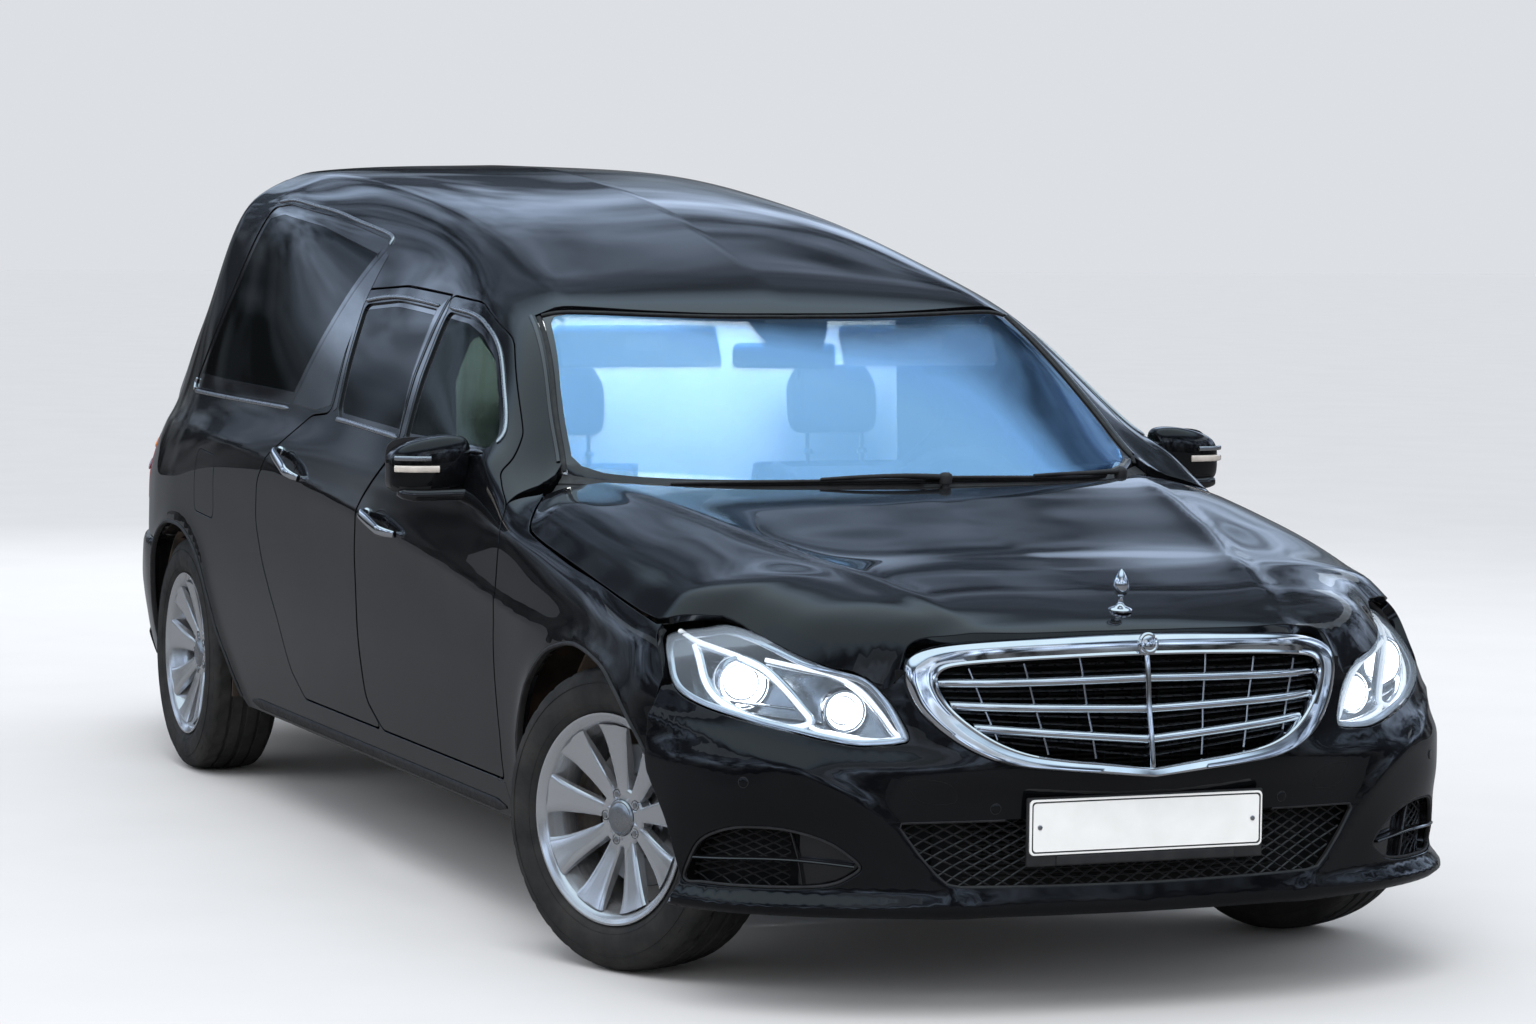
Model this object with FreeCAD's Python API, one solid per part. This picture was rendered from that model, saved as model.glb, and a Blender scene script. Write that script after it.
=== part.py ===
import FreeCAD, Part
import math
import os

# Long-wheelbase four-door hearse, all lengths in millimetres.
# Axes: +Z up, the front of the car looks towards -Y, the car's left side is +X.
# All tables below are written from the front axle (y = 0 there) and the ground (z = 0);
# everything is moved by ORIGIN_SHIFT at the end, so that the origin lies on the
# ground under the middle of the car.

V = FreeCAD.Vector
os.makedirs("parts", exist_ok=True)

# ---- driving dimensions -------------------------------------------------------
WHEELBASE = 3374.0          # standard 2874 plus a 500 stretch
FRONT_TIP = -878.0          # lip under the grille
REAR_TIP = 4550.0           # back of the rear bumper
ORIGIN_SHIFT = -(FRONT_TIP + REAR_TIP) / 2.0

TRACK_FRONT, TRACK_REAR = 1585.0, 1604.0
TYRE_R, TYRE_W, RIM_R = 326.0, 205.0, 209.0     # 205/60 R16
AXLE_Z = TYRE_R
KINGPIN_X = 720.0           # steering axis, vertical, at y = 0
STEER_RIGHT, STEER_LEFT = 23.0, 26.0            # the car is parked with its wheels to its left

DOOR_T = 95.0               # whole thickness of a door below the belt
FRAME_T = 45.0              # and of its window frame
PILLAR_T = 150.0            # body side with its inner pillar layer
GAP = 6.0                   # between a door and what surrounds it
BEHIND = 18.0               # between a door's inner face and the pillar behind it
PLATE_W, PLATE_H = 520.0, 112.0

HOOD_AXIS = (612.0, 985.0)          # y, z of the hood hinge
GATE_AXIS = (3505.0, 1625.0)        # y, z of the tailgate hinge
FRONT_HINGE = (914.5, 572.0)        # x, y of the front door hinges
REAR_HINGE = (918.0, 1466.0)        # x, y of the rear door hinges, behind the front door's rear edge


# ---- small helpers --------------------------------------------------------------
def ring(pts):
    return Part.makePolygon([V(*p) for p in pts] + [V(*pts[0])])


def prism(pts, direction):
    return Part.Face(ring(pts)).extrude(V(*direction))


def side_prism(yz, x0, x1):
    return prism([(x0, y, z) for y, z in yz], (x1 - x0, 0, 0))


def plan_prism(xy, z0, z1):
    return prism([(x, y, z0) for x, y in xy], (0, 0, z1 - z0))


def front_prism(xz, y0, y1):
    return prism([(x, y0, z) for x, z in xz], (0, y1 - y0, 0))


def box(x0, x1, y0, y1, z0, z1):
    return Part.makeBox(x1 - x0, y1 - y0, z1 - z0, V(x0, y0, z0))


def rod(p, q, r):
    p, q = V(*p), V(*q)
    return Part.makeCylinder(r, (q - p).Length, p, q - p)


def loft(sections):
    s = Part.makeLoft([ring(s) for s in sections], True, True)
    return s if s.Volume > 0 else s.reversed()


def mirrored(s):
    return s.mirror(V(0, 0, 0), V(1, 0, 0))


def both(s):
    return Part.makeCompound([s, mirrored(s)])


def lerp(table, t):
    for (a, p), (b, q) in zip(table, table[1:]):
        if t <= b:
            k = (t - a) / (b - a)
            return [u + (v - u) * k for u, v in zip(p, q)]
    return list(table[-1][1])


def grow(poly, d):
    """Offset a closed (y, z) outline outwards by d; the corners stay sharp."""
    area = sum(a[0] * b[1] - b[0] * a[1] for a, b in zip(poly, poly[1:] + poly[:1]))
    s = 1.0 if area > 0 else -1.0
    out = []
    n = len(poly)
    for i in range(n):
        p, q, r = poly[i - 1], poly[i], poly[(i + 1) % n]
        d1 = (q[0] - p[0], q[1] - p[1])
        d2 = (r[0] - q[0], r[1] - q[1])
        l1, l2 = math.hypot(*d1), math.hypot(*d2)
        n1 = (d1[1] / l1 * s, -d1[0] / l1 * s)
        n2 = (d2[1] / l2 * s, -d2[0] / l2 * s)
        bx, bz = n1[0] + n2[0], n1[1] + n2[1]
        k = 2.0 / (bx * bx + bz * bz)
        out.append((q[0] + bx * k * d, q[1] + bz * k * d))
    return out


KEPT = []


def save(name, shape):
    if shape.ShapeType == "Compound" and len(shape.Solids) == 1:
        shape = shape.Solids[0]
    shape = shape.copy()
    shape.translate(V(0, ORIGIN_SHIFT, 0))
    b = shape.BoundBox
    KEPT.append((name, shape))
    print("%-22s solids %2d valid %s vol %8.2f l  x %6.0f %6.0f  y %6.0f %6.0f  z %6.0f %6.0f" % (
        name, len(shape.Solids), shape.isValid(), shape.Volume / 1e6,
        b.XMin, b.XMax, b.YMin, b.YMax, b.ZMin, b.ZMax))
    shape.exportStep("parts/%s.step" % name)


# ---- body side skin: half widths up the side, station by station ------------------
# y: sill, crease, waist, upper, shoulder, belt, window head, roof rail as (x, z)
SIDE = [
    (545.0,  [(862, 235), (897, 340), (919, 600), (916, 770), (905, 880), (865, 925), (790, 935), (742, 948)]),
    (690.0,  [(862, 235), (897, 340), (921, 600), (918, 780), (906, 890), (868, 985), (755, 1010), (718, 1024)]),
    (830.0,  [(862, 235), (897, 340), (922, 600), (919, 790), (906, 900), (868, 1034), (728, 1104), (690, 1120)]),
    (1150.0, [(862, 235), (897, 340), (924, 600), (921, 800), (908, 905), (868, 1030), (674, 1300), (614, 1336)]),
    (1500.0, [(862, 235), (897, 340), (925, 600), (925, 830), (910, 915), (866, 1028), (654, 1390), (590, 1428)]),
    (1950.0, [(862, 235), (897, 340), (926, 600), (926, 860), (912, 930), (866, 1044), (655, 1410), (572, 1508)]),
    (2450.0, [(862, 235), (897, 340), (926, 600), (926, 850), (914, 940), (864, 1052), (660, 1474), (564, 1570)]),
    (3000.0, [(862, 235), (897, 340), (927, 600), (928, 820), (914, 920), (857, 1052), (655, 1566), (558, 1626)]),
    (3374.0, [(862, 235), (897, 340), (927, 600), (926, 790), (908, 890), (847, 1045), (645, 1592), (550, 1648)]),
    (3620.0, [(850, 245), (885, 340), (914, 600), (912, 780), (892, 880), (828, 1037), (640, 1588), (545, 1648)]),
    (3800.0, [(830, 255), (862, 340), (888, 600), (885, 780), (864, 880), (800, 1025), (645, 1425), (585, 1476)]),
    (4000.0, [(788, 260), (820, 340), (843, 600), (840, 780), (815, 880), (757, 1000), (690, 1130), (650, 1172)]),
    (4180.0, [(735, 260), (765, 340), (788, 600), (783, 780), (758, 870), (712, 955), (690, 980), (670, 1000)]),
    (4340.0, [(665, 260), (695, 340), (722, 600), (716, 770), (696, 830), (672, 868), (660, 880), (640, 885)]),
]
INSET = [1.0, 1.0, 1.0, 1.0, 1.0, 0.92, 0.0, 0.0]   # where the thickness follows the door, not the frame


def side_layer(t_door, t_frame, first, last, outer=0.0):
    """Solid layer of the body side from depth outer to depth t, between two stations."""
    rows = [(y, [c for p in r for c in p]) for y, r in SIDE]
    ys = sorted(set([first, last] + [y for y, _ in SIDE if first < y < last]))
    secs = []
    for y in ys:
        flat = lerp(rows, y)
        pts = list(zip(flat[0::2], flat[1::2]))
        t = [t_frame + (t_door - t_frame) * k for k in INSET]
        skin = [(x - outer, y, z) for x, z in pts]
        back = [(x - d, y, z) for (x, z), d in zip(pts, t)]
        secs.append(skin + back[::-1])
    return loft(secs)


# ---- door outlines, (y, z) ---------------------------------------------------------
FRONT_DOOR = [(551, 335), (538, 430), (562, 640), (554, 745), (558, 880), (600, 940),
              (720, 1004), (830, 1088), (1150, 1290), (1420, 1366), (1640, 1376),
              (1560, 1180), (1445, 1015), (1590, 880), (1620, 760), (1585, 507), (1566, 398), (1470, 335)]
REAR_DOOR = [(1482, 335), (1574, 392), (1593, 500), (1628, 760), (1598, 884), (1455, 1020),
             (1568, 1182), (1648, 1376), (2000, 1388), (2262, 1372), (2150, 1200), (2060, 1066), (2215, 1052),
             (2440, 940), (2510, 864), (2524, 763), (2459, 661), (2325, 530), (2236, 398), (2149, 335)]
FRONT_WINDOW = [(830, 1050), (870, 1082), (1160, 1256), (1300, 1306), (1420, 1330), (1590, 1340), (1515, 1185), (1418, 1042)]
REAR_WINDOW = [(1480, 1046), (1600, 1190), (1688, 1342), (2000, 1354), (2205, 1338), (2110, 1195), (2020, 1078)]
SIDE_WINDOW = [(2440, 1072), (2306, 1478), (2345, 1502), (2800, 1556), (3180, 1584), (3310, 1574), (3530, 1085), (3495, 1066)]


def door(outline, window, first, last, aperture_shrink):
    layer = side_layer(DOOR_T, FRAME_T, first, last)
    d = layer.common(side_prism(outline, 500, 960))
    pane = side_layer(28.0, 28.0, first, last, 24.0)
    pane = pane.common(side_prism(grow(window, -1.0), 500, 960))
    d = d.cut(side_prism(window, 500, 960))
    return d, pane


front_door, front_pane = door(FRONT_DOOR, FRONT_WINDOW, 545.0, 1660.0, 50)
rear_door, rear_pane = door(REAR_DOOR, REAR_WINDOW, 1440.0, 2560.0, 50)

# each front door carries its mirror: a hollowed-out wedge on a short arm
mirror = loft([
    [(868, 930, 982), (868, 930, 1074), (884, 852, 1070), (884, 852, 986)],
    [(980, 944, 972), (980, 944, 1084), (965, 842, 1076), (965, 842, 978)],
    [(1052, 958, 992), (1052, 958, 1066), (1034, 872, 1062), (1034, 872, 996)],
]).fuse(box(838, 960, 862, 908, 946, 984))
front_door = front_door.fuse(mirror)

# ---- body side: everything of the side that stays put ------------------------------
all_side = side_layer(PILLAR_T, 92.0, 545.0, 4340.0)
side = all_side
for outline, first, last in ((FRONT_DOOR, 500.0, 1690.0), (REAR_DOOR, 1420.0, 2570.0)):
    room = side_layer(DOOR_T + BEHIND, FRAME_T + BEHIND, first, last, -70.0)
    side = side.cut(room.common(side_prism(grow(outline, GAP), 400, 980)))
FRONT_APERTURE = [(640, 400), (650, 930), (760, 1010), (880, 1085), (1160, 1240), (1420, 1312), (1520, 1318),
                  (1420, 1130), (1370, 1015), (1440, 880), (1470, 760), (1450, 560), (1420, 400)]
REAR_APERTURE = [(1560, 400), (1600, 560), (1640, 760), (1640, 900), (1560, 1020),
                 (1640, 1180), (1720, 1318), (2000, 1330), (2150, 1316), (2060, 1190), (1980, 1066),
                 (2240, 960), (2400, 860), (2400, 763), (2330, 680), (2200, 560), (2110, 400)]
for outline in (FRONT_APERTURE, REAR_APERTURE, SIDE_WINDOW):
    side = side.cut(side_prism(outline, 400, 980))
REAR_ARCH = [(2790, 200), (2865, 340), (2940, 430), (2995, 505), (3075, 595), (3160, 650), (3270, 686), (3374, 694),
             (3478, 686), (3588, 650), (3672, 595), (3735, 505), (3775, 400), (3800, 200)]
side = side.cut(side_prism(REAR_ARCH, 400, 980))
LAMP_SIDE = [(3905, 800), (3990, 905), (4120, 925), (4400, 850), (4400, 700), (4150, 690), (3980, 720)]
lamp_layer = side_layer(70.0, 70.0, 3860.0, 4340.0)
tail_lamp = max(lamp_layer.common(side_prism(LAMP_SIDE, 600, 960)).Solids, key=lambda q: q.BoundBox.XMax)
side = side.cut(side_layer(71.0, 71.0, 3860.0, 4420.0, -70.0).common(side_prism(grow(LAMP_SIDE, 1.0), 400, 980)))
# the bumper takes the lowest rear corner
side = side.cut(box(400, 980, 3790, 4400, 200, 612))
# the A-pillar ends where the windscreen begins
side = side.cut(plan_prism([(0, 540), (640, 540), (709, 664), (599, 1190), (0, 1190)], 938, 1420))
side_left = side

# ---- roof: (y, centre z, z at x 300, z at the rail), rail half width -----------------
ROOF = [
    (1105.0, 1364, 1362, 1346, 590), (1250.0, 1416, 1408, 1364, 594), (1500.0, 1482, 1472, 1426, 582),
    (1900.0, 1575, 1562, 1502, 566), (2420.0, 1652, 1637, 1568, 558), (3000.0, 1694, 1684, 1626, 552),
    (3400.0, 1698, 1690, 1650, 544), (3612.0, 1690, 1684, 1650, 539),
]
ROOF_T = 40.0
secs = []
for y, zc, zm, zr, xr in ROOF:
    top = [(-xr, y, zr), (-xr * 0.86, y, (zm + zr) / 2 + 6), (-300, y, zm), (0, y, zc), (300, y, zm),
           (xr * 0.86, y, (zm + zr) / 2 + 6), (xr, y, zr)]
    secs.append(top + [(x * 0.98, yy, z - ROOF_T) for x, yy, z in top[::-1]])
roof = loft(secs)
# the windscreen header is curved in plan, the tailgate edge leans
roof = roof.cut(plan_prism([(-620, 1000), (-620, 1190), (-450, 1150), (-220, 1120), (0, 1110), (220, 1120), (450, 1150), (620, 1190), (620, 1000)], 1200, 1500))
roof = roof.cut(side_prism([(3579, 1720), (3593, 1702), (3643, 1636), (3700, 1560), (3760, 1560), (3760, 1720)], -700, 700))
over = loft([[(-10, y, zr - ROOF_T - 4), (xr, y, zr - ROOF_T - 4), (xr, y, zr + 250), (-10, y, zr + 250)] for y, zc, zm, zr, xr in
             [(1080.0, 0, 0, 1338, 591)] + ROOF + [(3640.0, 0, 0, 1650, 539)]])
side_left = side_left.cut(over)
side_left = side_left.cut(loft([[(0, y, 600), (572, y, 600), (572, y, 1050), (538, y, 1660), (538, y, 1800), (0, y, 1800)] for y in (3590, 4420)]))
side_left = side_left.cut(box(0, 572, 4100, 4420, 200, 640))

# ---- glass -------------------------------------------------------------------------------
GLASS_T = 6.0
scr_low = [(-706, 668, 968), (-600, 560, 972), (-420, 468, 980), (-200, 418, 986), (0, 404, 988),
           (200, 418, 986), (420, 468, 980), (600, 560, 972), (706, 668, 968)]
scr_top = [(-594, 1192, 1346), (-500, 1160, 1352), (-350, 1128, 1358), (-170, 1108, 1362), (0, 1102, 1363),
           (170, 1108, 1362), (350, 1128, 1358), (500, 1160, 1352), (594, 1192, 1346)]


def sheet(low, top, off):
    """Closed sheet between two curved rails, thickness given by the vector off."""
    strips = []
    for i in range(len(low) - 1):
        quad = [low[i], low[i + 1], top[i + 1], top[i]]
        a = [tuple(p) for p in quad]
        b = [tuple(c + d for c, d in zip(p, off)) for p in quad]
        faces = []
        tri = [(a[0], a[1], a[2]), (a[0], a[2], a[3]), (b[0], b[2], b[1]), (b[0], b[3], b[2])]
        for j in range(4):
            k = (j + 1) % 4
            tri += [(a[j], b[j], b[k]), (a[j], b[k], a[k])]
        for t in tri:
            faces.append(Part.Face(ring(t)))
        strips.append(faces)
    # drop the shared walls between neighbouring strips: index 6..7 is the wall low[i+1]-top[i+1]
    out = []
    n = len(strips)
    for i, f in enumerate(strips):
        for j, face in enumerate(f):
            if j in (6, 7) and i < n - 1:
                continue
            if j in (10, 11) and i > 0:
                continue
            out.append(face)
    s = Part.Solid(Part.makeShell(out))
    return s if s.Volume > 0 else s.reversed()


windscreen = sheet(scr_low, scr_top, (0, 3.4, -GLASS_T))
side_pane = side_layer(26.0, 26.0, 2250.0, 3580.0, 20.0).common(side_prism(grow(SIDE_WINDOW, -1.0), 500, 960))

# ---- front end ---------------------------------------------------------------------------
# fender skin (x, z): sill, crease, waist, upper, shoulder, hood seam
FENDER = [
    (-470.0, [(840, 240), (866, 340), (858, 600), (812, 690), (776, 735), (742, 762)]),
    (-280.0, [(880, 240), (910, 340), (914, 600), (893, 712), (874, 750), (846, 774)]),
    (0.0,    [(885, 240), (914, 340), (927, 600), (912, 757), (900, 798), (876, 833)]),
    (280.0,  [(880, 240), (908, 340), (925, 600), (916, 785), (904, 842), (880, 877)]),
    (539.0,  [(866, 240), (898, 340), (919, 600), (914, 790), (905, 884), (838, 935)]),
]
FENDER_T = 38.0
secs = []
for y, r in FENDER:
    secs.append([(x, y, z) for x, z in r] + [(x - FENDER_T, y, z - (0 if i < 3 else 14)) for i, (x, z) in reversed(list(enumerate(r)))])
fender = loft(secs)
fender = fender.fuse(loft([
    [(880, 535, 925), (880, 535, 895), (840, 535, 895), (840, 535, 932)],
    [(842, 640, 972), (842, 640, 934), (800, 640, 934), (800, 640, 976)]]))
FRONT_ARCH = [(-500, 180), (-485, 283), (-423, 437), (-372, 505), (-300, 575), (-230, 627), (-145, 668), (0, 692),
              (145, 668), (230, 627), (300, 575), (352, 505), (385, 420), (398, 320), (402, 180)]
fender = fender.cut(side_prism(FRONT_ARCH, 600, 980))
fender = fender.cut(side_prism(grow(FRONT_DOOR, GAP), 800, 980))
# below the lamp the bumper takes over
fender = fender.cut(side_prism([(-520, 200), (-520, 640), (-425, 640), (-392, 560), (-380, 200)], 600, 980))

# headlamp: outer face between its upper and lower edge, lens and bowl as one block
LAMP = [  # upper edge point, lower edge point
    ((486, -724, 600), (492, -738, 556)), ((555, -702, 682), (562, -734, 553)), ((607, -662, 709), (640, -684, 566)),
    ((675, -584, 733), (730, -602, 590)), ((722, -452, 760), (808, -520, 612)), ((772, -310, 774), (858, -412, 662)),
]
LAMP_IN = (-46, 84, 0)
secs = []
for up, lo in LAMP:
    secs.append([up, lo, tuple(a + b for a, b in zip(lo, LAMP_IN)), tuple(a + b for a, b in zip(up, LAMP_IN))])
headlamp = loft(secs)
fender = fender.cut(headlamp)
fender = fender.cut(side_prism([(-520, 668), (-392, 668), (-366, 700), (-330, 738), (-316, 764), (-316, 900), (-520, 900)], 600, 980))
fender = max(fender.Solids, key=lambda s: s.Volume)

# bumper skin: outline in plan at several heights, (x, y), centre line outwards
BUMPER = [
    (207.0, [(0, -822), (300, -800), (500, -748), (650, -676), (760, -590), (830, -495), (862, -425), (868, -385)]),
    (336.0, [(0, -838), (300, -820), (510, -772), (655, -704), (785, -602), (862, -490), (893, -410), (900, -385)]),
    (450.0, [(0, -840), (300, -822), (505, -774), (652, -710), (788, -613), (868, -500), (902, -415), (908, -385)]),
    (486.0, [(0, -876), (300, -850), (500, -772), (648, -706), (782, -610), (866, -500), (904, -415), (911, -385)]),
    (552.0, [(0, -860), (300, -836), (494, -752), (630, -690), (758, -594), (842, -492), (886, -415), (914, -385)]),
    (640.0, [(0, -846), (300, -820), (480, -738), (606, -668), (726, -566), (818, -470), (868, -400), (900, -372)]),
]
BUMPER_T = 42.0
secs = []
for z, r in BUMPER:
    out = [(x, y, z) for x, y in r]
    inn = [(max(x - BUMPER_T * 1.0, 0), y + BUMPER_T, z) for x, y in r]
    inn[-1] = (r[-1][0] - BUMPER_T, r[-1][1], z)
    inn[-2] = (r[-2][0] - BUMPER_T, r[-2][1] + 8, z)
    left = out + inn[::-1]
    secs.append(out + inn[:0:-1] + [(-x, y, z) for x, y, z in inn] + [(-x, y, z) for x, y, z in out[:0:-1]])
bumper = loft(secs)
# grille mouth and headlamp beds
bumper = bumper.cut(front_prism([(-480, 660), (-492, 640), (-300, 505), (-60, 490), (60, 490), (300, 505), (492, 640), (480, 660)], -900, -600))
# headlamp beds: everything above each lamp's lower edge goes
bed = [(486, -900, 553), (562, -900, 549), (640, -900, 562), (730, -900, 586), (808, -900, 608), (880, -900, 668), (980, -900, 668), (980, -900, 700), (486, -900, 700)]
cutter = Part.Face(ring(bed)).extrude(V(0, 600, 0))
bumper = bumper.cut(cutter).cut(mirrored(cutter))
# air intakes: the wide lower one and one beside each end
bumper = bumper.cut(front_prism([(-512, 398), (-403, 273), (403, 273), (512, 398), (300, 415), (-300, 415)], -900, -700).cut(
    box(-PLATE_W / 2 - 6, PLATE_W / 2 + 6, -900, -700, 330, 500)))
fog = front_prism([(584, 309), (640, 380), (760, 405), (845, 396), (850, 280), (720, 262)], -780, -440)
bumper = bumper.cut(fog.common(box(560, 872, -780, -440, 240, 420))).cut(mirrored(fog))
bumper = bumper.cut(both(side_prism(grow(FRONT_ARCH, 0.0), 780, 980)))
bumper = max(bumper.Solids, key=lambda s: s.Volume)

grille_face = [(-470, 742), (-486, 690), (-440, 620), (-330, 530), (-160, 500), (0, 498), (160, 500), (330, 530), (440, 620), (486, 690), (470, 742), (300, 770), (0, 782), (-300, 770)]
g_out = [(0, -838), (300, -800), (420, -752), (486, -716)]


def grille_y(x):
    x = abs(x)
    for (a, p), (b, q) in zip(g_out, g_out[1:]):
        if x <= b:
            return p + (q - p) * (x - a) / (b - a)
    return g_out[-1][1]


plan = [(x, y) for x, y in g_out]
plan_l = plan + [(x, y + 46) for x, y in plan[::-1]]
ring_plan = [(x, y) for x, y in plan[::-1]] + [(-x, y) for x, y in plan[1:]] + [(-x, y + 46) for x, y in plan[:0:-1]] + [(x, y + 46) for x, y in plan]
grille = plan_prism(ring_plan, 490, 790).common(front_prism(grille_face, -900, -600))
mouth = front_prism([(-430, 722), (-440, 690), (-400, 630), (-310, 556), (-150, 530), (150, 530), (310, 556), (400, 630), (440, 690), (430, 722), (0, 748)], -900, -600)
bars = box(-14, 14, -860, -700, 500, 780)
for z in (590.0, 645.0, 700.0):
    bars = bars.fuse(box(-470, 470, -900, -600, z - 9, z + 9))
grille = grille.cut(mouth.cut(bars))

# hood: (y, half width at the seam, z centre, z at the seam)
HOOD = [(-776.0, 300, 786, 768), (-712.0, 440, 808, 742), (-590.0, 655, 838, 738), (-494.0, 700, 854, 756), (-410.0, 742, 867, 781), (-342.0, 818, 876, 783),
        (-250.0, 854, 887, 779), (-105.0, 870, 908, 808), (16.0, 878, 928, 832), (162.0, 882, 951, 857), (291.0, 882, 972, 876), (409.0, 878, 988, 897),
        (518.0, 832, 997, 937), (600.0, 784, 1001, 962)]
HOOD_T = 34.0
secs = []
for y, w, zc, ze in HOOD:
    d = zc - ze
    top = [(-w, y, ze), (-w * 0.93, y, ze + d * 0.50), (-w * 0.7, y, ze + d * 0.88), (-w * 0.35, y, ze + d * 0.97), (0, y, zc),
           (w * 0.35, y, ze + d * 0.97), (w * 0.7, y, ze + d * 0.88), (w * 0.93, y, ze + d * 0.50), (w, y, ze)]
    secs.append(top + [(x * 0.985, yy, z - HOOD_T) for x, yy, z in top[::-1]])
hood = loft(secs)
# rear edge follows the windscreen base; front corners leave room for the lamps
hood = hood.cut(plan_prism([(-900, 595), (-700, 580), (-560, 480), (-400, 405), (-200, 365), (0, 354), (200, 365), (400, 405), (560, 480), (700, 580), (900, 595), (900, 800), (-900, 800)], 700, 1200))
hood = max(hood.Solids, key=lambda s: s.Volume)
# what stays put keeps clear of the hood's skirt all round
HOOD_GAP = 6.0
hood_room = loft([[(-w - HOOD_GAP, y, ze - HOOD_T - HOOD_GAP), (w + HOOD_GAP, y, ze - HOOD_T - HOOD_GAP), (w + HOOD_GAP, y, 1300), (-w - HOOD_GAP, y, 1300)]
                  for y, w, zc, ze in [(HOOD[0][0] - 14.0, HOOD[0][1] - 6, 0, HOOD[0][3])] + HOOD[:-1] + [(606.0, 785, 0, 962)]])

# cowl, firewall and the shelf under the windscreen
cowl = plan_prism([(-735, 640), (-690, 596), (-560, 492), (-400, 417), (-200, 377), (0, 366), (200, 377), (400, 417), (560, 492), (690, 596), (735, 640), (700, 672),
                   (560, 560), (400, 480), (200, 430), (0, 415), (-200, 430), (-400, 480), (-560, 560), (-700, 672)], 905, 950)
firewall = box(-690, 690, 560, 600, 272, 930)
firewall = firewall.fuse(cowl)

# ---- underbody ---------------------------------------------------------------------------
hat = [(-760, 215), (-150, 215), (-150, 400), (150, 400), (150, 215), (760, 215), (760, 250), (185, 250), (185, 440), (-185, 440), (-185, 250), (-760, 250)]
floor = front_prism(hat, 600, 2860)
floor = floor.fuse(side_prism([(2800, 215), (2830, 215), (2960, 500), (3820, 500), (3960, 330), (4340, 330), (4340, 365), (3976, 365), (3836, 535), (2940, 535), (2800, 250)], -600, 600))
floor = floor.fuse(box(-760, -600, 2790, 2860, 215, 250)).fuse(box(600, 760, 2790, 2860, 215, 250))

# front subframe: two side rails, cross member, wishbones, strut towers, bumper beam, towing eye socket
subframe = box(420, 480, -600, 540, 455, 555).fuse([
    box(-480, -420, -600, 540, 455, 555), box(-480, 480, -110, 110, 215, 265), box(-470, -430, -60, 60, 240, 480), box(430, 470, -60, 60, 240, 480),
    box(-560, 560, -640, -590, 440, 520)])
for s in (-1, 1):
    subframe = subframe.fuse([
        plan_prism([(s * 440, -100), (s * 440, 80), (s * 664, 22), (s * 676, 0), (s * 664, -22)], 198, 222),
        box(min(s * 435, s * 634), max(s * 435, s * 634), -60, 60, 745, 775), box(min(s * 440, s * 475), max(s * 440, s * 475), -58, 58, 540, 760),
        rod((s * 598, 0, 500), (s * 598, 0, 750), 34)])
subframe = subframe.fuse(box(312, 348, -690, -600, 462, 498)).cut(rod((330, -705, 480), (330, -650, 480), 8))

rear_axle = box(-560, 560, WHEELBASE - 190, WHEELBASE - 130, 270, 330).fuse(box(-560, 560, WHEELBASE + 130, WHEELBASE + 190, 270, 330))
rear_axle = rear_axle.fuse(box(-560, -480, WHEELBASE - 190, WHEELBASE + 190, 270, 330)).fuse(box(480, 560, WHEELBASE - 190, WHEELBASE + 190, 270, 330))
rear_axle = rear_axle.fuse(box(-130, 130, WHEELBASE - 170, WHEELBASE + 170, 250, 390))
rear_axle = rear_axle.fuse(rod((-690, WHEELBASE, AXLE_Z), (690, WHEELBASE, AXLE_Z), 18))
for s in (-1, 1):
    rear_axle = rear_axle.fuse(box(min(s * 630, s * 680), max(s * 630, s * 680), WHEELBASE - 60, WHEELBASE + 60, 230, 440))
    rear_axle = rear_axle.fuse(rod((s * 660, WHEELBASE, AXLE_Z), (s * 738, WHEELBASE, AXLE_Z), 42))
    rear_axle = rear_axle.fuse(rod((s * 520, WHEELBASE - 150, 290), (s * 650, WHEELBASE - 30, 250), 16)).fuse(rod((s * 520, WHEELBASE + 150, 290), (s * 650, WHEELBASE + 30, 250), 16))
    rear_axle = rear_axle.fuse(rod((s * 560, WHEELBASE + 60, 300), (s * 560, WHEELBASE + 60, 500), 36))

engine = box(-300, 300, -330, 420, 300, 770)
propshaft = rod((0, 560, 320), (0, WHEELBASE - 175, 320), 34).fuse(box(-120, 120, 610, 1150, 260, 385))
tank = box(200, 560, 2480, 2780, 256, 470)
exhaust = rod((-250, 620, 180), (-250, 2900, 180), 26).fuse(rod((-250, 2900, 180), (-250, 3900, 225), 26)).fuse(
    box(-520, -150, 3880, 4180, 195, 310)).fuse(rod((-420, 4150, 250), (-420, 4500, 250), 28))

# arch liners: shells inside each arch
liner_f = rod((500, 0, 326), (866, 0, 326), 392).cut(rod((490, 0, 326), (880, 0, 326), 384)).cut(box(480, 900, -420, 420, -100, 300))
liner_f = liner_f.cut(side_prism(grow(FRONT_ARCH, 30), 820, 900)).cut(box(480, 900, -420, 420, 712, 900))
liner_r = rod((620, WHEELBASE, 326), (776, WHEELBASE, 326), 372).cut(rod((610, WHEELBASE, 326), (790, WHEELBASE, 326), 364)).cut(
    box(600, 900, WHEELBASE - 400, WHEELBASE + 400, -100, 260))
liners = Part.makeCompound([both(liner_f), both(liner_r)])

# ---- cabin ---------------------------------------------------------------------------------
dash = side_prism([(610, 800), (610, 930), (700, 960), (820, 930), (900, 860), (890, 760), (800, 640), (640, 640)], -690, 690)
dash = dash.cut(both(box(150, 600, 600, 780, 600, 760)))
dash = dash.fuse(box(-110, 110, 700, 1500, 445, 640)).fuse(rod((370, 820, 800), (370, 930, 830), 32))


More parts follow.
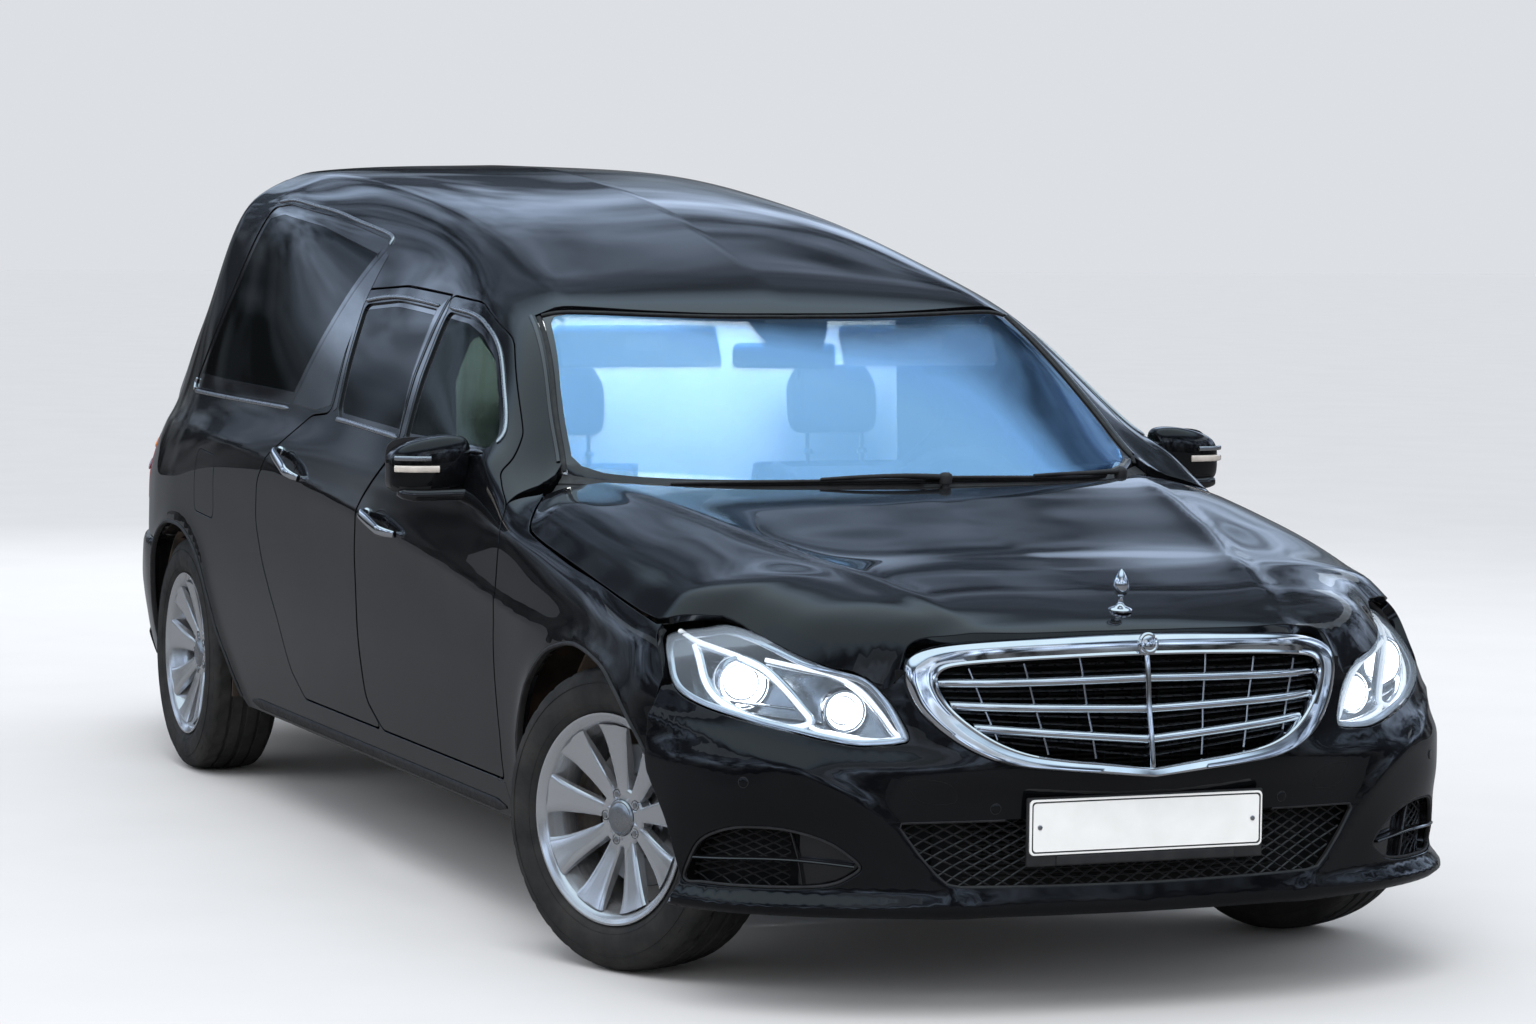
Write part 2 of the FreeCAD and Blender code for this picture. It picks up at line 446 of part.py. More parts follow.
def seat(xc):
    base = box(xc - 255, xc + 255, 1080, 1560, 330, 520)
    pad = side_prism([(1060, 500), (1080, 560), (1500, 520), (1620, 500), (1620, 420), (1080, 420)], xc - 250, xc + 250)
    back = side_prism([(1540, 480), (1620, 925), (1655, 982), (1728, 986), (1732, 930), (1660, 480)], xc - 245, xc + 245)
    rest = side_prism([(1660, 1014), (1664, 1180), (1692, 1218), (1745, 1216), (1774, 1160), (1762, 1012)], xc - 137, xc + 137)
    return base.fuse(pad).fuse(back).fuse(rest).fuse(box(xc - 82, xc - 68, 1700, 1714, 960, 1040)).fuse(box(xc + 68, xc + 82, 1700, 1714, 960, 1040))


seats = both(seat(370))
partition = side_prism([(1830, 560), (1830, 1000), (1860, 1480), (1880, 1480), (1852, 560)], -600, 600)
deck = box(-580, 580, 1880, 4120, 560, 606)
deck = deck.fuse(box(-560, 560, 1900, 1940, 455, 570)).fuse(box(-560, -300, 1900, 1940, 252, 470)).fuse(box(300, 560, 1900, 1940, 252, 470))
rollers = None
for y in (2100, 2500, 2900, 3300, 3700, 4040):
    r = box(-420, 420, y - 34, y + 34, 600, 612).fuse(rod((-400, y, 618), (400, y, 618), 16))
    rollers = r if rollers is None else rollers.fuse(r)
deck = deck.fuse(rollers)

# ---- tailgate -------------------------------------------------------------------------------
GATE_X = 566.0          # half width of the tailgate
GATE_OUT = [(3600, 1702), (3720, 1606), (3900, 1352), (4096, 1076), (4130, 1040), (4300, 985), (4376, 900), (4430, 700), (4436, 640)]
GATE_IN = [(4390, 640), (4384, 700), (4330, 880), (4270, 940), (4090, 985), (4040, 1036), (3862, 1318), (3700, 1545), (3650, 1636)]
gate = side_prism(GATE_OUT + GATE_IN, -GATE_X, GATE_X).common(
    front_prism([(-GATE_X, 600), (GATE_X, 600), (GATE_X, 1050), (532, 1660), (532, 1800), (-532, 1800), (-532, 1660), (-GATE_X, 1050)], 3500, 4500))
hole = side_prism([(3758, 1640), (4140, 1100), (4000, 1002), (3618, 1542)], -486, 486)
gate = gate.cut(hole)
gate_glass = side_prism([(3752, 1552), (4080, 1088), (4074, 1084), (3746, 1548)], -485, 485)
rear_plate = side_prism([(4444, 712), (4416, 822), (4421, 824), (4449, 714)], -PLATE_W / 2, PLATE_W / 2)

# rear bumper, same idea as the front one
RBUMPER = [
    (250.0, [(0, 4490), (300, 4480), (520, 4450), (660, 4370), (745, 4240), (795, 4060), (835, 3850), (840, 3806)]),
    (360.0, [(0, 4535), (300, 4524), (540, 4486), (690, 4396), (775, 4250), (826, 4060), (864, 3850), (870, 3790)]),
    (500.0, [(0, 4550), (300, 4538), (550, 4500), (705, 4410), (790, 4262), (842, 4064), (884, 3850), (892, 3770)]),
    (606.0, [(0, 4546), (300, 4534), (545, 4494), (702, 4402), (786, 4258), (842, 4062), (886, 3850), (896, 3730)]),
]
secs = []
for z, r in RBUMPER:
    out = [(x, y, z) for x, y in r]
    inn = [(max(x - 44, 0), y - 44, z) for x, y in r]
    inn[-1] = (r[-1][0] - 44, r[-1][1], z)
    inn[-2] = (r[-2][0] - 44, r[-2][1] - 8, z)
    secs.append(out + inn[:0:-1] + [(-x, y, z) for x, y, z in inn] + [(-x, y, z) for x, y, z in out[:0:-1]])
rbumper = loft(secs)
rbumper = rbumper.fuse(box(-700, 700, 4340, 4500, 596, 612).common(plan_prism([(-700, 4400), (-545, 4494), (0, 4540), (545, 4494), (700, 4400), (700, 4300), (-700, 4300)], 590, 620)))
rbumper = rbumper.cut(both(side_prism(grow(REAR_ARCH, 0.0), 700, 980)))
rbumper = max(rbumper.Solids, key=lambda s: s.Volume)

front_plate = box(-PLATE_W / 2, PLATE_W / 2, -852, -846, 336, 448)
for sx in (-1, 1):
    front_plate = front_plate.cut(rod((sx * 180, -870, 392), (sx * 180, -840, 392), 3.5))

# two wipers lie along the foot of the windscreen, each on its own spindle
def wiper(spindle, path):
    w = rod(spindle[0], spindle[1], 11)
    for p, q in zip(path, path[1:]):
        w = w.fuse(rod(p, q, 6)).fuse(Part.makeSphere(6, V(*q)))
    return w.fuse(Part.makeSphere(6, V(*path[0])))


wipers = Part.makeCompound([
    wiper([(612, 538, 930), (612, 542, 1004)], [(612, 542, 1000), (430, 458, 1012), (215, 416, 1019), (20, 404, 1021)]),
    wiper([(100, 394, 930), (100, 397, 1024)], [(100, 397, 1020), (-200, 408, 1021), (-400, 444, 1016), (-530, 500, 1010)]),
])

# ---- wheels -------------------------------------------------------------------------------


def revolve(profile, x0):
    """Profile of (x from the wheel's middle, radius) turned round the wheel's axle."""
    f = Part.Face(ring([(x0 + x, 0, r) for x, r in profile]))
    return f.revolve(V(0, 0, 0), V(1, 0, 0), 360)


TYRE = [(-78, 214), (-80, 223), (-98, 236), (-102.5, 262), (-98, 296), (-84, 318), (-66, 325), (0, 326), (66, 325), (84, 318),
        (98, 296), (102.5, 262), (98, 236), (80, 223), (78, 214)]
RIM = [(-88, 209), (-88, 221), (-82, 221), (-78, 213), (78, 213), (82, 221), (88, 221), (88, 209), (70, 205), (40, 196), (-70, 196)]
HUB = [(8, 0), (56, 0), (56, 34), (48, 40), (44, 82), (20, 82), (8, 70)]
DISC = [(-30, 62), (-30, 150), (-6, 150), (-6, 82), (12, 82), (12, 60), (-10, 60), (-14, 62)]


def wheel():
    t = revolve(TYRE, 0)
    r = revolve(RIM, 0).fuse(revolve(HUB, 0))
    for i in range(9):
        a = 360.0 / 9 * i
        s = loft([[(28, -17, 70), (52, -17, 70), (52, 17, 70), (28, 17, 70)],
                  [(52, -26, 202), (76, -26, 202), (76, 26, 202), (52, 26, 202)]])
        s.rotate(V(0, 0, 0), V(1, 0, 0), a)
        r = r.fuse(s)
    r = r.fuse(revolve(DISC, 0))
    return t, r


tyre0, rim0 = wheel()


def placed(s, side_sign, x, y, steer):
    s = s.copy()
    if side_sign < 0:
        s = mirrored(s)
    s.translate(V(side_sign * x, y, AXLE_Z))
    if steer:
        s.rotate(V(side_sign * KINGPIN_X, 0, 0), V(0, 0, 1), steer)
    return s


# knuckle: upright, hub stub and caliper, turns with the wheel
knuckle = box(640, 684, -42, 42, 228, 462).fuse(rod((680, 0, AXLE_Z), (750, 0, AXLE_Z), 34)) \
    .fuse(box(650, 748, 60, 140, 280, 380)).fuse(box(650, 684, 0, 100, 290, 370))

steering_wheel = Part.makeTorus(185, 15, V(0, 0, 0), V(0, 0, 1)).fuse(Part.makeCylinder(62, 40, V(0, 0, -34))).fuse(
    box(-185, 185, -16, 16, -24, -8)).fuse(box(-14, 14, -180, 0, -24, -8))
steering_wheel.rotate(V(0, 0, 0), V(1, 0, 0), -(90 - 25))
steering_wheel.translate(V(370, 985, 862))

# ---- hand out -----------------------------------------------------------------------------
car = {
    "floor_pan": floor, "body_side_left": side_left, "roof_panel": roof, "bulkhead_cowl": firewall,
    "front_fenders": both(fender), "front_bumper": bumper, "grille": grille, "headlamps": both(headlamp),
    "rear_bumper": rbumper, "tail_lamps": both(tail_lamp), "windscreen": windscreen, "rear_side_glass": both(side_pane),
    "engine_block": engine, "propshaft": propshaft, "dashboard": dash, "front_seats": seats, "partition": partition,
    "casket_deck": deck, "exhaust": exhaust, "fuel_tank": tank, "front_subframe": subframe, "rear_axle": rear_axle,
    "wheel_arch_liners": liners, "wipers": wipers, "front_number_plate": front_plate, "hood": hood,
    "tailgate": gate, "tailgate_glass": gate_glass, "rear_number_plate": rear_plate,
    "front_door_left": front_door, "rear_door_left": rear_door, "front_glass_left": front_pane, "rear_glass_left": rear_pane,
    "steering_wheel": steering_wheel}


def fit(name, *tools):
    """Take the volume of the neighbours out of a piece."""
    s = car[name]
    for t in tools:
        s = s.cut(car[t] if isinstance(t, str) else t)
    car[name] = Part.makeCompound([q for q in s.Solids if q.Volume > 4000.0])


# the slanting window frames move backwards as a door starts to open, so whatever
# stands behind a door is bevelled by the door's own path
def door_path(outline, first, last, hinge, angles):
    blank = side_layer(DOOR_T + 5.0, FRAME_T + 5.0, first, last, -5.0).common(side_prism(grow(outline, 5.0), 500, 990))
    out = []
    for a in angles:
        c = blank.copy()
        c.rotate(V(hinge[0], hinge[1], 0), V(0, 0, -1), a)
        out.append(c)
    return out


for c in door_path(FRONT_DOOR, 545.0, 1665.0, FRONT_HINGE, (1.0, 2.0, 3.0, 4.0, 5.5)):
    car["rear_door_left"] = car["rear_door_left"].cut(c)
    car["body_side_left"] = car["body_side_left"].cut(c)
for c in door_path(REAR_DOOR, 1440.0, 2565.0, REAR_HINGE, (1.0, 2.0, 3.0, 4.0, 5.5, 7.5)):
    car["body_side_left"] = car["body_side_left"].cut(c)
car["rear_door_left"] = max(car["rear_door_left"].Solids, key=lambda q: q.Volume)
car["body_side_left"] = car["body_side_left"].cut(hood_room)
car["body_side_left"] = max(car["body_side_left"].Solids, key=lambda q: q.Volume)
car["body_side_right"] = mirrored(car["body_side_left"])
fit("propshaft", "rear_axle")
fit("floor_pan", "body_side_left", "body_side_right", rod((0, 2700, 320), (0, WHEELBASE, 320), 60))
fit("front_fenders", hood_room, "front_bumper", "body_side_left", "body_side_right")
fit("headlamps", hood_room, "front_bumper")
fit("grille", hood_room, "front_bumper", "headlamps")
fit("bulkhead_cowl", "body_side_left", "body_side_right", "front_fenders", rod((0, 500, 320), (0, 700, 320), 60), hood_room, "wipers")
fit("windscreen", "roof_panel", "body_side_left", "body_side_right")
fit("dashboard", "bulkhead_cowl", "body_side_left", "body_side_right", "propshaft", "floor_pan")
fit("partition", "roof_panel", "body_side_left", "body_side_right", "floor_pan")
fit("front_seats", "floor_pan", "propshaft", "dashboard", "partition")
fit("wheel_arch_liners", "front_fenders", "body_side_left", "body_side_right", "front_subframe", "floor_pan", "front_bumper")
fit("rear_bumper", "body_side_left", "body_side_right", rod((-420, 4150, 250), (-420, 4560, 250), 36))
fit("casket_deck", "body_side_left", "body_side_right", "floor_pan", "partition")

for left in ("front_door_left", "rear_door_left", "front_glass_left", "rear_glass_left"):
    car[left.replace("left", "right")] = mirrored(car[left])
for tag, s, x, y, a in (("front_left", 1, TRACK_FRONT / 2, 0, STEER_LEFT), ("front_right", -1, TRACK_FRONT / 2, 0, STEER_RIGHT),
                        ("rear_left", 1, TRACK_REAR / 2, WHEELBASE, 0), ("rear_right", -1, TRACK_REAR / 2, WHEELBASE, 0)):
    car["tyre_" + tag] = placed(tyre0, s, x, y, a)
    car["rim_" + tag] = placed(rim0, s, x, y, a)
for tag, s, a in (("left", 1, STEER_LEFT), ("right", -1, STEER_RIGHT)):
    k = knuckle.copy() if s > 0 else mirrored(knuckle)
    k.rotate(V(s * KINGPIN_X, 0, 0), V(0, 0, 1), a)
    car["knuckle_" + tag] = k
for name, shape in car.items():
    save(name, shape)
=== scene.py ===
import bpy, math
import numpy as np
from mathutils import Matrix, Vector
from mathutils.geometry import delaunay_2d_cdt


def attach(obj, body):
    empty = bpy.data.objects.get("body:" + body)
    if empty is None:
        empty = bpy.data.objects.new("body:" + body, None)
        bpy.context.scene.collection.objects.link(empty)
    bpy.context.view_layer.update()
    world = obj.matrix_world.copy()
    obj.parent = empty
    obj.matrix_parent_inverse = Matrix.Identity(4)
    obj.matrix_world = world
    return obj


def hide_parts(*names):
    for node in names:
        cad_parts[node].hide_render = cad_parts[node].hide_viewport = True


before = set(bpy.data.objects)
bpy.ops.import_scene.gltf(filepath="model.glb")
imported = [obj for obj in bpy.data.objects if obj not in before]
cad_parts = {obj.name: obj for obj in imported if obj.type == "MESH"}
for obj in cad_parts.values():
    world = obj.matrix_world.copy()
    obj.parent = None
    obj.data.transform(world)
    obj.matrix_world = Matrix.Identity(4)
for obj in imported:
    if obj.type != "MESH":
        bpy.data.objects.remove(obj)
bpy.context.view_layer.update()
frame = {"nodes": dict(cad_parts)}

YO = -1.836          # tables below are written from the front axle; this moves them into the row's frame
RNG = np.random.default_rng(7)

# =============================== camera, stage, light ===============================
CAM_POS = (-4.1006, -10.8784, 1.691)
CAM_YAW, CAM_PITCH, CAM_ROLL = 0.3799, -0.0746, 0.0116
cam_data = bpy.data.cameras.new("camera")
cam_data.sensor_width = 36.0
cam_data.lens = 107.04
cam_data.clip_end = 200.0
cam = bpy.data.objects.new("camera", cam_data)
bpy.context.scene.collection.objects.link(cam)
fw = Vector((math.sin(CAM_YAW) * math.cos(CAM_PITCH), math.cos(CAM_YAW) * math.cos(CAM_PITCH), math.sin(CAM_PITCH)))
rt = Vector((math.cos(CAM_YAW), -math.sin(CAM_YAW), 0.0))
up = rt.cross(fw)
rr = math.cos(CAM_ROLL) * rt + math.sin(CAM_ROLL) * up
uu = -math.sin(CAM_ROLL) * rt + math.cos(CAM_ROLL) * up
m = Matrix(((rr.x, uu.x, -fw.x, CAM_POS[0]), (rr.y, uu.y, -fw.y, CAM_POS[1]), (rr.z, uu.z, -fw.z, CAM_POS[2]), (0, 0, 0, 1)))
cam.matrix_world = m
bpy.context.scene.camera = cam


def area(name, loc, aim, size, size_y, power, color=(1, 1, 1)):
    d = bpy.data.lights.new(name, "AREA")
    d.shape = "RECTANGLE"; d.size = size; d.size_y = size_y; d.energy = power; d.color = color
    o = bpy.data.objects.new(name, d)
    bpy.context.scene.collection.objects.link(o)
    o.location = loc
    o.rotation_euler = (Vector(aim) - Vector(loc)).to_track_quat("-Z", "Y").to_euler()
    return o


for nm_, a_ in (("key_top", ((-1.0, -1.0, 6.5), (0, 0, 0), 5.0, 9.0, 115, (0.95, 0.98, 1.0))),
                ("front_soft", ((-4.5, -9.5, 4.2), (0, -1.5, 0.6), 5.0, 3.0, 140, (1.0, 0.99, 0.97))),
                ("side_left", ((6.5, 0.0, 3.2), (0, 0, 0.7), 7.0, 2.6, 60, (0.95, 0.98, 1.0))),
                ("side_right", ((-7.5, 1.5, 3.6), (0, 0.5, 0.7), 7.0, 2.2, 80, (0.97, 0.98, 1.0))),
                ("rear_soft", ((1.5, 8.5, 3.6), (0, 2, 0.8), 5.0, 2.4, 80, (1, 1, 1)))):
    o_ = area(nm_, *a_)
    o_.visible_glossy = False
sun_d = bpy.data.lights.new("sun_soft", "SUN"); sun_d.energy = 1.25; sun_d.angle = 0.7; sun_d.color = (1.0, 0.99, 0.97)
sun_o = bpy.data.objects.new("sun_soft", sun_d); bpy.context.scene.collection.objects.link(sun_o)
sun_o.rotation_euler = (math.radians(24), math.radians(-14), 0)
sun_o.visible_glossy = False
for nm_, loc_, aim_, sx_, sy_, pw_ in (("cabin_front", (0, -0.34, 1.38), (0, -0.006, 0.98), 1.0, 0.20, 17.0), ("cabin_screen", (0, -1.06, 0.99), (0, -0.66, 1.28), 1.1, 0.15, 3.5), ("cabin_rear", (0, 1.3, 1.50), (0, 1.3, 0.5), 0.9, 1.6, 6.0)):
    o_ = area(nm_, loc_, aim_, sx_, sy_, pw_, (0.97, 0.99, 1.0))
    o_.visible_glossy = False; o_.visible_camera = False
# strips that draw long highlights on the paint
area("strip_right", (-5.4, 0.3, 3.6), (0, 0.2, 0.9), 9.0, 0.60, 13, (0.74, 0.87, 1.0))
area("strip_left", (5.6, 0.0, 3.6), (0, 0.0, 0.9), 9.0, 0.60, 15, (0.80, 0.90, 1.0))
area("strip_front", (-1.2, -7.5, 3.7), (0, -1.5, 0.7), 5.2, 1.8, 14, (0.82, 0.91, 1.0))
area("strip_rear", (0.0, 7.2, 3.4), (0, 2.0, 1.0), 4.5, 1.4, 9, (0.9, 0.95, 1.0)).visible_glossy = False

world = bpy.data.worlds.new("studio")
bpy.context.scene.world = world
world.use_nodes = True
wn, wl = world.node_tree.nodes, world.node_tree.links
wn.clear()
w_out = wn.new("ShaderNodeOutputWorld")
w_mix = wn.new("ShaderNodeMixShader")
w_lp = wn.new("ShaderNodeLightPath")
w_see = wn.new("ShaderNodeBackground"); w_see.inputs[0].default_value = (0.718, 0.740, 0.777, 1); w_see.inputs[1].default_value = 1.0
w_env = wn.new("ShaderNodeBackground"); w_env.inputs[1].default_value = 1.0
w_tc = wn.new("ShaderNodeTexCoord")
w_sep = wn.new("ShaderNodeSeparateXYZ")
w_ramp = wn.new("ShaderNodeValToRGB")
w_map = wn.new("ShaderNodeMapRange"); w_map.inputs[1].default_value = -0.2; w_map.inputs[2].default_value = 1.0
wl.new(w_tc.outputs["Generated"], w_sep.inputs[0]); wl.new(w_sep.outputs[2], w_map.inputs[0]); wl.new(w_map.outputs[0], w_ramp.inputs[0])
cr = w_ramp.color_ramp
cr.elements[0].position = 0.0; cr.elements[0].color = (0.60, 0.605, 0.61, 1)
cr.elements[1].position = 1.0; cr.elements[1].color = (0.74, 0.78, 0.84, 1)
for p, c in ((0.165, (0.70, 0.705, 0.71, 1)), (0.60, (0.74, 0.76, 0.80, 1))):
    e = cr.elements.new(p); e.color = c
wl.new(w_ramp.outputs[0], w_env.inputs[0])
wl.new(w_lp.outputs["Is Camera Ray"], w_mix.inputs[0])
w_gl = wn.new("ShaderNodeBackground"); w_gl.inputs[1].default_value = 1.15
w_ramp2 = wn.new("ShaderNodeValToRGB"); wl.new(w_map.outputs[0], w_ramp2.inputs[0]); 
# broken light and dark low in the surroundings, an even sky above
w_no = wn.new("ShaderNodeTexNoise"); w_no.inputs["Scale"].default_value = 5.5; w_no.inputs["Detail"].default_value = 3.5; w_no.inputs["Roughness"].default_value = 0.62
w_nm = wn.new("ShaderNodeMapRange"); w_nm.inputs[1].default_value = 0.40; w_nm.inputs[2].default_value = 0.66; w_nm.inputs[3].default_value = 0.15; w_nm.inputs[4].default_value = 3.6
w_sk = wn.new("ShaderNodeMapRange"); w_sk.inputs[1].default_value = 0.46; w_sk.inputs[2].default_value = 0.68
w_pm = wn.new("ShaderNodeMixRGB"); w_pm.inputs[2].default_value = (1, 1, 1, 1)
w_px = wn.new("ShaderNodeMixRGB"); w_px.blend_type = "MULTIPLY"; w_px.inputs[0].default_value = 1.0
wl.new(w_tc.outputs["Generated"], w_no.inputs[0]); wl.new(w_no.outputs[0], w_nm.inputs[0]); wl.new(w_sep.outputs[2], w_sk.inputs[0])
wl.new(w_sk.outputs[0], w_pm.inputs[0]); wl.new(w_nm.outputs[0], w_pm.inputs[1])
wl.new(w_ramp2.outputs[0], w_px.inputs[1]); wl.new(w_pm.outputs[0], w_px.inputs[2]); wl.new(w_px.outputs[0], w_gl.inputs[0])
c2r = w_ramp2.color_ramp
c2r.elements[0].position = 0.0; c2r.elements[0].color = (0.05, 0.052, 0.055, 1)
c2r.elements[1].position = 1.0; c2r.elements[1].color = (0.70, 0.88, 1.0, 1)
for p, c in ((0.165, (0.03, 0.032, 0.035, 1)), (0.21, (0.06, 0.065, 0.07, 1)), (0.30, (0.12, 0.145, 0.18, 1)), (0.39, (0.36, 0.45, 0.60, 1)), (0.46, (0.22, 0.28, 0.38, 1)), (0.60, (0.06, 0.075, 0.10, 1)), (0.68, (0.09, 0.115, 0.15, 1)), (0.755, (0.60, 0.80, 1.0, 1)), (0.82, (0.72, 0.90, 1.0, 1))):
    e = c2r.elements.new(p); e.color = c
w_mg = wn.new("ShaderNodeMixShader")
wl.new(w_lp.outputs["Is Glossy Ray"], w_mg.inputs[0]); wl.new(w_env.outputs[0], w_mg.inputs[1]); wl.new(w_gl.outputs[0], w_mg.inputs[2])
wl.new(w_mg.outputs[0], w_mix.inputs[1]); wl.new(w_see.outputs[0], w_mix.inputs[2])
wl.new(w_mix.outputs[0], w_out.inputs[0])
bpy.context.scene.view_settings.view_transform = "Standard"

# =============================== materials ===============================


def mat(name, c1, c2=None, rough=0.5, rough2=None, metal=0.0, coat=0.0, coat_rough=0.03, scale=6.0, bump=0.0, bump_scale=300.0,
        spec=0.5, sheen=0.0, stretch=(1, 1, 1), emit=None, power=0.0, ior=1.5, detail=5.0, contrast=(0.3, 0.7), wave=None, bump_dist=0.002, coat_ior=1.5):
    mt = bpy.data.materials.new(name)
    mt.use_nodes = True
    n, l = mt.node_tree.nodes, mt.node_tree.links
    b = n["Principled BSDF"]
    tc = n.new("ShaderNodeTexCoord"); mp = n.new("ShaderNodeMapping")
    mp.inputs["Scale"].default_value = stretch
    l.new(tc.outputs["Object"], mp.inputs[0])
    no = n.new("ShaderNodeTexNoise"); no.inputs["Scale"].default_value = scale; no.inputs["Detail"].default_value = detail
    l.new(mp.outputs[0], no.inputs["Vector"])
    rg = n.new("ShaderNodeMapRange"); rg.inputs[1].default_value = contrast[0]; rg.inputs[2].default_value = contrast[1]
    l.new(no.outputs["Fac"], rg.inputs[0])
    mx = n.new("ShaderNodeMix"); mx.data_type = "RGBA"
    c2 = c2 or tuple(min(1, c * 1.35 + 0.002) for c in c1)
    mx.inputs[6].default_value = (*c1, 1); mx.inputs[7].default_value = (*c2, 1)
    l.new(rg.outputs[0], mx.inputs[0]); l.new(mx.outputs[2], b.inputs["Base Color"])
    n2 = n.new("ShaderNodeTexNoise"); n2.inputs["Scale"].default_value = scale * 3.1; n2.inputs["Detail"].default_value = 4
    l.new(mp.outputs[0], n2.inputs["Vector"])
    r2 = n.new("ShaderNodeMapRange"); r2.inputs[1].default_value = 0.3; r2.inputs[2].default_value = 0.7
    r2.inputs[3].default_value = rough; r2.inputs[4].default_value = rough * 1.25 if rough2 is None else rough2
    l.new(n2.outputs["Fac"], r2.inputs[0]); l.new(r2.outputs[0], b.inputs["Roughness"])
    b.inputs["Metallic"].default_value = metal
    b.inputs["Coat Weight"].default_value = coat; b.inputs["Coat Roughness"].default_value = coat_rough
    b.inputs["Specular IOR Level"].default_value = spec
    b.inputs["Sheen Weight"].default_value = sheen
    b.inputs["IOR"].default_value = ior
    b.inputs["Coat IOR"].default_value = coat_ior
    if emit:
        b.inputs["Emission Color"].default_value = (*emit, 1); b.inputs["Emission Strength"].default_value = power
    if bump or wave:
        bp = n.new("ShaderNodeBump"); bp.inputs["Strength"].default_value = bump or 0.4; bp.inputs["Distance"].default_value = bump_dist
        if wave:
            kind, wsc = wave
            h = n.new("ShaderNodeTexVoronoi" if kind == "voronoi" else "ShaderNodeTexWave")
            h.inputs["Scale"].default_value = wsc
            l.new(mp.outputs[0], h.inputs["Vector"])
            l.new(h.outputs["Distance" if kind == "voronoi" else "Fac"], bp.inputs["Height"])
        else:
            n3 = n.new("ShaderNodeTexNoise"); n3.inputs["Scale"].default_value = bump_scale; n3.inputs["Detail"].default_value = 3
            l.new(mp.outputs[0], n3.inputs["Vector"]); l.new(n3.outputs["Fac"], bp.inputs["Height"])
        l.new(bp.outputs[0], b.inputs["Normal"])
    return mt


def glass(name, tint, share, gloss_c=(0.02, 0.03, 0.035), rough=0.01, edge=0.8, metal=0.0):
    """Thin pane: a tinted see-through part mixed with a glossy one that grows at grazing angles."""
    mt = bpy.data.materials.new(name)
    mt.use_nodes = True
    n, l = mt.node_tree.nodes, mt.node_tree.links
    b = n["Principled BSDF"]; out = n["Material Output"]
    b.inputs["Base Color"].default_value = (*gloss_c, 1)
    tc = n.new("ShaderNodeTexCoord"); no = n.new("ShaderNodeTexNoise"); no.inputs["Scale"].default_value = 9
    l.new(tc.outputs["Object"], no.inputs["Vector"])
    rg = n.new("ShaderNodeMapRange"); rg.inputs[1].default_value = 0.35; rg.inputs[2].default_value = 0.75
    rg.inputs[3].default_value = rough; rg.inputs[4].default_value = rough + 0.025
    l.new(no.outputs["Fac"], rg.inputs[0]); l.new(rg.outputs[0], b.inputs["Roughness"])
    mx2 = n.new("ShaderNodeMix"); mx2.data_type = "RGBA"
    mx2.inputs[6].default_value = (*gloss_c, 1); mx2.inputs[7].default_value = (*[min(1, c * 1.3) for c in gloss_c], 1)
    l.new(rg.outputs[0], mx2.inputs[0]); l.new(mx2.outputs[2], b.inputs["Base Color"])
    b.inputs["Metallic"].default_value = metal
    t = n.new("ShaderNodeBsdfTransparent"); t.inputs[0].default_value = (*tint, 1)
    mx = n.new("ShaderNodeMixShader")
    lw = n.new("ShaderNodeLayerWeight"); lw.inputs[0].default_value = 0.25
    mr = n.new("ShaderNodeMapRange"); mr.inputs[3].default_value = share; mr.inputs[4].default_value = edge
    l.new(lw.outputs["Fresnel"], mr.inputs[0]); l.new(mr.outputs[0], mx.inputs[0])
    l.new(t.outputs[0], mx.inputs[1]); l.new(b.outputs[0], mx.inputs[2]); l.new(mx.outputs[0], out.inputs[0])
    return mt


PAINT = mat("paint_black", (0.0016, 0.0018, 0.0024), (0.0034, 0.0037, 0.0046), rough=0.30, rough2=0.38, coat=1.0, coat_rough=0.008, scale=3.0,
            bump=0.002, bump_scale=420, spec=0.03, coat_ior=1.42)
PAINT_IN = mat("paint_inner", (0.006, 0.006, 0.007), (0.012, 0.012, 0.013), rough=0.35, coat=0.3, scale=12, bump=0.05, bump_scale=160)
TRIM = mat("trim_black", (0.012, 0.012, 0.013), (0.022, 0.022, 0.023), rough=0.42, rough2=0.6, scale=30, bump=0.12, bump_scale=900)
GLOSSB = mat("trim_gloss", (0.004, 0.004, 0.005), (0.008, 0.008, 0.009), rough=0.08, rough2=0.13, scale=14, coat=0.6, bump=0.004, bump_scale=300)
RUBBER = mat("rubber_seal", (0.010, 0.010, 0.010), (0.02, 0.02, 0.02), rough=0.55, rough2=0.75, scale=40, bump=0.15, bump_scale=700)
CHROME = mat("chrome", (0.74, 0.76, 0.79), (0.86, 0.87, 0.89), rough=0.05, rough2=0.10, metal=1.0, scale=12, bump=0.006, bump_scale=200)
SATIN = mat("satin_silver", (0.50, 0.51, 0.53), (0.60, 0.61, 0.63), rough=0.24, rough2=0.34, metal=1.0, scale=18, bump=0.02, bump_scale=500)
RIMM = mat("rim_silver", (0.60, 0.62, 0.65), (0.65, 0.67, 0.70), rough=0.20, rough2=0.25, metal=0.80, coat=0.8, coat_rough=0.06, scale=6, bump=0.004, bump_scale=700)
TYREM = mat("tyre_rubber", (0.012, 0.012, 0.012), (0.028, 0.026, 0.024), rough=0.62, rough2=0.82, scale=14, bump=0.2, bump_scale=420)
IRON = mat("iron_dark", (0.035, 0.034, 0.033), (0.09, 0.07, 0.055), rough=0.55, rough2=0.8, metal=0.5, scale=22, bump=0.3, bump_scale=160)
DISCM = mat("brake_disc", (0.30, 0.29, 0.28), (0.42, 0.40, 0.38), rough=0.28, rough2=0.42, metal=1.0, scale=30, bump=0.05, bump_scale=600)
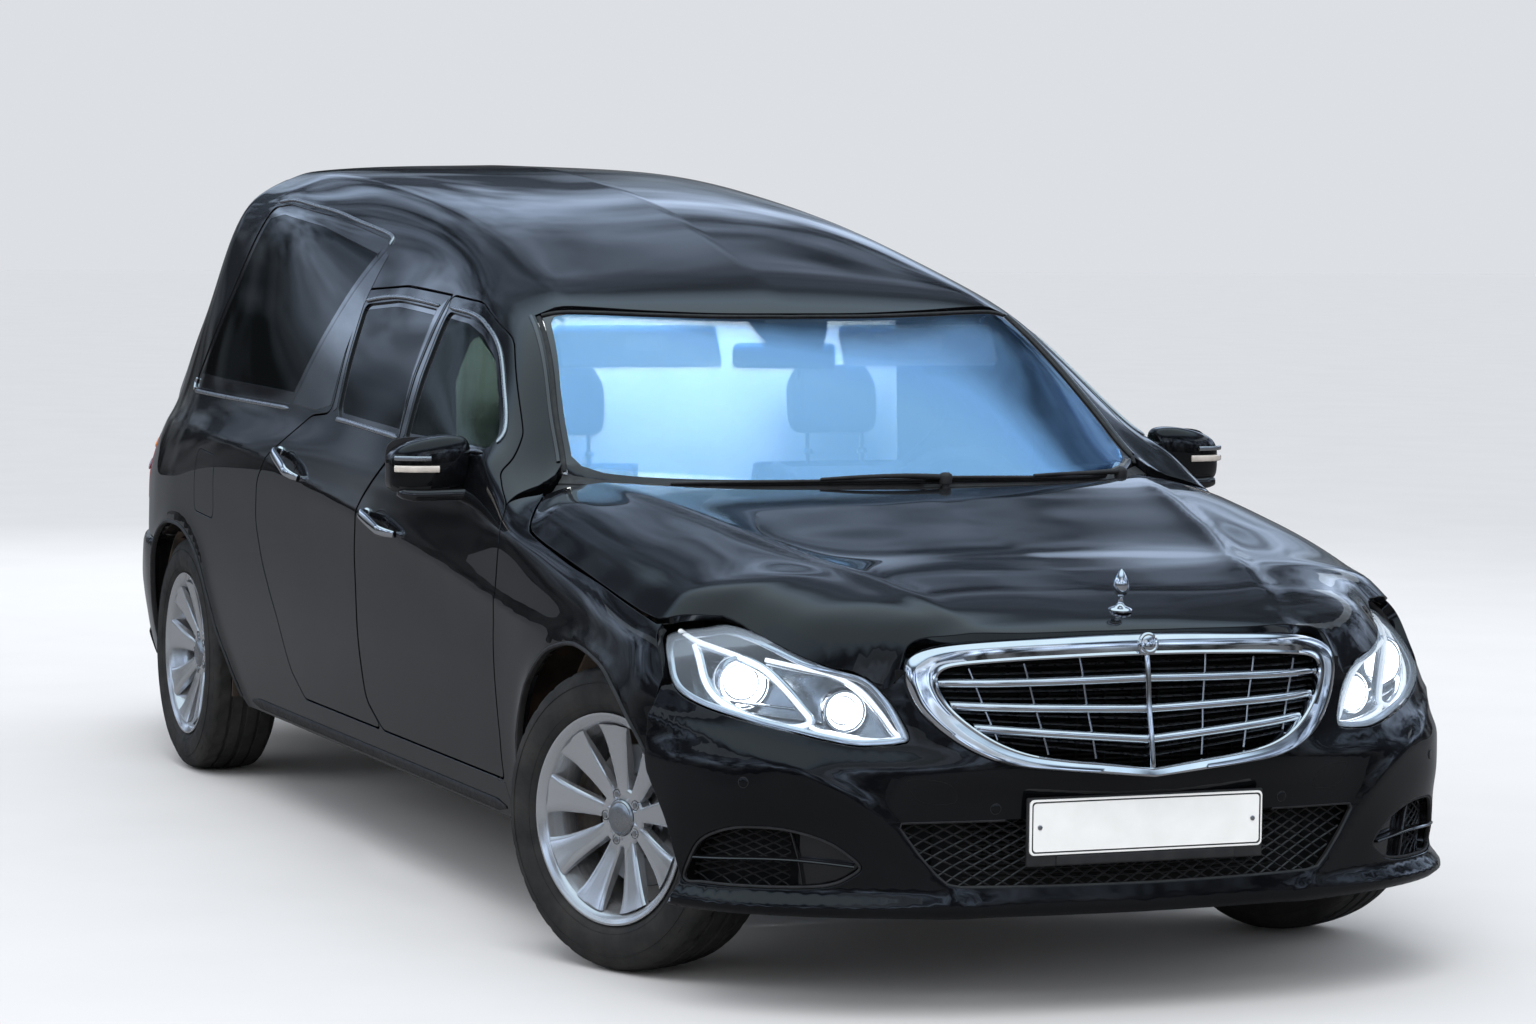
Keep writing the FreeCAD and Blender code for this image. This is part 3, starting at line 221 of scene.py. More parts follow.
UNDER = mat("underbody_black", (0.016, 0.016, 0.016), (0.05, 0.045, 0.04), rough=0.7, rough2=0.9, scale=9, bump=0.3, bump_scale=120)
LINERM = mat("arch_liner", (0.035, 0.026, 0.020), (0.095, 0.066, 0.046), rough=0.85, rough2=0.95, scale=11, bump=0.4, bump_scale=160, contrast=(0.35, 0.65))
DASHM = mat("dash_plastic", (0.018, 0.020, 0.026), (0.03, 0.033, 0.04), rough=0.5, rough2=0.62, scale=25, wave=("voronoi", 500), bump=0.15)
LEATHER = mat("seat_leather", (0.022, 0.028, 0.040), (0.036, 0.043, 0.058), rough=0.42, rough2=0.55, scale=10, wave=("voronoi", 260), bump=0.22, sheen=0.1)
LEATHER2 = mat("seat_fabric", (0.030, 0.038, 0.052), (0.05, 0.06, 0.078), rough=0.75, rough2=0.9, scale=40, wave=("voronoi", 700), bump=0.3, sheen=0.4)
LININGM = mat("headliner", (0.70, 0.71, 0.70), (0.78, 0.79, 0.78), rough=0.9, rough2=0.97, scale=30, bump=0.25, bump_scale=1500, sheen=0.3)
PARTM = mat("partition_lining", (0.72, 0.73, 0.72), (0.80, 0.81, 0.80), rough=0.8, rough2=0.92, scale=8, bump=0.2, bump_scale=900)
WOODM = mat("deck_wood", (0.10, 0.045, 0.018), (0.23, 0.115, 0.05), rough=0.25, rough2=0.4, coat=0.6, coat_rough=0.1, scale=3.0, stretch=(14, 1, 14), bump=0.05, bump_scale=60)
STEELM = mat("stainless", (0.42, 0.42, 0.43), (0.55, 0.55, 0.56), rough=0.25, rough2=0.4, metal=1.0, scale=20, bump=0.04, bump_scale=400, stretch=(1, 8, 1))
EXHM = mat("exhaust_steel", (0.20, 0.18, 0.16), (0.36, 0.32, 0.28), rough=0.4, rough2=0.65, metal=0.9, scale=14, bump=0.15, bump_scale=150)
PLATEM = mat("plate_white", (0.78, 0.79, 0.78), (0.84, 0.845, 0.84), rough=0.28, rough2=0.36, scale=20, bump=0.02, bump_scale=900, coat=0.2)
PLATER = mat("plate_rim", (0.02, 0.02, 0.02), (0.04, 0.04, 0.04), rough=0.3, rough2=0.4, scale=20, bump=0.02, bump_scale=500)
BLACKM = mat("mesh_black", (0.008, 0.008, 0.009), (0.018, 0.018, 0.019), rough=0.35, rough2=0.5, scale=40, bump=0.05, bump_scale=600)
# near-black that paints shade: recess floors, bolt holes, the exhaust bore and the sheets behind the grille; also the
# washer cover's gap line
SHADOW_BLACKM = mat("shadow_black", (0.002, 0.002, 0.002), (0.005, 0.005, 0.005), rough=0.8, rough2=0.9, scale=20, bump=0.1, bump_scale=200)
REFLM = mat("lamp_reflector", (0.80, 0.82, 0.85), (0.90, 0.91, 0.93), rough=0.10, rough2=0.18, metal=1.0, scale=30, bump=0.02, bump_scale=300)
BOWLM = mat("lamp_bezel", (0.36, 0.39, 0.42), (0.56, 0.59, 0.62), rough=0.16, rough2=0.28, metal=0.9, scale=30, bump=0.02, bump_scale=300)
DRLM = mat("lamp_light_guide", (0.9, 0.93, 1.0), (1.0, 1.0, 1.0), rough=0.2, scale=20, bump=0.02, bump_scale=300, emit=(0.88, 0.95, 1.0), power=0.6)
BEAMM = mat("lamp_beam", (0.95, 0.97, 1.0), (1.0, 1.0, 1.0), rough=0.2, scale=20, bump=0.02, bump_scale=300, emit=(0.96, 0.99, 1.0), power=6.0)
REDM = mat("lamp_red", (0.30, 0.006, 0.008), (0.42, 0.012, 0.012), rough=0.08, rough2=0.14, coat=1.0, scale=25, wave=("voronoi", 130), bump=0.15)
REDD = mat("lamp_red_dark", (0.10, 0.003, 0.004), (0.16, 0.005, 0.006), rough=0.1, rough2=0.18, coat=1.0, scale=25, bump=0.05, bump_scale=200)
AMBER = mat("lamp_amber", (0.75, 0.25, 0.02), (0.85, 0.33, 0.04), rough=0.12, coat=0.8, scale=30, bump=0.03, bump_scale=300)
MIRRM = mat("mirror_silver", (0.80, 0.83, 0.85), (0.86, 0.88, 0.90), rough=0.02, rough2=0.04, metal=1.0, scale=10, bump=0.002, bump_scale=100)
CURTAIN = mat("curtain_cloth", (0.72, 0.72, 0.68), (0.82, 0.82, 0.78), rough=0.85, rough2=0.95, scale=30, sheen=0.3, wave=("voronoi", 900), bump=0.15)
G_SCREEN = glass("glass_windscreen", (0.84, 0.93, 1.0), 0.42, (0.44, 0.72, 1.0), edge=0.80, metal=1.0)
G_FRONT = glass("glass_front_doors", (0.42, 0.52, 0.48), 0.14, (0.01, 0.013, 0.012))
G_DARK = glass("glass_privacy", (0.10, 0.12, 0.11), 0.42, (0.004, 0.005, 0.005))
G_LENS = glass("glass_lens", (0.97, 0.985, 1.0), 0.07, (0.45, 0.52, 0.60), edge=0.40)
FRIT = mat("glass_black_border", (0.004, 0.004, 0.005), (0.008, 0.008, 0.009), rough=0.05, rough2=0.08, scale=20, coat=0.5, bump=0.003, bump_scale=300)


# =============================== curves and grids ===============================
def pchip(X, Y, q):
    """Monotone cubic through knots X (K) for every column of Y (K, C); q (N) -> (N, C)."""
    X = np.asarray(X, float); Y = np.asarray(Y, float); q = np.asarray(q, float)
    one = Y.ndim == 1
    if one:
        Y = Y[:, None]
    h = np.diff(X)[:, None]; d = np.diff(Y, axis=0) / h
    mm = np.zeros_like(Y)
    if len(X) > 2:
        w1 = 2 * h[1:] + h[:-1]; w2 = h[1:] + 2 * h[:-1]
        ok = d[:-1] * d[1:] > 0
        with np.errstate(divide="ignore", invalid="ignore"):
            hm = (w1 + w2) / (w1 / d[:-1] + w2 / d[1:])
        mm[1:-1] = np.where(ok, hm, 0.0)
    mm[0] = d[0]; mm[-1] = d[-1]
    q = np.clip(q, X[0], X[-1])
    i = np.clip(np.searchsorted(X, q, side="right") - 1, 0, len(X) - 2)
    t = ((q - X[i]) / (X[i + 1] - X[i]))[:, None]; H = h[i]
    r = (2 * t**3 - 3 * t**2 + 1) * Y[i] + (t**3 - 2 * t**2 + t) * H * mm[i] + (-2 * t**3 + 3 * t**2) * Y[i + 1] + (t**3 - t**2) * H * mm[i + 1]
    return r[:, 0] if one else r


def smooth(a, n, axis):
    """n passes of a 1-2-1 filter; the ends keep their slope."""
    a = np.moveaxis(a, axis, 0).copy()
    for _ in range(n):
        p = np.concatenate([2 * a[:1] - a[1:2], a, 2 * a[-1:] - a[-2:-1]])
        a = 0.25 * p[:-2] + 0.5 * p[1:-1] + 0.25 * p[2:]
    return np.moveaxis(a, 0, axis)


class Surf:
    """Surface on a grid: u along rows, v along columns; looked up bilinearly, with its own smooth normals."""

    def __init__(self, U, Vv, P, flip=False):
        self.U, self.V, self.P = U, Vv, P
        du = np.gradient(P, axis=0); dv = np.gradient(P, axis=1)
        n = np.cross(du, dv)
        n /= np.maximum(np.linalg.norm(n, axis=2, keepdims=True), 1e-12)
        self.N = -n if flip else n

    def _ix(self, uv):
        u = np.clip((uv[:, 0] - self.U[0]) / (self.U[1] - self.U[0]), 0, len(self.U) - 1.001)
        v = np.clip((uv[:, 1] - self.V[0]) / (self.V[1] - self.V[0]), 0, len(self.V) - 1.001)
        i, j = u.astype(int), v.astype(int)
        return i, j, (u - i)[:, None], (v - j)[:, None]

    def __call__(self, uv):
        uv = np.asarray(uv, float)
        i, j, a, b = self._ix(uv)
        f = lambda G: (G[i, j] * (1 - a) * (1 - b) + G[i + 1, j] * a * (1 - b) + G[i, j + 1] * (1 - a) * b + G[i + 1, j + 1] * a * b)
        n = f(self.N); n /= np.linalg.norm(n, axis=1, keepdims=True)
        return f(self.P), n

    def v_at(self, u, value, comp, rising=True):
        """v where component comp of the point reaches value, along each row u."""
        u = np.atleast_1d(np.asarray(u, float)); value = np.broadcast_to(np.asarray(value, float), u.shape)
        fu = np.clip((u - self.U[0]) / (self.U[1] - self.U[0]), 0, len(self.U) - 1.001)
        i = fu.astype(int); a = (fu - i)[:, None]
        row = self.P[i, :, comp] * (1 - a) + self.P[i + 1, :, comp] * a
        tgt = value[:, None]
        if rising:
            row = np.maximum.accumulate(row, axis=1); k = (row < tgt).sum(1)
        else:
            row = np.minimum.accumulate(row, axis=1); k = (row > tgt).sum(1)
        k = np.clip(k, 1, row.shape[1] - 1)
        r = np.arange(len(u)); lo, hi = row[r, k - 1], row[r, k]
        t = np.clip((value - lo) / np.where(np.abs(hi - lo) < 1e-9, 1e-9, hi - lo), 0, 1)
        return self.V[k - 1] + t * (self.V[k] - self.V[k - 1])


def dense(poly, step=0.012, closed=True):
    p = np.asarray(poly, float)
    q = np.roll(p, -1, axis=0) if closed else p[1:]
    p0 = p if closed else p[:-1]
    out = []
    for a, b in zip(p0, q):
        n = max(1, int(math.ceil(np.linalg.norm(b - a) / step)))
        out.append(a + (b - a) * (np.arange(n) / n)[:, None])
    if not closed:
        out.append(p[-1:])
    return np.concatenate(out)


def fillet(poly, r=0.03, n=7, radii=None):
    """Rounded corners on a closed polygon."""
    p = np.asarray(poly, float); out = []
    K = len(p)
    for i in range(K):
        a, b, c = p[i - 1], p[i], p[(i + 1) % K]
        ri = radii.get(i, r) if radii else r
        la, lc = np.linalg.norm(a - b), np.linalg.norm(c - b)
        ca = np.dot(a - b, c - b) / (la * lc)
        if ri <= 0 or ca < -0.9995:
            out.append(b[None]); continue
        t = min(ri / math.tan(max(0.05, math.acos(np.clip(ca, -1, 1)) / 2)), 0.48 * la, 0.48 * lc)
        p0, p1 = b + (a - b) / la * t, b + (c - b) / lc * t
        s = np.linspace(0, 1, n)[:, None]
        out.append((1 - s)**2 * p0 + 2 * s * (1 - s) * b + s**2 * p1)
    return np.concatenate(out)


def catmull(pts, n=8, closed=False):
    p = np.asarray(pts, float)
    if closed:
        P0 = np.roll(p, 1, 0); P1 = p; P2 = np.roll(p, -1, 0); P3 = np.roll(p, -2, 0)
    else:
        e = np.concatenate([2 * p[:1] - p[1:2], p, 2 * p[-1:] - p[-2:-1]])
        P0, P1, P2, P3 = e[:-3], e[1:-2], e[2:-1], e[3:]
    s = (np.arange(n) / n)[None, :, None]
    P0, P1, P2, P3 = (a[:, None] for a in (P0, P1, P2, P3))
    c = 0.5 * ((2 * P1) + (-P0 + P2) * s + (2 * P0 - 5 * P1 + 4 * P2 - P3) * s**2 + (-P0 + 3 * P1 - 3 * P2 + P3) * s**3)
    c = c.reshape(-1, p.shape[1])
    return c if closed else np.concatenate([c, p[-1:]])


def offset(poly, d):
    """Closed outline moved outwards by d (negative: inwards), vertex by vertex."""
    p = np.asarray(poly, float)
    a = np.roll(p, 1, 0); b = np.roll(p, -1, 0)
    area2 = np.sum(p[:, 0] * b[:, 1] - b[:, 0] * p[:, 1]); s = 1 if area2 > 0 else -1
    t1 = p - a; t2 = b - p
    t1 /= np.maximum(np.linalg.norm(t1, axis=1, keepdims=True), 1e-9); t2 /= np.maximum(np.linalg.norm(t2, axis=1, keepdims=True), 1e-9)
    n1 = np.stack([t1[:, 1], -t1[:, 0]], 1) * s; n2 = np.stack([t2[:, 1], -t2[:, 0]], 1) * s
    bis = n1 + n2
    k = 2 / np.maximum((bis**2).sum(1), 0.6)
    return p + bis * k[:, None] * d


def inside(pts, poly):
    x, y = pts[:, 0][:, None], pts[:, 1][:, None]
    p = np.asarray(poly); q = np.roll(p, -1, 0)
    c = ((p[:, 1] > y) != (q[:, 1] > y)) & (x < (q[:, 0] - p[:, 0]) * (y - p[:, 1]) / np.where(q[:, 1] == p[:, 1], 1e-12, q[:, 1] - p[:, 1]) + p[:, 0])
    return (c.sum(1) % 2) == 1


def triangulate(outline, holes, step, scale=(1.0, 1.0)):
    """2D points and triangles filling outline minus holes; outlines are already dense."""
    S = np.asarray(scale)
    loops = [np.asarray(outline) * S] + [np.asarray(h) * S for h in holes]
    lo, hi = loops[0].min(0), loops[0].max(0)
    gx = np.arange(lo[0], hi[0], step); gy = np.arange(lo[1], hi[1], step * 0.866)
    g = np.array([(x + (0.5 * step if j % 2 else 0), y) for j, y in enumerate(gy) for x in gx])
    keep = inside(g, loops[0])
    for h in loops[1:]:
        keep &= ~inside(g, h)
    g = g[keep]
    allb = np.concatenate(loops)
    if len(g):
        ok = np.ones(len(g), bool)
        for s0 in range(0, len(g), 4000):
            d2 = ((g[s0:s0 + 4000, None] - allb[None])**2).sum(2).min(1)
            ok[s0:s0 + 4000] = d2 > (0.55 * step)**2
        g = g[ok]
    vs, es = [], []
    for L in loops:
        b = len(vs); vs += [Vector(p) for p in L]
        es += [(b + i, b + (i + 1) % len(L)) for i in range(len(L))]
    vs += [Vector(p) for p in g]
    V2, E2, F2, *_ = delaunay_2d_cdt(vs, es, [], 0, 1e-7)
    V2 = np.array([tuple(v) for v in V2]); F2 = np.array([f for f in F2 if len(f) == 3])
    c = V2[F2].mean(1)
    k = inside(c, loops[0])
    for h in loops[1:]:
        k &= ~inside(c, h)
    F2 = F2[k]
    a = V2[F2[:, 1]] - V2[F2[:, 0]]; b = V2[F2[:, 2]] - V2[F2[:, 0]]
    cr_ = a[:, 0] * b[:, 1] - a[:, 1] * b[:, 0]
    F2 = F2[np.abs(cr_) > 1e-10]; cr_ = cr_[np.abs(cr_) > 1e-10]
    F2[cr_ < 0] = F2[cr_ < 0][:, ::-1]
    used = np.unique(F2); remap = -np.ones(len(V2), int); remap[used] = np.arange(len(used))
    return V2[used] / S, remap[F2]


def boundary(F):
    """Loops of boundary vertices, each running with its triangles on the left."""
    e = np.concatenate([F[:, [0, 1]], F[:, [1, 2]], F[:, [2, 0]]])
    have = set(map(tuple, e))
    nxt = {}
    for a, b in e:
        if (b, a) not in have:
            nxt.setdefault(int(a), []).append(int(b))
    loops = []
    while nxt:
        s = next(iter(nxt)); loop = [s]; c = nxt[s].pop()
        if not nxt[s]:
            del nxt[s]
        while c != s and c in nxt:
            loop.append(c); d = nxt[c].pop()
            if not nxt[c]:
                del nxt[c]
            c = d
        if len(loop) > 2:
            loops.append(loop)
    return loops


PIECES = {}


def mk(name, verts, faces, mats, body, slot, normals=None, fmat=None, replaces=(), flat=False, mirror=False, auto=None):
    """Mesh piece from car-frame metres. mirror: the same on the car's other side (x -> -x)."""
    v = np.asarray(verts, float).copy()
    faces = [tuple(int(i) for i in f) for f in faces]
    if mirror:
        v[:, 0] *= -1
        faces = [f[::-1] for f in faces]
        if normals is not None:
            normals = np.asarray(normals).copy(); normals[:, 0] *= -1
    v[:, 1] += YO
    me = bpy.data.meshes.new(name)
    me.from_pydata(v.tolist(), [], faces)
    for mt in (mats if isinstance(mats, (list, tuple)) else [mats]):
        me.materials.append(mt)
    if fmat is not None:
        me.polygons.foreach_set("material_index", np.asarray(fmat, dtype=np.int32))
    me.polygons.foreach_set("use_smooth", np.full(len(faces), not flat))
    if normals is not None:
        n = np.asarray(normals, float)
        me.normals_split_custom_set_from_vertices(n.tolist())
    elif auto:
        me.set_sharp_from_angle(angle=math.radians(auto))
    me.update()
    o = bpy.data.objects.new(name, me)
    bpy.context.scene.collection.objects.link(o)
    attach(o, body)
    if replaces:
        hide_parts(*replaces)
    PIECES[name] = o
    return o


def both_sides(fn, *a, **k):
    fn("left", False, *a, **k); fn("right", True, *a, **k)


def shell(name, uv, F, ev, depth, mats, body, slot, r=0.0016, seamless=None, inner=True, out=0.0, **kw):
    """Panel with a rounded hem: outer skin on the surface, a wall at its edges and an inner skin depth behind."""
    P, N = ev(uv)
    P = P + N * out
    n = len(P)
    D = depth(P) if callable(depth) else np.full(n, float(depth))
    Pin = P - N * D[:, None]
    V = [P.copy()]; Nn = [N.copy()]; faces = []; fm = []
    a, b, c = P[F[:, 0]], P[F[:, 1]], P[F[:, 2]]
    geo = np.cross(b - a, c - a)
    flipped = (geo * N[F[:, 0]]).sum() < 0
    FF = F[:, ::-1] if flipped else F
    faces += [tuple(f) for f in FF]; fm += [0] * len(FF)
    base = n
    if inner:
        V.append(Pin); Nn.append(-N); faces += [tuple(base + np.array(f)[::-1]) for f in FF]; fm += [1 if len(mats) > 1 else 0] * len(FF)
        base += n
    for loop in boundary(FF):
        L = np.array(loop)
        pos = P[L]; nn = N[L]
        tan = np.roll(pos, -1, 0) - np.roll(pos, 1, 0)
        tan /= np.maximum(np.linalg.norm(tan, axis=1, keepdims=True), 1e-12)
        outw = np.cross(tan, nn)
        outw /= np.maximum(np.linalg.norm(outw, axis=1, keepdims=True), 1e-12)
        hard = np.ones(len(L), bool) if seamless is None else ~seamless(uv[L], pos)
        rr_ = np.where(hard, r, 0.0)[:, None]
        V[0][L] = pos - outw * rr_
        ring1 = pos - nn * np.maximum(rr_, 0.0)
        mid = (outw * 0.75 + nn * 0.66)
        ringm = pos - outw * rr_ * 0.29 - nn * rr_ * 0.29
        ring2 = Pin[L]
        k = len(L)
        V += [ringm, ring1, ring2]; Nn += [mid / np.linalg.norm(mid, axis=1, keepdims=True), outw, outw]
        for i in range(k):
            j = (i + 1) % k
            faces.append((L[i], base + i, base + j, L[j])); fm.append(0)
            faces.append((base + i, base + k + i, base + k + j, base + j)); fm.append(0)
            faces.append((base + k + i, base + 2 * k + i, base + 2 * k + j, base + k + j)); fm.append(0)
        base += 3 * k
    return mk(name, np.concatenate(V), faces, mats, body, slot, normals=np.concatenate(Nn), fmat=fm, **kw)


def sweep(name, path, nrm, profile, mats, body, slot, closed=False, scale=None, **kw):
    """Profile (across, along the normal) swept along a path that carries its own normals."""
    p = np.asarray(path, float); nn = np.asarray(nrm, float)
    if nn.ndim == 1:
        nn = np.broadcast_to(nn, p.shape)
    if closed:
        t = np.roll(p, -1, 0) - np.roll(p, 1, 0)
    else:
        t = np.gradient(p, axis=0)
    t /= np.maximum(np.linalg.norm(t, axis=1, keepdims=True), 1e-12)
    nn = nn - (nn * t).sum(1, keepdims=True) * t
    nn /= np.maximum(np.linalg.norm(nn, axis=1, keepdims=True), 1e-12)
    bb = np.cross(t, nn)
    pr = np.asarray(profile, float); K = len(pr); M = len(p)
    sc = np.ones(M) if scale is None else np.asarray(scale, float)
    V = (p[:, None] + bb[:, None] * pr[None, :, 0:1] * sc[:, None, None] + nn[:, None] * pr[None, :, 1:2] * sc[:, None, None]).reshape(-1, 3)
    f = []
    R = M if closed else M - 1
    for i in range(R):
        i2 = (i + 1) % M
        for j in range(K):
            j2 = (j + 1) % K
            f.append((i * K + j, i * K + j2, i2 * K + j2, i2 * K + j))
    if not closed:
        f.append(tuple(range(K))[::-1]); f.append(tuple((M - 1) * K + j for j in range(K)))
    return mk(name, V, f, mats, body, slot, auto=kw.pop("auto", 50), **kw)


def ring_profile(w, h, n=10, power=2.0):
    a = np.linspace(0, 2 * np.pi, n, endpoint=False)
    c, s = np.cos(a), np.sin(a)
    return np.stack([w / 2 * np.sign(c) * np.abs(c)**(2 / power), h / 2 * np.sign(s) * np.abs(s)**(2 / power)], 1)


class Bag:
    """Collects simple solids into one piece."""

    def __init__(self):
        self.v, self.f, self.m, self.n = [], [], [], 0

    def add(self, V, F, m=0):
        self.v.append(np.asarray(V, float)); self.f += [tuple(int(i) + self.n for i in f) for f in F]
        self.m += [m] * len(F); self.n += len(V)

    def box(self, lo, hi, m=0, bev=0.0):
        x0, y0, z0 = lo; x1, y1, z1 = hi
        if bev <= 0:
            V = [(x, y, z) for x in (x0, x1) for y in (y0, y1) for z in (z0, z1)]
            F = [(0, 1, 3, 2), (4, 6, 7, 5), (0, 4, 5, 1), (2, 3, 7, 6), (0, 2, 6, 4), (1, 5, 7, 3)]
            self.add(V, F, m); return
        c = (np.array(lo) + np.array(hi)) / 2; h = (np.array(hi) - np.array(lo)) / 2
        g = np.linspace(-1, 1, 3)
        V, F = rounded_box(h, bev)
        self.add(V + c, F, m)

    def tube(self, path, r, n=10, m=0, closed=False, caps=True):
        p = np.asarray(path, float)
        t = (np.roll(p, -1, 0) - np.roll(p, 1, 0)) if closed else np.gradient(p, axis=0)
        t /= np.maximum(np.linalg.norm(t, axis=1, keepdims=True), 1e-12)
        ref = np.array([0, 0, 1.0]) if abs(t[0][2]) < 0.9 else np.array([1.0, 0, 0])
        u = np.cross(t[0], ref); u /= np.linalg.norm(u)
        U = []
        for k in range(len(p)):
            u = u - (u @ t[k]) * t[k]; u /= np.linalg.norm(u); U.append(u)
        U = np.array(U); W = np.cross(t, U)
        a = np.linspace(0, 2 * np.pi, n, endpoint=False)
        rr_ = np.broadcast_to(np.asarray(r, float), (len(p),))
        V = (p[:, None] + U[:, None] * (np.cos(a)[None, :, None] * rr_[:, None, None]) + W[:, None] * (np.sin(a)[None, :, None] * rr_[:, None, None])).reshape(-1, 3)
        F = []
        M = len(p)
        for i in range(M if closed else M - 1):
            i2 = (i + 1) % M
            for j in range(n):
                j2 = (j + 1) % n
                F.append((i * n + j, i2 * n + j, i2 * n + j2, i * n + j2)[::-1])
        if caps and not closed:
            F.append(tuple(range(n))); F.append(tuple((M - 1) * n + j for j in range(n))[::-1])
        self.add(V, F, m)

    def lathe(self, prof, origin, axis, n=48, m=0, closed=False, arc=None):
        """Profile (along axis, radius) turned round axis through origin."""
        ax = np.asarray(axis, float); ax /= np.linalg.norm(ax)
        ref = np.array([0, 0, 1.0]) if abs(ax[2]) < 0.9 else np.array([0, 1.0, 0])
        e1 = np.cross(ref, ax); e1 /= np.linalg.norm(e1); e2 = np.cross(ax, e1)
        pr = np.asarray(prof, float); K = len(pr)
        full = arc is None
        a = np.linspace(0, 2 * np.pi, n, endpoint=False) if full else np.linspace(arc[0], arc[1], n)
        V = (np.asarray(origin)[None, None] + ax * pr[None, :, 0:1] + (e1 * np.cos(a)[:, None, None] + e2 * np.sin(a)[:, None, None]) * pr[None, :, 1:2]).reshape(-1, 3)
        F = []
        for i in range(n if full else n - 1):
            i2 = (i + 1) % n
            for j in range(K if closed else K - 1):
                j2 = (j + 1) % K
                F.append((i * K + j, i2 * K + j, i2 * K + j2, i * K + j2))
        self.add(V, F, m)

    def done(self, name, mats, body, slot, auto=40, **kw):
        return mk(name, np.concatenate(self.v), self.f, mats, body, slot, fmat=self.m, auto=auto, **kw)


def rounded_box(h, r, n=3):
    """Box with rounded edges: half sizes h."""
    h = np.asarray(h, float); r = min(r, 0.98 * h.min())
    bm_v, bm_f = [], []
    # sphere-mapped cube grid
    s = 2 * n + 2
    ang = np.tan(np.linspace(-1, 1, 2 * n + 1) * np.pi / 4)
    half = len(ang) // 2
    g = list(ang[:half + 1]) + list(ang[half:])
    sg = [-1] * (half + 1) + [1] * (len(ang) - half)
    idx = {}
    for ax in range(3):
        for sd in (-1, 1):
            for i in range(len(g) - 1):
                for j in range(len(g) - 1):
                    q = []
                    for di, dj in ((0, 0), (1, 0), (1, 1), (0, 1)):
                        a, b = i + di, j + dj
                        d = [0, 0, 0]; c = [0, 0, 0]
                        d[ax] = sd; c[ax] = sd
                        d[(ax + 1) % 3] = g[a]; c[(ax + 1) % 3] = sg[a]
                        d[(ax + 2) % 3] = g[b]; c[(ax + 2) % 3] = sg[b]
                        d = np.array(d, float); d /= np.linalg.norm(d)
                        v = np.array(c) * (h - r) + d * r
                        k = tuple(np.round(v, 7))
                        if k not in idx:
                            idx[k] = len(bm_v); bm_v.append(v)
                        q.append(idx[k])
                    if sd < 0:
                        q = q[::-1]
                    if len(set(q)) >= 3:
                        q2 = []
                        for t in q:
                            if t not in q2:
                                q2.append(t)
                        bm_f.append(tuple(q2))
    return np.array(bm_v), bm_f


def cad_mat(node, m_):
    o = bpy.data.objects.get(node)
    if o is None:
        o = frame["nodes"].get(node) if isinstance(frame["nodes"], dict) else None
    me = o.data
    if len(me.materials) == 0:
        me.materials.append(m_)
    else:
        for i in range(len(me.materials)):
            o.material_slots[i].link = "OBJECT"
            o.material_slots[i].material = m_


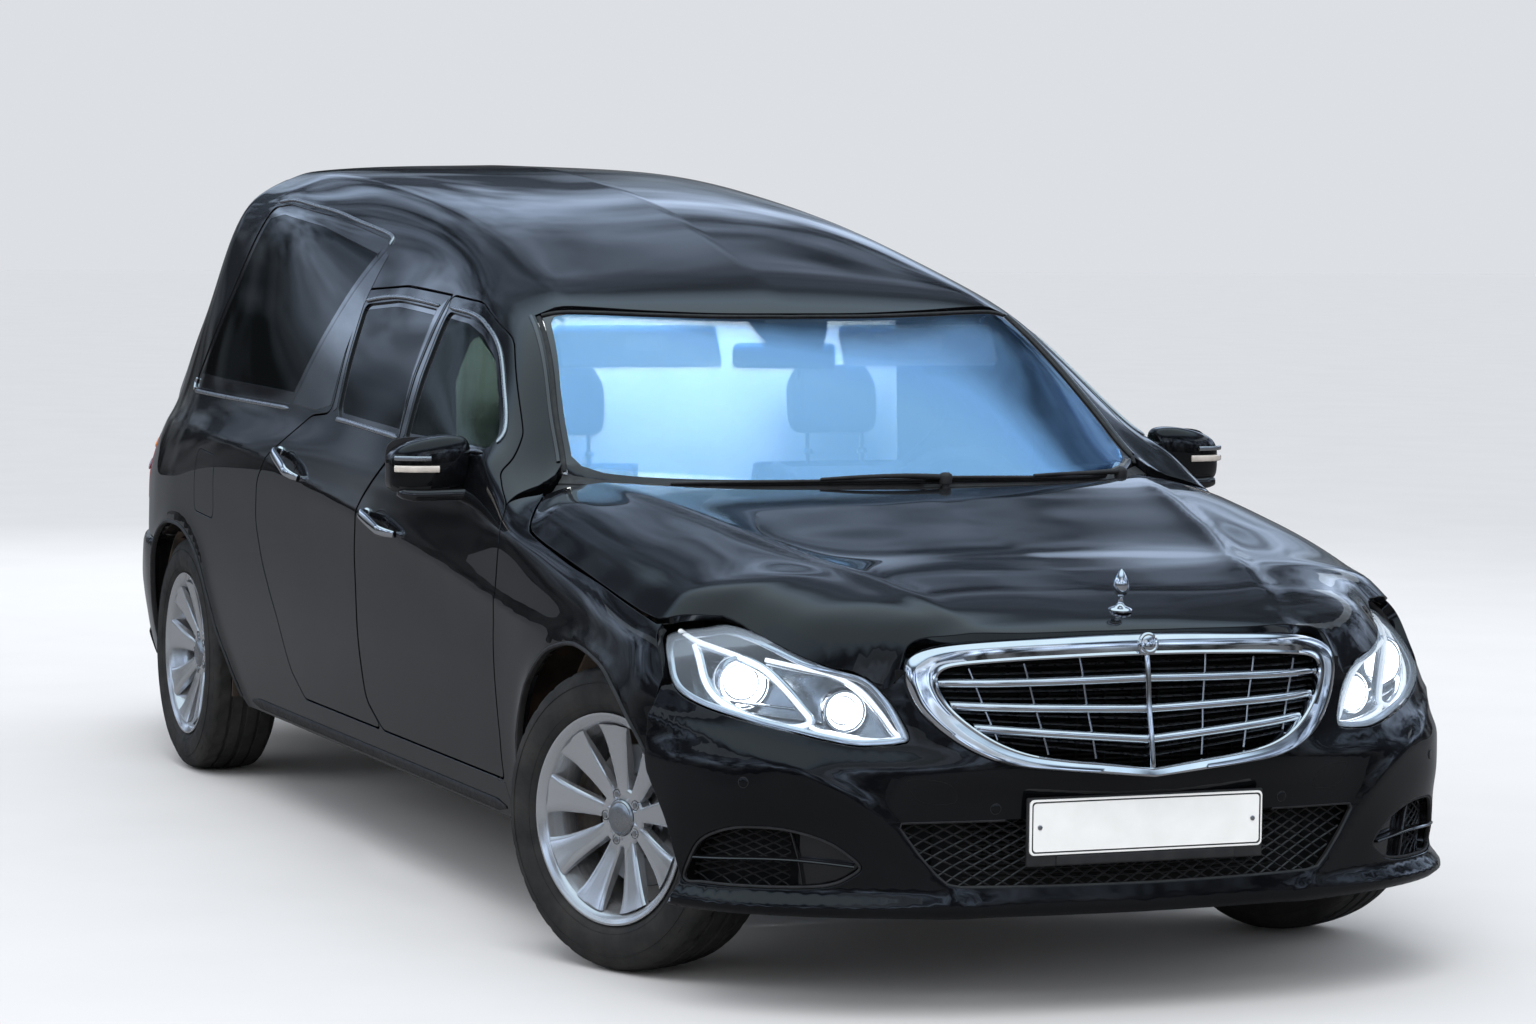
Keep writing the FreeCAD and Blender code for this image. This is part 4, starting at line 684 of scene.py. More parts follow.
# =============================== body surface ===============================
# one skin from the front bumper's edge to the rear corner: station y, then (x, z) of
# sill, crease, waist, upper, shoulder, belt (on the fender: hood seam), window head, roof rail
BODY = [
    (-0.47, [(.840, .240), (.866, .340), (.858, .600), (.812, .690), (.776, .735), (.742, .762), (.690, .774), (.640, .784)]),
    (-0.28, [(.880, .240), (.910, .340), (.914, .600), (.893, .712), (.876, .750), (.852, .775), (.790, .808), (.730, .826)]),
    (0.000, [(.885, .240), (.914, .340), (.927, .600), (.914, .757), (.902, .798), (.883, .831), (.835, .878), (.780, .898)]),
    (0.280, [(.880, .240), (.908, .340), (.925, .600), (.917, .785), (.906, .842), (.887, .875), (.838, .916), (.780, .938)]),
    (0.545, [(.862, .235), (.897, .340), (.920, .600), (.917, .778), (.907, .884), (.872, .928), (.820, .944), (.770, .962)]),
    (0.690, [(.862, .235), (.897, .340), (.921, .600), (.918, .780), (.906, .890), (.868, .985), (.755, 1.010), (.718, 1.024)]),
    (0.830, [(.862, .235), (.897, .340), (.922, .600), (.919, .790), (.906, .900), (.868, 1.034), (.728, 1.104), (.690, 1.120)]),
    (1.150, [(.862, .235), (.897, .340), (.924, .600), (.921, .800), (.908, .905), (.868, 1.030), (.674, 1.300), (.614, 1.336)]),
    (1.500, [(.862, .235), (.897, .340), (.925, .600), (.925, .830), (.910, .915), (.866, 1.028), (.654, 1.390), (.590, 1.428)]),
    (1.950, [(.862, .235), (.897, .340), (.926, .600), (.926, .850), (.912, .930), (.866, 1.044), (.655, 1.410), (.572, 1.508)]),
    (2.450, [(.862, .235), (.897, .340), (.926, .600), (.926, .850), (.914, .940), (.864, 1.052), (.660, 1.474), (.564, 1.570)]),
    (3.000, [(.862, .235), (.897, .340), (.927, .600), (.927, .830), (.914, .930), (.857, 1.052), (.655, 1.566), (.558, 1.626)]),
    (3.374, [(.862, .235), (.897, .340), (.927, .600), (.925, .800), (.907, .895), (.847, 1.045), (.645, 1.592), (.550, 1.648)]),
    (3.620, [(.850, .245), (.885, .340), (.914, .600), (.912, .780), (.892, .880), (.828, 1.037), (.640, 1.588), (.545, 1.648)]),
    (3.800, [(.830, .255), (.862, .340), (.888, .600), (.885, .780), (.864, .880), (.800, 1.025), (.645, 1.425), (.585, 1.476)]),
    (4.000, [(.788, .260), (.820, .340), (.843, .600), (.840, .780), (.815, .880), (.757, 1.000), (.690, 1.130), (.650, 1.172)]),
    (4.180, [(.735, .260), (.765, .340), (.788, .600), (.783, .780), (.758, .870), (.712, .955), (.690, .980), (.670, 1.000)]),
    (4.340, [(.665, .260), (.695, .340), (.722, .600), (.716, .770), (.696, .830), (.672, .868), (.660, .880), (.640, .885)]),
    (4.400, [(.615, .262), (.640, .345), (.670, .600), (.664, .735), (.648, .772), (.630, .798), (.618, .808), (.605, .815)]),
    (4.430, [(.562, .265), (.578, .350), (.604, .600), (.601, .655), (.595, .680), (.589, .692), (.585, .697), (.580, .700)]),
]
ROOFT = [(1.105, 1.364, 1.362, 1.346, .590), (1.25, 1.416, 1.408, 1.364, .594), (1.5, 1.482, 1.472, 1.426, .582),
         (1.9, 1.575, 1.562, 1.502, .566), (2.42, 1.652, 1.637, 1.568, .558), (3.0, 1.694, 1.684, 1.626, .552),
         (3.4, 1.698, 1.690, 1.650, .544), (3.612, 1.690, 1.684, 1.650, .539)]
GATE = [(3.600, 1.702), (3.720, 1.606), (3.900, 1.352), (4.096, 1.076), (4.130, 1.040), (4.300, .985), (4.376, .900), (4.430, .700), (4.436, .640)]
VK = np.array([0, .11, .22, .37, .57, .68, .82, 1.03, 1.24, 1.33, 1.42, 1.62, 1.92])
V_RAIL = 1.33


def body_rows():
    ys = [r[0] for r in BODY]
    out = []
    rt_ = np.array(ROOFT)
    gt = np.array(GATE)
    for y, c in BODY:
        c = [np.array(p) for p in c]
        low = c[1] * 0.45 + c[2] * 0.55; low = np.array([low[0] + 0.003, 0.45])
        mid = (c[5] + c[6]) / 2 + np.array([0.012, 0.006]) * (1 if y > 1 else 0.3)
        xr, zr = c[7]
        if y < 1.1:
            roof3 = [(xr - .05, zr + .012), (xr - .2, zr + .04), (xr - .45, zr + .05)]
        elif y <= 3.62:
            r = pchip(rt_[:, 0], rt_[:, 1:], [min(y, 3.612)])[0]
            roof3 = [(xr * .86, (r[1] + r[2]) / 2 + .006), (.30, r[1]), (0.0, r[0])]
        else:
            g = np.interp(y, gt[:, 0], gt[:, 1])
            x2 = min(.56, xr - .02)
            roof3 = [((xr + x2) / 2, (zr * 0.3 + g * 0.7)), (x2, g - .002), (0.0, g + .004)]
        out.append(np.array([c[0], c[1], low, c[2], c[3], c[4], c[5], mid, c[6], c[7]] + [np.array(q) for q in roof3]).ravel())
    return np.array(ys), np.array(out)


ys_, rows_ = body_rows()
YG = np.arange(-0.50, 4.4301, 0.01)
cols = pchip(ys_, rows_, YG)
c16 = smooth(cols, 16, 0); c200 = smooth(cols, 260, 0)
wt = (np.clip((YG - .75) / .35, 0, 1) * np.clip((3.45 - YG) / .4, 0, 1))[:, None]
wt = wt * wt * (3 - 2 * wt)
c4 = smooth(cols, 4, 0); w4 = np.clip((YG - 4.15) / .1, 0, 1)[:, None]; c16 = c16 * (1 - w4) + c4 * w4
cols = c16 * (1 - wt) + c200 * wt
cols = cols.reshape(len(YG), 13, 2)
VG = np.arange(0, 1.9201, 0.008)
XZ = pchip(VK, cols.transpose(1, 0, 2).reshape(13, -1), VG).reshape(len(VG), len(YG), 2).transpose(1, 0, 2)
XZ = smooth(XZ, 5, 1)

ARCH_F = catmull([(-.485, .18), (-.478, .283), (-.432, .410), (-.372, .505), (-.300, .575), (-.230, .627), (-.145, .668), (0, .692),
                  (.145, .668), (.230, .627), (.300, .575), (.352, .505), (.385, .420), (.398, .320), (.402, .18)], 8)
ARCH_R = catmull([(2.79, .18), (2.865, .340), (2.940, .430), (2.995, .505), (3.075, .595), (3.160, .650), (3.270, .686), (3.374, .694),
                  (3.478, .686), (3.588, .650), (3.672, .595), (3.735, .505), (3.775, .400), (3.795, .18)], 8)
CREASE = np.array([(-.1, .70), (.30, .711), (.576, .74), (.98, .791), (1.325, .827), (1.586, .854), (2.119, .902), (2.6, .938), (3.0, .958), (3.4, .968), (3.8, .962), (4.1, .93), (4.4, .88)])


def build_body():
    P = np.zeros((len(YG), len(VG), 3))
    P[..., 0] = XZ[..., 0]; P[..., 1] = YG[:, None]; P[..., 2] = XZ[..., 1]
    zc = pchip(CREASE[:, 0], CREASE[:, 1], YG)[:, None]
    dz = P[..., 2] - zc
    fade = np.clip((YG - 0.02) / 0.35, 0, 1) * np.clip((4.25 - YG) / 0.5, 0, 1)
    fade = (fade * fade * (3 - 2 * fade))[:, None]
    f = np.where(dz < 0, np.exp(dz / 0.06), np.exp(-dz / 0.020)) * 0.0060
    f = smooth(f, 1, 1)
    P[..., 0] += f * fade * (VG[None] < 0.95)
    for arch in (ARCH_F, ARCH_R):
        sel = (YG > arch[:, 0].min() - 0.15) & (YG < arch[:, 0].max() + 0.15)
        q = P[sel][:, :, 1:3].reshape(-1, 2)
        d = np.full(len(q), 9.0)
        for s0 in range(0, len(q), 3000):
            d[s0:s0 + 3000] = np.sqrt(((q[s0:s0 + 3000, None] - arch[None])**2).sum(2)).min(1)
        d = d.reshape(sel.sum(), len(VG))
        P[sel, :, 0] += 0.007 * np.exp(-(d / 0.028)**1.5) * (VG[None] < 0.62)
    return P


BP = build_body()
SB = Surf(YG, VG, BP, flip=True)
_t = SB(np.array([[1.5, .4]]))[1][0]
if _t[0] < 0:
    SB.N = -SB.N


def YZ(poly):
    """(y, z) outline on the body side -> surface coordinates."""
    p = np.asarray(poly, float)
    return np.stack([p[:, 0], SB.v_at(p[:, 0], p[:, 1], 2)], 1)


def YX(y, x):
    y = np.atleast_1d(y)
    return np.stack([y, SB.v_at(y, np.broadcast_to(x, y.shape), 0, rising=False)], 1)


MM = 0.001
FRONT_DOOR = fillet(np.array([(551, 335), (538, 430), (562, 640), (554, 745), (558, 880), (600, 940), (720, 1004), (830, 1088), (1150, 1290), (1420, 1366), (1640, 1376),
                              (1560, 1180), (1445, 1015), (1590, 880), (1620, 760), (1585, 507), (1566, 398), (1470, 335)]) * MM, .05,
                    radii={0: .02, 1: .10, 2: .3, 3: .3, 4: .1, 5: .10, 6: .2, 7: .3, 8: .3, 9: .3, 10: .015, 11: .4, 12: .05, 13: .12, 14: .2, 15: .3, 16: .06, 17: .06})
REAR_DOOR = fillet(np.array([(1482, 335), (1574, 392), (1593, 500), (1628, 760), (1598, 884), (1455, 1020), (1568, 1182), (1648, 1376), (2000, 1388), (2262, 1372), (2150, 1200), (2060, 1066),
                             (2215, 1052), (2440, 940), (2510, 864), (2524, 763), (2459, 661), (2325, 530), (2236, 398), (2149, 335)]) * MM, .05,
                   radii={0: .02, 1: .06, 2: .3, 3: .2, 4: .12, 5: .03, 6: .4, 7: .015, 8: .5, 9: .02, 10: .4, 11: .03, 12: .12, 13: .12, 14: .08, 15: .10, 16: .3, 17: .3, 18: .12, 19: .04})
FRONT_WIN = fillet(np.array([(836, 1052), (872, 1082), (1160, 1256), (1300, 1306), (1420, 1330), (1590, 1340), (1515, 1185), (1424, 1044)]) * MM, .02,
                   radii={0: .01, 1: .1, 2: .4, 3: .3, 4: .3, 5: .015, 6: .4, 7: .02})
REAR_WIN = fillet(np.array([(1482, 1048), (1600, 1190), (1688, 1342), (2000, 1354), (2205, 1338), (2110, 1195), (2026, 1082), (1990, 1062)]) * MM, .02,
                  radii={0: .01, 1: .5, 2: .012, 3: .6, 4: .015, 5: .5, 6: .05, 7: .03})
SIDE_WIN = fillet(np.array([(2440, 1072), (2306, 1478), (2345, 1502), (2800, 1556), (3180, 1584), (3310, 1574), (3530, 1085), (3495, 1066)]) * MM, .03,
                  radii={0: .015, 1: .012, 2: .02, 3: .6, 4: .2, 5: .04, 6: .03, 7: .02})
GAPO = 0.0052


def dom(poly):
    return dense(YZ(dense(poly, 0.012)), 0.012)


UV_FD, UV_RD = dom(FRONT_DOOR), dom(REAR_DOOR)
UV_FW, UV_RW, UV_SW = dom(FRONT_WIN), dom(REAR_WIN), dom(SIDE_WIN)
UV_FDo, UV_RDo = offset(UV_FD, GAPO), offset(UV_RD, GAPO)


def depth_side(lo, hi):
    return lambda P: lo + (hi - lo) * np.clip((P[:, 2] - 0.98) / 0.10, 0, 1) * (P[:, 1] > 0.6)


def cdt(out, holes, step=0.018):
    return triangulate(out, holes, step)


# ---- doors
HANDLE_F, HANDLE_R = (1.400, .842), (2.232, .930)


def doors():
    fdF = cdt(UV_FD, [UV_FW]); rdF = cdt(UV_RD, [UV_RW])
    for side, mir in (("left", False), ("right", True)):
        shell("door_skin_front_" + side, fdF[0], fdF[1], SB, depth_side(.062, .026), [PAINT, TRIM], "front_door_" + side, "paint",
              mirror=mir, replaces=("front_door_" + side,))
        shell("door_skin_rear_" + side, rdF[0], rdF[1], SB, depth_side(.062, .026), [PAINT, TRIM], "rear_door_" + side, "paint",
              mirror=mir, replaces=("rear_door_" + side,))


doors()

# ---- door and side glass with black borders
def pane(name, loop, body, gmat, slot, mir, rep, inset, border=0.014, grow_=0.006):
    o = offset(loop, grow_); i_ = offset(loop, -border)
    g = cdt(dense(i_, 0.02), [], 0.035)
    b = cdt(o, [dense(i_, 0.02)], 0.03)
    shell(name, g[0], g[1], SB, 0.004, [gmat], body, slot, mirror=mir, out=-inset, r=0.0004, replaces=rep)
    shell(name + "_border", b[0], b[1], SB, 0.0045, [FRIT], body, "trim_black", mirror=mir, out=-inset + 0.0003, r=0.0004)


for side, mir in (("left", False), ("right", True)):
    pane("window_front_" + side, UV_FW, "front_door_" + side, G_FRONT, "glass_clear", mir, ("front_glass_" + side,), 0.006)
    pane("window_rear_" + side, UV_RW, "rear_door_" + side, G_DARK, "glass_dark", mir, ("rear_glass_" + side,), 0.006)
    pane("window_side_" + side, UV_SW, "body", G_DARK, "glass_dark", mir, ("rear_side_glass",) if not mir else (), 0.003, border=0.03, grow_=0.004)


# ---- body side: sill, pillars, rear quarter, band over the doors
LAMP_SIDE = fillet(np.array([(3.895, .800), (3.985, .905), (4.12, .928), (4.300, .878), (4.385, .795), (4.415, .715), (4.395, .692), (4.15, .685), (3.975, .722)]), .02)
FUEL = fillet(np.array([(2.955, .735), (2.955, .905), (3.155, .915), (3.155, .745)]), .03)


def side_outline():
    zl = np.array([(.548, .2385), (2.795, .2385)])
    pts = [YZ(dense([(.548, .2385), (2.80, .2385)], .02, False))]
    ar = ARCH_R[(ARCH_R[:, 1] > .2385)]
    ar = ar[(ar[:, 0] < 3.60) | (ar[:, 1] > .6265)]
    pts.append(YZ(ar[1:-1]))
    pts.append(YZ(dense([(3.66, .6265), (4.405, .6265)], .02, False)))
    pts.append(YZ([(4.424, .6275)]))
    yy_ = np.arange(4.424, 3.61, -0.012)
    pts.append(YX(yy_, np.interp(yy_, [3.6, 3.75, 4.05, 4.36, 4.43], [.545, .548, .572, .574, .585])))
    pts.append(np.array([[3.600, V_RAIL + .01]]))
    yb = np.arange(3.595, 1.125, -0.02)
    pts.append(np.stack([yb, np.full_like(yb, V_RAIL)], 1))
    yb = np.arange(1.11, 0.68, -0.02)
    pts.append(np.stack([yb, np.full_like(yb, V_RAIL + .004)], 1))
    pts.append(np.array([[.66, V_RAIL - .03], [.640, 1.20], [.62, .95]]))
    pts.append(YZ([(.60, .93), (.60, .325), (.548, .325)]))
    o = np.concatenate(pts)
    keep = np.concatenate([[True], np.linalg.norm(np.diff(o, axis=0), axis=1) > 0.002])
    return dense(o[keep], 0.015)


UV_SIDE = side_outline()
UV_LAMP, UV_FUEL = dom(LAMP_SIDE), dom(FUEL)


def roof_seam(uv, P):
    return (np.abs(uv[:, 1] - V_RAIL) < 2e-3) & (uv[:, 0] > 1.12) & (uv[:, 0] < 3.597)


bs = cdt(UV_SIDE, [UV_FDo, UV_RDo, UV_SW, offset(UV_LAMP, .003), offset(UV_FUEL, .0022)])
FL = cdt(UV_FUEL, [])
lampF = cdt(UV_LAMP, [], 0.02)


def body_sides():
    for side, mir in (("left", False), ("right", True)):
        shell("body_side_skin_" + side, bs[0], bs[1], SB, depth_side(.10, .045), [PAINT, PAINT_IN], "body", "paint",
              mirror=mir, replaces=("body_side_" + side,), seamless=roof_seam)
    shell("fuel_flap", FL[0], FL[1], SB, 0.004, [PAINT], "body", "paint", mirror=True, r=0.0012)
    shell("quarter_blank", FL[0], FL[1], SB, 0.004, [PAINT], "body", "paint", mirror=False, r=0.0002)
    for side, mir in (("left", False), ("right", True)):
        shell("tail_lamp_lens_" + side, lampF[0], lampF[1], SB, 0.05, [REDM, REDD], "body", "lamp_red", mirror=mir, out=0.001, r=0.004,
              replaces=("tail_lamps",) if not mir else ())


body_sides()

# inner frames behind the doors
AP_F = fillet(np.array([(640, 400), (650, 930), (760, 1010), (880, 1085), (1160, 1240), (1420, 1312), (1520, 1318), (1420, 1130), (1370, 1015), (1440, 880), (1470, 760), (1450, 560), (1420, 400)]) * MM, .06)
AP_R = fillet(np.array([(1560, 400), (1600, 560), (1640, 760), (1640, 900), (1560, 1020), (1640, 1180), (1720, 1318), (2000, 1330), (2150, 1316), (2060, 1190), (1980, 1066),
                        (2240, 960), (2400, 860), (2400, 763), (2330, 680), (2200, 560), (2110, 400)]) * MM, .05)
jo = YZ(dense(np.array([(.57, .26), (2.70, .26), (2.70, 1.0), (2.36, 1.40), (1.80, 1.42), (1.40, 1.385), (1.15, 1.32), (.85, 1.11), (.66, 1.0), (.57, .93)]), .02))
jm = cdt(jo, [dom(AP_F), dom(AP_R)], 0.03)
for side, mir in (("left", False), ("right", True)):
    shell("door_frame_inner_" + side, jm[0], jm[1], lambda uv: (lambda P, N: (P - N * (.095 + (.033 - .095) * np.clip((P[:, 2] - .98) / .10, 0, 1))[:, None], N))(*SB(uv)),
          0.03, [PAINT_IN, TRIM], "body", "paint", mirror=mir, r=0.004)


# ---- fender
UP_ = SB.P.copy()
UP_[:, SB.V < .60, 0] = 9.0          # leaves only the flank above the arch for a look-up by x
SBU = Surf(SB.U, SB.V, UP_)


def YXS(y, x):
    return np.stack([y, SBU.v_at(y, x, 0, False)], 1)


def fender_outline():
    f = [YZ(dense([(.60, .325), (.548, .325), (.545, .2385), (.41, .2385)], .015, False))]
    ar = ARCH_F[::-1]; ar = ar[ar[:, 1] > .2385]
    ar = ar[(ar[:, 0] > -.381)]
    f.append(YZ(ar[1:]))
    f.append(YZ(dense([(-.383, .50), (-.387, .662)], .015, False)))
    f.append(YZ(catmull([(-.384, .668), (-.362, .700), (-.328, .738), (-.317, .764)], 4)))
    ysm = np.concatenate([[-.306], np.arange(-.292, .600, .02)])
    f.append(YXS(ysm, hood_w(ysm) + .0045))
    f.append(YXS(np.array([.6]), np.array([.7915])))
    o = np.concatenate(f)
    keep = np.concatenate([[True], np.linalg.norm(np.diff(o, axis=0), axis=1) > 0.002])
    return dense(o[keep], 0.015)


HOODT = np.array([(-.800, .425, .775, .690), (-.785, .436, .784, .690), (-.750, .470, .796, .686), (-.716, .502, .806, .680), (-.700, .545, .811, .682), (-.656, .612, .822, .700),
                  (-.590, .668, .838, .727), (-.494, .708, .854, .755), (-.410, .745, .867, .783), (-.378, .785, .871, .787), (-.342, .822, .876, .783), (-.312, .848, .880, .772),
                  (-.250, .858, .887, .779), (-.198, .864, .894, .788), (-.105, .874, .908, .808), (.016, .882, .928, .832), (.162, .886, .951, .857), (.291, .886, .972, .876),
                  (.409, .882, .988, .897), (.518, .836, .997, .937), (.600, .787, 1.001, .962)])


def hood_w(y):
    return pchip(HOODT[:, 0], HOODT[:, 1], np.clip(y, -.80, .60))


UV_FEN = fender_outline()
fen = cdt(UV_FEN, [UV_FDo])
for side, mir in (("left", False), ("right", True)):
    shell("fender_skin_" + side, fen[0], fen[1], SB, 0.022, [PAINT, PAINT_IN], "body", "paint", mirror=mir, replaces=("front_fenders",) if not mir else ())

# ---- roof (right half mirrored onto the left in one piece)
def sym(name, uv, F, ev, depth, mats, body, slot, open_, r=.0016, seamless=None, replaces=(), out=0.0, inner=True):
    """Half panel and its mirror image in one piece, open along the middle."""
    P, N = ev(uv); P = P + N * out
    D = depth(P) if callable(depth) else np.full(len(P), float(depth))
    Pin = P - N * D[:, None]
    a, b, c = P[F[:, 0]], P[F[:, 1]], P[F[:, 2]]
    FF = F[:, ::-1] if (np.cross(b - a, c - a) * N[F[:, 0]]).sum() < 0 else F
    V = [P.copy()]; Nn = [N.copy()]; faces = [tuple(f) for f in FF]; fm = [0] * len(FF); base = len(P)
    if inner:
        V.append(Pin); Nn.append(-N); faces += [tuple(base + np.array(f)[::-1]) for f in FF]; fm += [1 if len(mats) > 1 else 0] * len(FF); base += len(P)
    for loop in boundary(FF):
        L = np.array(loop); pos = P[L]; nn = N[L]; op = open_(uv[L], pos)
        tan = np.roll(pos, -1, 0) - np.roll(pos, 1, 0); tan /= np.maximum(np.linalg.norm(tan, axis=1, keepdims=True), 1e-12)
        outw = np.cross(tan, nn); outw /= np.maximum(np.linalg.norm(outw, axis=1, keepdims=True), 1e-12)
        outw[op, 0] = 0; outw /= np.maximum(np.linalg.norm(outw, axis=1, keepdims=True), 1e-12)
        hard = np.ones(len(L), bool) if seamless is None else ~seamless(uv[L], pos)
        rr_ = np.where(hard, r, 0.0)[:, None]
        full_open = op & np.roll(op, 1) & np.roll(op, -1)
        rr_[full_open] = 0
        V[0][L] = pos - outw * rr_
        k = len(L)
        V += [pos - outw * rr_ * .29 - nn * rr_ * .29, pos - nn * rr_, Pin[L]]
        mid = outw * .75 + nn * .66
        Nn += [mid / np.maximum(np.linalg.norm(mid, axis=1, keepdims=True), 1e-9), outw, outw]
        for i in range(k):
            j = (i + 1) % k
            if op[i] and op[j]:
                continue
            faces += [(L[i], base + i, base + j, L[j]), (base + i, base + k + i, base + k + j, base + j), (base + k + i, base + 2 * k + i, base + 2 * k + j, base + k + j)]
            fm += [0, 0, 0]
        base += 3 * k
    V = np.concatenate(V); Nn = np.concatenate(Nn)
    on = np.abs(V[:, 0]) < 1e-6
    Nn[on, 0] = 0
    W = V.copy(); W[:, 0] *= -1; Wn = Nn.copy(); Wn[:, 0] *= -1
    f2 = [tuple(i + len(V) for i in f[::-1]) for f in faces]
    return mk(name, np.concatenate([V, W]), faces + f2, mats, body, slot, normals=np.concatenate([Nn, Wn]), fmat=fm + fm, replaces=replaces)


def mid_open(uv, P):
    return np.abs(P[:, 0]) < 1e-5


def scr_head_y(x):
    return pchip([0, .17, .35, .50, .594], [1.108, 1.114, 1.134, 1.166, 1.198], np.abs(x))


def roof_outline():
    xs = np.linspace(0, .585, 30)
    yh = scr_head_y(xs)
    a = np.concatenate([YX(np.array([y]), np.array([x])) for x, y in zip(xs, yh)])
    a = a[::-1]; a[0, 1] = V_RAIL; a[-1, 1] = VG[-1]
    ye = np.arange(1.22, 3.595, .02)
    return np.concatenate([np.array([[y, VG[-1]] for y in np.arange(1.12, 3.59, .02)]), np.array([[3.592, v] for v in np.arange(VG[-1], V_RAIL, -.015)]),
                           np.array([[y, V_RAIL] for y in ye[::-1]]), a])


ro = roof_outline()
keep = np.concatenate([[True], np.linalg.norm(np.diff(ro, axis=0), axis=1) > 0.003])
rf = cdt(ro[keep], [], 0.02)


def ev_mid(S, tol=1e-3):
    def ev(uv):
        P, N = S(uv)
        m0 = uv[:, 1] > VG[-1] - tol
        P[m0, 0] = 0; N[m0, 0] = 0
        return P, N / np.linalg.norm(N, axis=1, keepdims=True)
    return ev


sym("roof_skin", rf[0], rf[1], ev_mid(SB), 0.022, [PAINT, LININGM], "body", "paint", mid_open, replaces=("roof_panel",), seamless=roof_seam)

# ---- hood
HXg = np.arange(0, .9001, .01); HYg = np.arange(-.86, .6601, .01)


def build_hood():
    zc = pchip(HOODT[:, 0], HOODT[:, 2], np.clip(HYg, -.80, .60)); ze = pchip(HOODT[:, 0], HOODT[:, 3], np.clip(HYg, -.80, .60)); w = hood_w(HYg)
    extra = np.where(HYg < -.80, (HYg + .80) * .6, 0)
    zc = smooth(zc + extra, 8, 0); ze = smooth(ze + extra, 4, 0)
    s = HXg[:, None] / w[None]
    g = pchip([0, .2, .35, .7, .84, .93, 1.0, 1.2, 3.0], [0, .010, .03, .12, .27, .50, 1.0, 2.4, 7.0], np.clip(s, 0, 3).ravel()).reshape(s.shape)
    z = zc[None] - (zc - ze)[None] * g
    xc = np.interp(HYg, [-.86, -.74, -.4, .0, .4, .60], [.34, .36, .45, .55, .64, .68])[None]
    d = HXg[:, None] - xc
    am = .0065 * np.clip((HYg + .80) / .15, 0, 1)[None]
    z = z + np.where(d < 0, am * np.exp(np.minimum(d, 0) / .05), am * np.exp(-np.maximum(d, 0) / .018))
    z = smooth(smooth(z, 2, 0), 3, 1)
    P = np.zeros((len(HXg), len(HYg), 3)); P[..., 0] = HXg[:, None]; P[..., 1] = HYg[None]; P[..., 2] = z
    return P


SH = Surf(HXg, HYg, build_hood())
if SH(np.array([[.2, 0.0]]))[1][0][2] < 0:
    SH.N = -SH.N


def hood_ev(uv):
    P, N = SH(uv); m0 = uv[:, 0] < 1e-6; N[m0, 0] = 0
    return P, N / np.linalg.norm(N, axis=1, keepdims=True)


HOOD_BACK = [(0, .354), (.20, .365), (.40, .405), (.56, .480), (.70, .572), (.783, .611)]
HOOD_FRONT = [(0, -.797), (.086, -.796), (.257, -.785), (.367, -.756), (.432, -.722), (.470, -.712), (.497, -.722), (.520, -.716), (.545, -.700), (.609, -.657)]


def hood_outline():
    back = catmull(HOOD_BACK, 6)
    yb = np.concatenate([[.590], np.arange(.575, -.640, -.02)])
    edge = np.stack([hood_w(yb), yb], 1)
    front = catmull(HOOD_FRONT, 6)[::-1]
    mid = np.array([[0, y] for y in np.arange(-.78, .35, .02)])
    o = np.concatenate([back, edge, front, mid])
    keep = np.concatenate([[True], np.linalg.norm(np.diff(o, axis=0), axis=1) > 0.003])
    return dense(o[keep], .015)


ho = hood_outline()
hd = cdt(ho, [], .018)
sym("hood_skin", hd[0], hd[1], hood_ev, 0.020, [PAINT, PAINT_IN], "hood", "paint", mid_open, replaces=("hood",), r=.002)


# =============================== front bumper surface ===============================
BUMP = [
    (.195, [(0, -.812), (.300, -.790), (.500, -.738), (.650, -.668), (.760, -.582), (.830, -.490), (.860, -.422), (.866, -.372)]),
    (.206, [(0, -.838), (.300, -.818), (.510, -.768), (.658, -.702), (.790, -.608), (.868, -.502), (.896, -.424), (.900, -.372)]),
    (.224, [(0, -.850), (.300, -.831), (.516, -.785), (.668, -.722), (.803, -.624), (.880, -.508), (.906, -.425), (.908, -.372)]),
    (.262, [(0, -.844), (.300, -.825), (.510, -.771), (.655, -.702), (.782, -.602), (.857, -.494), (.890, -.416), (.900, -.372)]),
    (.300, [(0, -.838), (.300, -.820), (.510, -.770), (.655, -.704), (.786, -.604), (.862, -.494), (.894, -.413), (.902, -.372)]),
    (.370, [(0, -.838), (.300, -.820), (.508, -.772), (.654, -.706), (.786, -.606), (.864, -.494), (.896, -.412), (.904, -.372)]),
    (.440, [(0, -.842), (.300, -.824), (.506, -.775), (.652, -.710), (.788, -.612), (.868, -.500), (.902, -.415), (.909, -.372)]),
    (.500, [(0, -.872), (.300, -.846), (.500, -.776), (.648, -.708), (.782, -.611), (.866, -.500), (.904, -.412), (.912, -.370)]),
    (.552, [(0, -.866), (.300, -.840), (.494, -.756), (.630, -.692), (.758, -.596), (.844, -.492), (.888, -.415), (.914, -.365)]),
    (.640, [(0, -.848), (.300, -.820), (.480, -.738), (.606, -.668), (.728, -.568), (.820, -.470), (.870, -.400), (.902, -.350)]),
    (.700, [(0, -.842), (.300, -.812), (.484, -.724), (.604, -.664), (.706, -.566), (.788, -.456), (.842, -.370), (.880, -.300)]),
    (.740, [(0, -.832), (.300, -.800), (.470, -.708), (.580, -.644), (.676, -.570), (.750, -.455), (.808, -.350), (.850, -.260)]),
    (.778, [(0, -.812), (.300, -.780), (.452, -.690), (.555, -.618), (.640, -.534), (.708, -.420), (.772, -.300), (.815, -.200)]),
]


